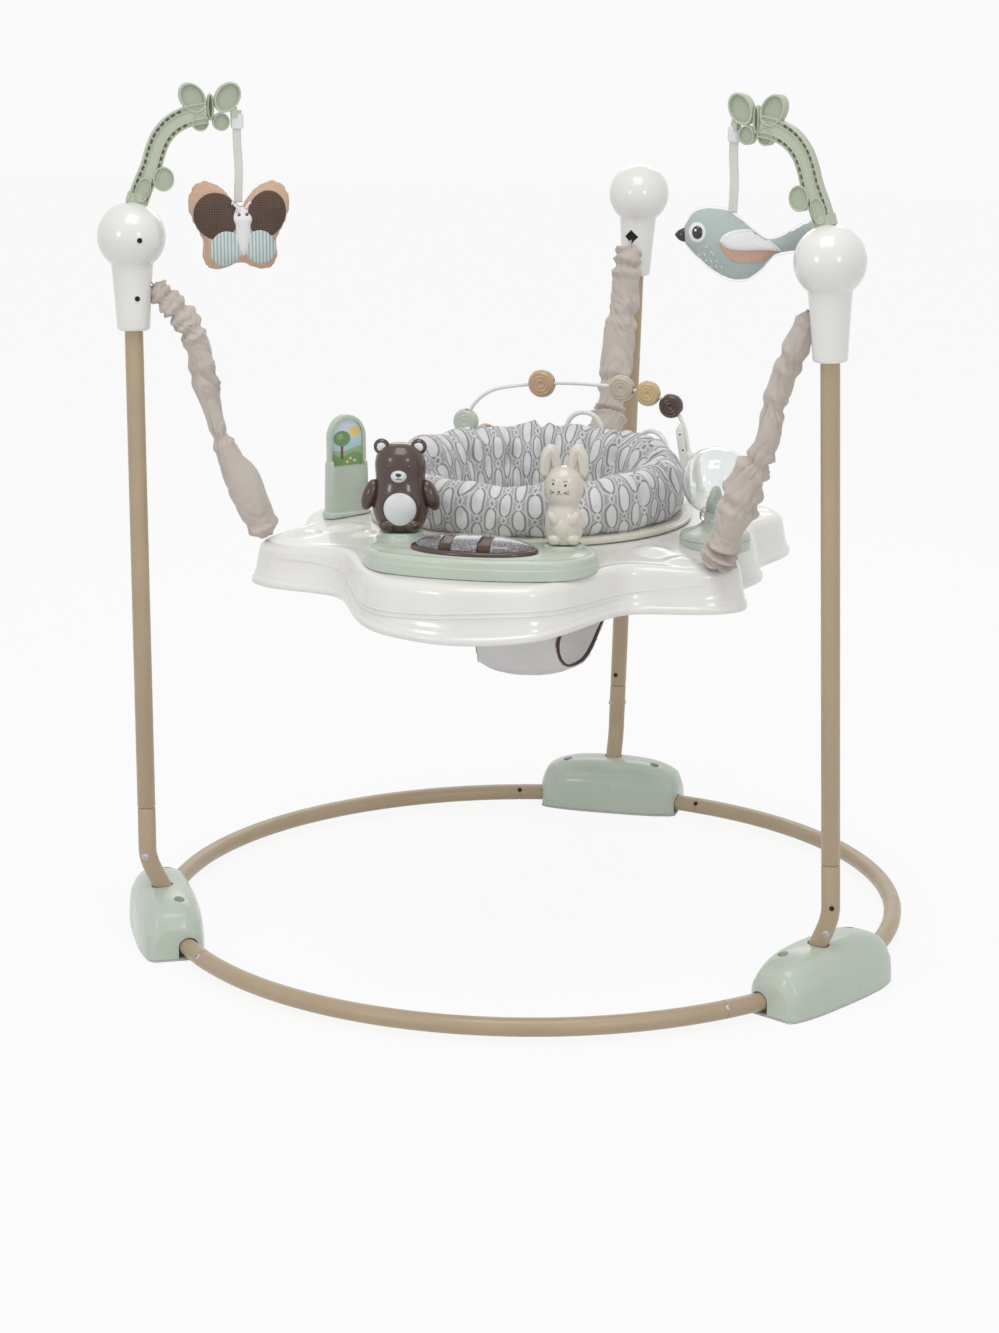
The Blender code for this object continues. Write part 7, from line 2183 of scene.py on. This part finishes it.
def ribbon(name, node, side, drop, turn):
    """Two close layers of tape, sewn into a loop, with a pale grey keeper at the top."""
    top = hang_point(side)
    place = Matrix.Translation(top) @ Matrix.Rotation(math.radians(turn), 4, "Z")
    line = [(-0.0011, -drop), (-0.0012, -drop * 0.75), (-0.0009, -drop * 0.5), (-0.0012, -drop * 0.25),
            (-0.0013, -0.006), (-0.0011, -0.0014), (0.0, -0.0003), (0.0011, -0.0014), (0.0013, -0.006),
            (0.0012, -drop * 0.25), (0.0009, -drop * 0.5), (0.0012, -drop * 0.75), (0.0011, -drop)]
    path = smooth_path([Vector((0, y, z)) for y, z in line], 150)
    bm = bmesh.new()
    layer = bm.loops.layers.uv.new("cloth")
    rows = []
    columns = 9
    for k, point in enumerate(path):
        wave = 0.0006 * math.sin(point.z * 95 + 1.0)
        rows.append([bm.verts.new(point + Vector((0.0085 * (i / (columns - 1) - 0.5) + wave, 0, 0)))
                     for i in range(columns)])
    length = sum((b - a).length for a, b in zip(path, path[1:]))
    for k in range(len(rows) - 1):
        for i in range(columns - 1):
            face = bm.faces.new((rows[k][i], rows[k][i + 1], rows[k + 1][i + 1], rows[k + 1][i]))
            for loop, (u, v) in zip(face.loops, ((i, k), (i + 1, k), (i + 1, k + 1), (i, k + 1))):
                loop[layer].uv = (u / (columns - 1) * 0.0085, v / len(rows) * length)
    tape = to_object(name, bm, RIBBON_CLOTH, place, sharp=80)
    step = tape.modifiers.new("cloth_thickness", "SOLIDIFY")
    step.thickness = 0.0006
    step.offset = 0
    settle(tape)
    stands_for(tape, node)
    lines = []
    for face in (-1, 1):
        for x in (-0.0033, 0.0033):
            lines.append([(place @ (Vector((x + 0.0006 * math.sin(p.z * 95 + 1.0), p.y + face * 0.0004, p.z))),
                           place.to_3x3() @ Vector((0, face, 0)))
                          for p in (path[8:56:4] if face < 0 else path[94:142:4])])
    seams = along_lines(f"{name}_stitches", lines, STITCH, 0.0022, (0.0015, 0.0004, 0.0004), THREAD)
    goes_with(seams, node)
    keeper = []
    for k, (wide, z) in enumerate(((0.0050, -0.0185), (0.0064, -0.0180), (0.0066, -0.0170), (0.0066, -0.0050),
                                   (0.0064, -0.0040), (0.0050, -0.0036))):
        keeper.append([Vector((math.copysign(abs(math.cos(a)) ** 0.4, math.cos(a)) * wide,
                               math.copysign(abs(math.sin(a)) ** 0.4, math.sin(a)) * 0.0031, z))
                       for a in (2 * math.pi * (i + 0.5) / 32 for i in range(32))])
    frosted = goes_with(to_object(f"{name}_keeper", skin(keeper), PALE_GREY, place), node)


def wing_radius(turn):
    from_top = abs((math.degrees(turn) - 90 + 180) % 360 - 180)
    lobes = [(0, 0.36), (48, 1.05), (109, 0.72), (142, 0.90), (180, 0.68)]
    return 0.059 * table_value(lobes, from_top)


def from_wings(turn, share):
    return (wing_radius(turn) * share * math.cos(turn), wing_radius(turn) * share * math.sin(turn))


def as_point(px, py):
    """A point on the butterfly from the drawing it was taken off."""
    return ((170 + px / 5 - 238) * 0.00098, (226 - 70 - py / 5) * 0.00098)


def oval(low_x, high_x, low_y, high_y, turn=0.0, count=40):
    (x0, z1), (x1, z0) = as_point(low_x, low_y), as_point(high_x, high_y)
    return ellipse(((x0 + x1) / 2, (z0 + z1) / 2), ((x1 - x0) / 2, (z1 - z0) / 2), count, turn)


def make_butterfly():
    top = hang_point("left")
    place = Matrix.Translation(top + Vector((0, 0, -0.118))) @ Matrix.Rotation(math.radians(22.0), 4, "Z")
    levels = [(0.25, -0.95), (0.55, -0.9), (0.82, -0.65), (0.95, -0.28), (0.985, 0.0), (0.95, 0.28), (0.82, 0.65),
              (0.55, 0.9), (0.25, 0.95)]
    rings = []
    for scale, depth in levels:
        ring = []
        for i in range(120):
            turn = 2 * math.pi * i / 120
            x, z = from_wings(turn, scale)
            ring.append(Vector((x * 1.065, depth * 0.0105, z * 1.055)))
        rings.append(ring)
    bm = puffed(skin(rings), 0.0036, 0.0034, 3.0)
    find = surface_of(bm.copy())
    # The seam round the rim draws the cloth in.
    for vert in bm.verts:
        flat = math.hypot(vert.co.x, vert.co.z)
        edge = wing_radius(math.atan2(vert.co.z, vert.co.x))
        near = math.exp(-((flat - edge * 0.93) / 0.0022) ** 2) if abs(vert.co.y) > 0.001 else 0.0
        spot = vert.co * 130
        vert.co.y -= math.copysign(0.0007 * near, vert.co.y)
        vert.co += 0.0005 * Vector((noise.noise(spot), noise.noise(spot + Vector((9, 0, 0))),
                                    noise.noise(spot + Vector((0, 9, 0)))))
    plush_body = to_object("butterfly_cover", bm, TAN_PLUSH, place, sharp=180)
    stands_for(plush_body, "butterfly_plush")

    panels, stripes, stitched = bmesh.new(), bmesh.new(), []
    for side in (-1, 1):
        for outline in (oval(100, 334, 600, 842, 14), oval(384, 584, 590, 834, -14)):
            patch(find, outline, flat_rows(0.0011), panels, 0, side)
            stitched.append((outline, side, 1.045))
        for outline in (oval(182, 350, 796, 986, -14), oval(366, 528, 792, 974, 14)):
            patch(find, outline, flat_rows(0.0012), stripes, 0, side)
            stitched.append((outline, side, 1.05))
    follow = [to_object("butterfly_wing_panels", flat_map(panels), MESH_CLOTH, place, sharp=80),
              to_object("butterfly_tail_panels", flat_map(stripes), STRIPES, place, sharp=80)]
    lines = []
    for outline, side, grow in stitched:
        mx = sum(x for x, _ in outline) / len(outline)
        mz = sum(z for _, z in outline) / len(outline)
        ring = [(mx + (x - mx) * grow, mz + (z - mz) * grow) for x, z in outline + outline[:1]]
        points = line_on(find, ring, 0.0002, side)
        lines.append([(place @ p, place.to_3x3() @ Vector((0, side, 0))) for p in points])
    for side in (-1, 1):
        ring = [from_wings(2 * math.pi * i / 160, 0.93) for i in range(161)]
        points = line_on(find, ring, -0.0004, side)
        lines.append([(place @ p, place.to_3x3() @ Vector((0, side, 0))) for p in points])
    follow.append(along_lines("butterfly_seams", lines, STITCH, 0.0021, (0.0015, 0.00045, 0.00045), THREAD))

    # The body: a soft head and a tail that tapers between the wings.
    body = bmesh.new()
    face = bmesh.new()
    for side in (-1, 1):
        spots = [as_point(358, y) for y in (676, 692, 715, 740, 762, 790, 830, 870, 905, 925)]
        widths = [0.0044, 0.0086, 0.0104, 0.0102, 0.0086, 0.0080, 0.0074, 0.0060, 0.0040, 0.0018]
        line = smooth_path([Vector((x, 0, z)) for x, z in spots], 36)
        wide = smooth_path([Vector((w, 0, 0)) for w in widths], 36)
        rings = []
        for p, w in zip(line, wide):
            ground = find(p.x, p.z, side).y
            depth = max(w.x * 0.62, 0.0008)
            rings.append([Vector((p.x + w.x * math.cos(a), ground - side * 0.001
                                  + side * (depth * math.sin(a) if math.sin(a) > 0 else 0.001 * math.sin(a)), p.z))
                          for a in (2 * math.pi * i / 28 for i in range(28))])
        skin(rings, bm=body)
        for (x1, y1), (x2, y2) in (((340, 688), (300, 655)), ((376, 684), (402, 650))):
            start, end = as_point(x1, y1), as_point(x2, y2)
            points = [(start[0] + (end[0] - start[0]) * t, start[1] + (end[1] - start[1]) * t
                       + 0.0012 * math.sin(math.pi * t)) for t in (k / 10 for k in range(11))]
            level = find(*as_point(358, 690), side).y + side * 0.0016
            sweep([Vector((x, side * max(abs(find(x, z, side).y) + 0.0012, abs(level)), z)) for x, z in points],
                  [0.0014] * 9 + [0.0019, 0.0021], 12, bm=body)
        if side < 0:
            ground = find(*as_point(358, 715)).y
            for x, y in ((338, 714), (378, 711)):
                px, pz = as_point(x, y)
                ball((0.0017, 0.0009, 0.0019), (px, ground - 0.0049, pz), None, 20, 12, bm=face)
                # A small white dot in each eye is a painted highlight.
                ball((0.0005, 0.0004, 0.0005), (px - 0.0005, ground - 0.0058, pz + 0.0006), None, 10, 8, bm=face,
                     finish=1)
            smile = [as_point(344 + 28 * t, 738 + 7 * math.sin(math.pi * t)) for t in (k / 12 for k in range(13))]
            sweep([Vector((x, ground - 0.0052 + 30 * (x - smile[6][0]) ** 2, z)) for x, z in smile],
                  [0.00035] * 13, 6, bm=face)
    follow.append(to_object("butterfly_body", body, WHITE_PLUSH, place, sharp=180))
    follow.append(to_object("butterfly_face", face, [INK, EYE_HIGHLIGHT], place))
    for piece in follow:
        goes_with(piece, "butterfly_plush")
    ribbon("butterfly_tape", "butterfly_ribbon", "left", 0.118 - wing_radius(math.pi / 2 + math.atan2(
        0.00425, wing_radius(math.pi / 2))) + 0.0020, 22.0)


BIRD = [(-0.0570, 0.0085, 0.0035, 0.20), (-0.0530, 0.0086, 0.0100, 0.45), (-0.0430, 0.0100, 0.0220, 0.80),
        (-0.0286, 0.0052, 0.0305, 0.97), (-0.0095, -0.0020, 0.0345, 1.0), (0.0095, -0.0090, 0.0275, 0.85),
        (0.0238, -0.0095, 0.0165, 0.60), (0.0340, -0.0040, 0.0095, 0.42), (0.0476, 0.0005, 0.0110, 0.34),
        (0.0630, 0.0060, 0.0145, 0.30), (0.0730, 0.0105, 0.0130, 0.20)]


def make_bird():
    top = hang_point("right")
    place = Matrix.Translation(top + Vector((0, 0, -0.115))) @ Matrix.Rotation(math.radians(15.0), 4, "Z")
    line = smooth_path([Vector((x, axis, half)) for x, axis, half, _ in BIRD[1:]], 70)
    wide = smooth_path([Vector((share, 0, 0)) for _, _, _, share in BIRD[1:]], 70)
    rings = []
    for p, w in zip(line, wide):
        ring = []
        for i in range(40):
            a = 2 * math.pi * i / 40
            across = math.copysign(abs(math.cos(a)) ** 1.15, math.cos(a))
            ring.append(Vector((p.x + 0.006, 0.0176 * w.x * across, p.y + (p.z * 0.965 - 0.0008) * math.sin(a))))
        rings.append(ring)
    bm = puffed(skin(rings), 0.0034, 0.0030, 3.0)
    for vert in bm.verts:
        spot = vert.co * 120
        vert.co += 0.0006 * Vector((noise.noise(spot), noise.noise(spot + Vector((9, 0, 0))),
                                    noise.noise(spot + Vector((0, 9, 0)))))
    find = surface_of(bm.copy())
    cover = to_object("bird_cover", bm, BLUE_PLUSH, place, sharp=180)
    stands_for(cover, "bird_body")

    parts, face = bmesh.new(), bmesh.new()
    lines = []
    wing = [(-0.0072, 0.0035), (-0.0035, 0.0092), (0.0040, 0.0128), (0.0130, 0.0142), (0.0225, 0.0138),
            (0.0330, 0.0100), (0.0440, 0.0020), (0.0543, -0.0072), (0.0440, -0.0065), (0.0330, -0.0058),
            (0.0225, -0.0058), (0.0120, -0.0055), (0.0030, -0.0040), (-0.0035, -0.0008)]
    wing = [(p.x - 0.0070, p.z) for p in smooth_path([Vector((x, 0, z)) for x, z in wing + wing[:1]], 85)][:-1]
    for side in (-1, 1):
        shift = [(x, z - 0.0022 - 0.0095 * ease((x + 0.019) / 0.02) * ease((0.053 - x) / 0.03)) for x, z in wing]
        patch(find, shift, flat_rows(0.0010), parts, 1, side)
        patch(find, wing, [(0.001, 0.0040), (0.3, 0.0040), (0.6, 0.0036), (0.8, 0.0030), (0.92, 0.0022),
                           (0.98, 0.0012), (1.0, -0.001)], parts, 0, side)
        lines.append([(place @ p, place.to_3x3() @ Vector((0, side, 0))) for p in
                      line_on(find, [(0.011 + (x - 0.011) * 0.88, 0.003 + (z - 0.003) * 0.84)
                                     for x, z in wing + wing[:1]], 0.0033, side)])
        centre = (-0.0352, 0.0115)
        patch(find, ellipse(centre, (0.0080, 0.0096), 36), domed_rows(0.0013), face, 2, side)
        patch(find, ellipse(centre, (0.0054, 0.0068), 32), domed_rows(0.0026), face, 0, side)
        # A small white dot on the pupil is a painted highlight.
        patch(find, ellipse((centre[0] - 0.0018, centre[1] + 0.0022), (0.0015, 0.0017), 16), domed_rows(0.0031),
              face, 1, side)
        for row, (z, first, last) in enumerate(((-0.0100, -0.0375, -0.0230), (-0.0160, -0.0330, -0.0150),
                                                (-0.0220, -0.0260, -0.0080))):
            x = first + 0.002 * (row % 2)
            while x < last:
                points = [(x - 0.0008, z + 0.0013), (x, z), (x + 0.0008, z - 0.0013)]
                sweep(line_on(find, points, 0.0002, side), [0.0003, 0.0007, 0.0003], 8, bm=parts, finish=0)
                x += 0.0050
    # The middle seam runs round the body's outline.
    ring = []
    for p in line[3:-3:2]:
        ring.append((Vector((p.x + 0.006, 0.0, p.y + p.z * 0.985)), Vector((0, 0, 1))))
    lines.append([(place @ p, way) for p, way in ring])
    lines.append([(place @ Vector((p.x + 0.006, 0.0, p.y - p.z * 0.985)), Vector((0, 0, -1))) for p in line[3:-3:2]])
    beak = smooth_path([Vector((-0.0445, 0, 0.0085)), Vector((-0.0500, 0, 0.0080)), Vector((-0.0560, 0, 0.0078)),
                        Vector((-0.0600, 0, 0.0080))], 18)
    wides = [0.0074 * math.cos(math.pi / 2 * (k / 17) ** 1.3) + 0.0004 for k in range(18)]
    beak_bm = bmesh.new()
    rings = []
    for p, w in zip(beak, wides):
        rings.append([Vector((p.x + 0.004, w * 0.9 * math.cos(a), p.z + w * math.sin(a)))
                      for a in (2 * math.pi * i / 28 for i in range(28))])
    skin(rings, bm=beak_bm)
    pieces = [to_object("bird_wings", parts, [WHITE_PLUSH, TAN_FELT], place, sharp=80),
              to_object("bird_eyes", face, [INK, EYE_HIGHLIGHT, WHITE_PLUSH], place, sharp=80),
              to_object("bird_beak", beak_bm, INK, place, sharp=80),
              along_lines("bird_seams", lines, STITCH, 0.0022, (0.0016, 0.00045, 0.00045), THREAD)]
    for piece in pieces:
        goes_with(piece, "bird_body")
    ribbon("bird_tape", "bird_ribbon", "right", 0.115 - 0.0290, 15.0)


make_stage()
make_ring()
make_legs()
make_fasteners()
make_caps()
make_feet()
make_arches()
make_springs()
make_sleeves()
make_tray()
make_console()
make_bear()
make_bunny()
make_tower()
make_dome()
make_beads()
make_loops()
make_spinner()
make_seat()
make_butterfly()
make_bird()

for shape in (STITCH, SLOT, SCREW):
    bpy.data.objects.remove(shape)
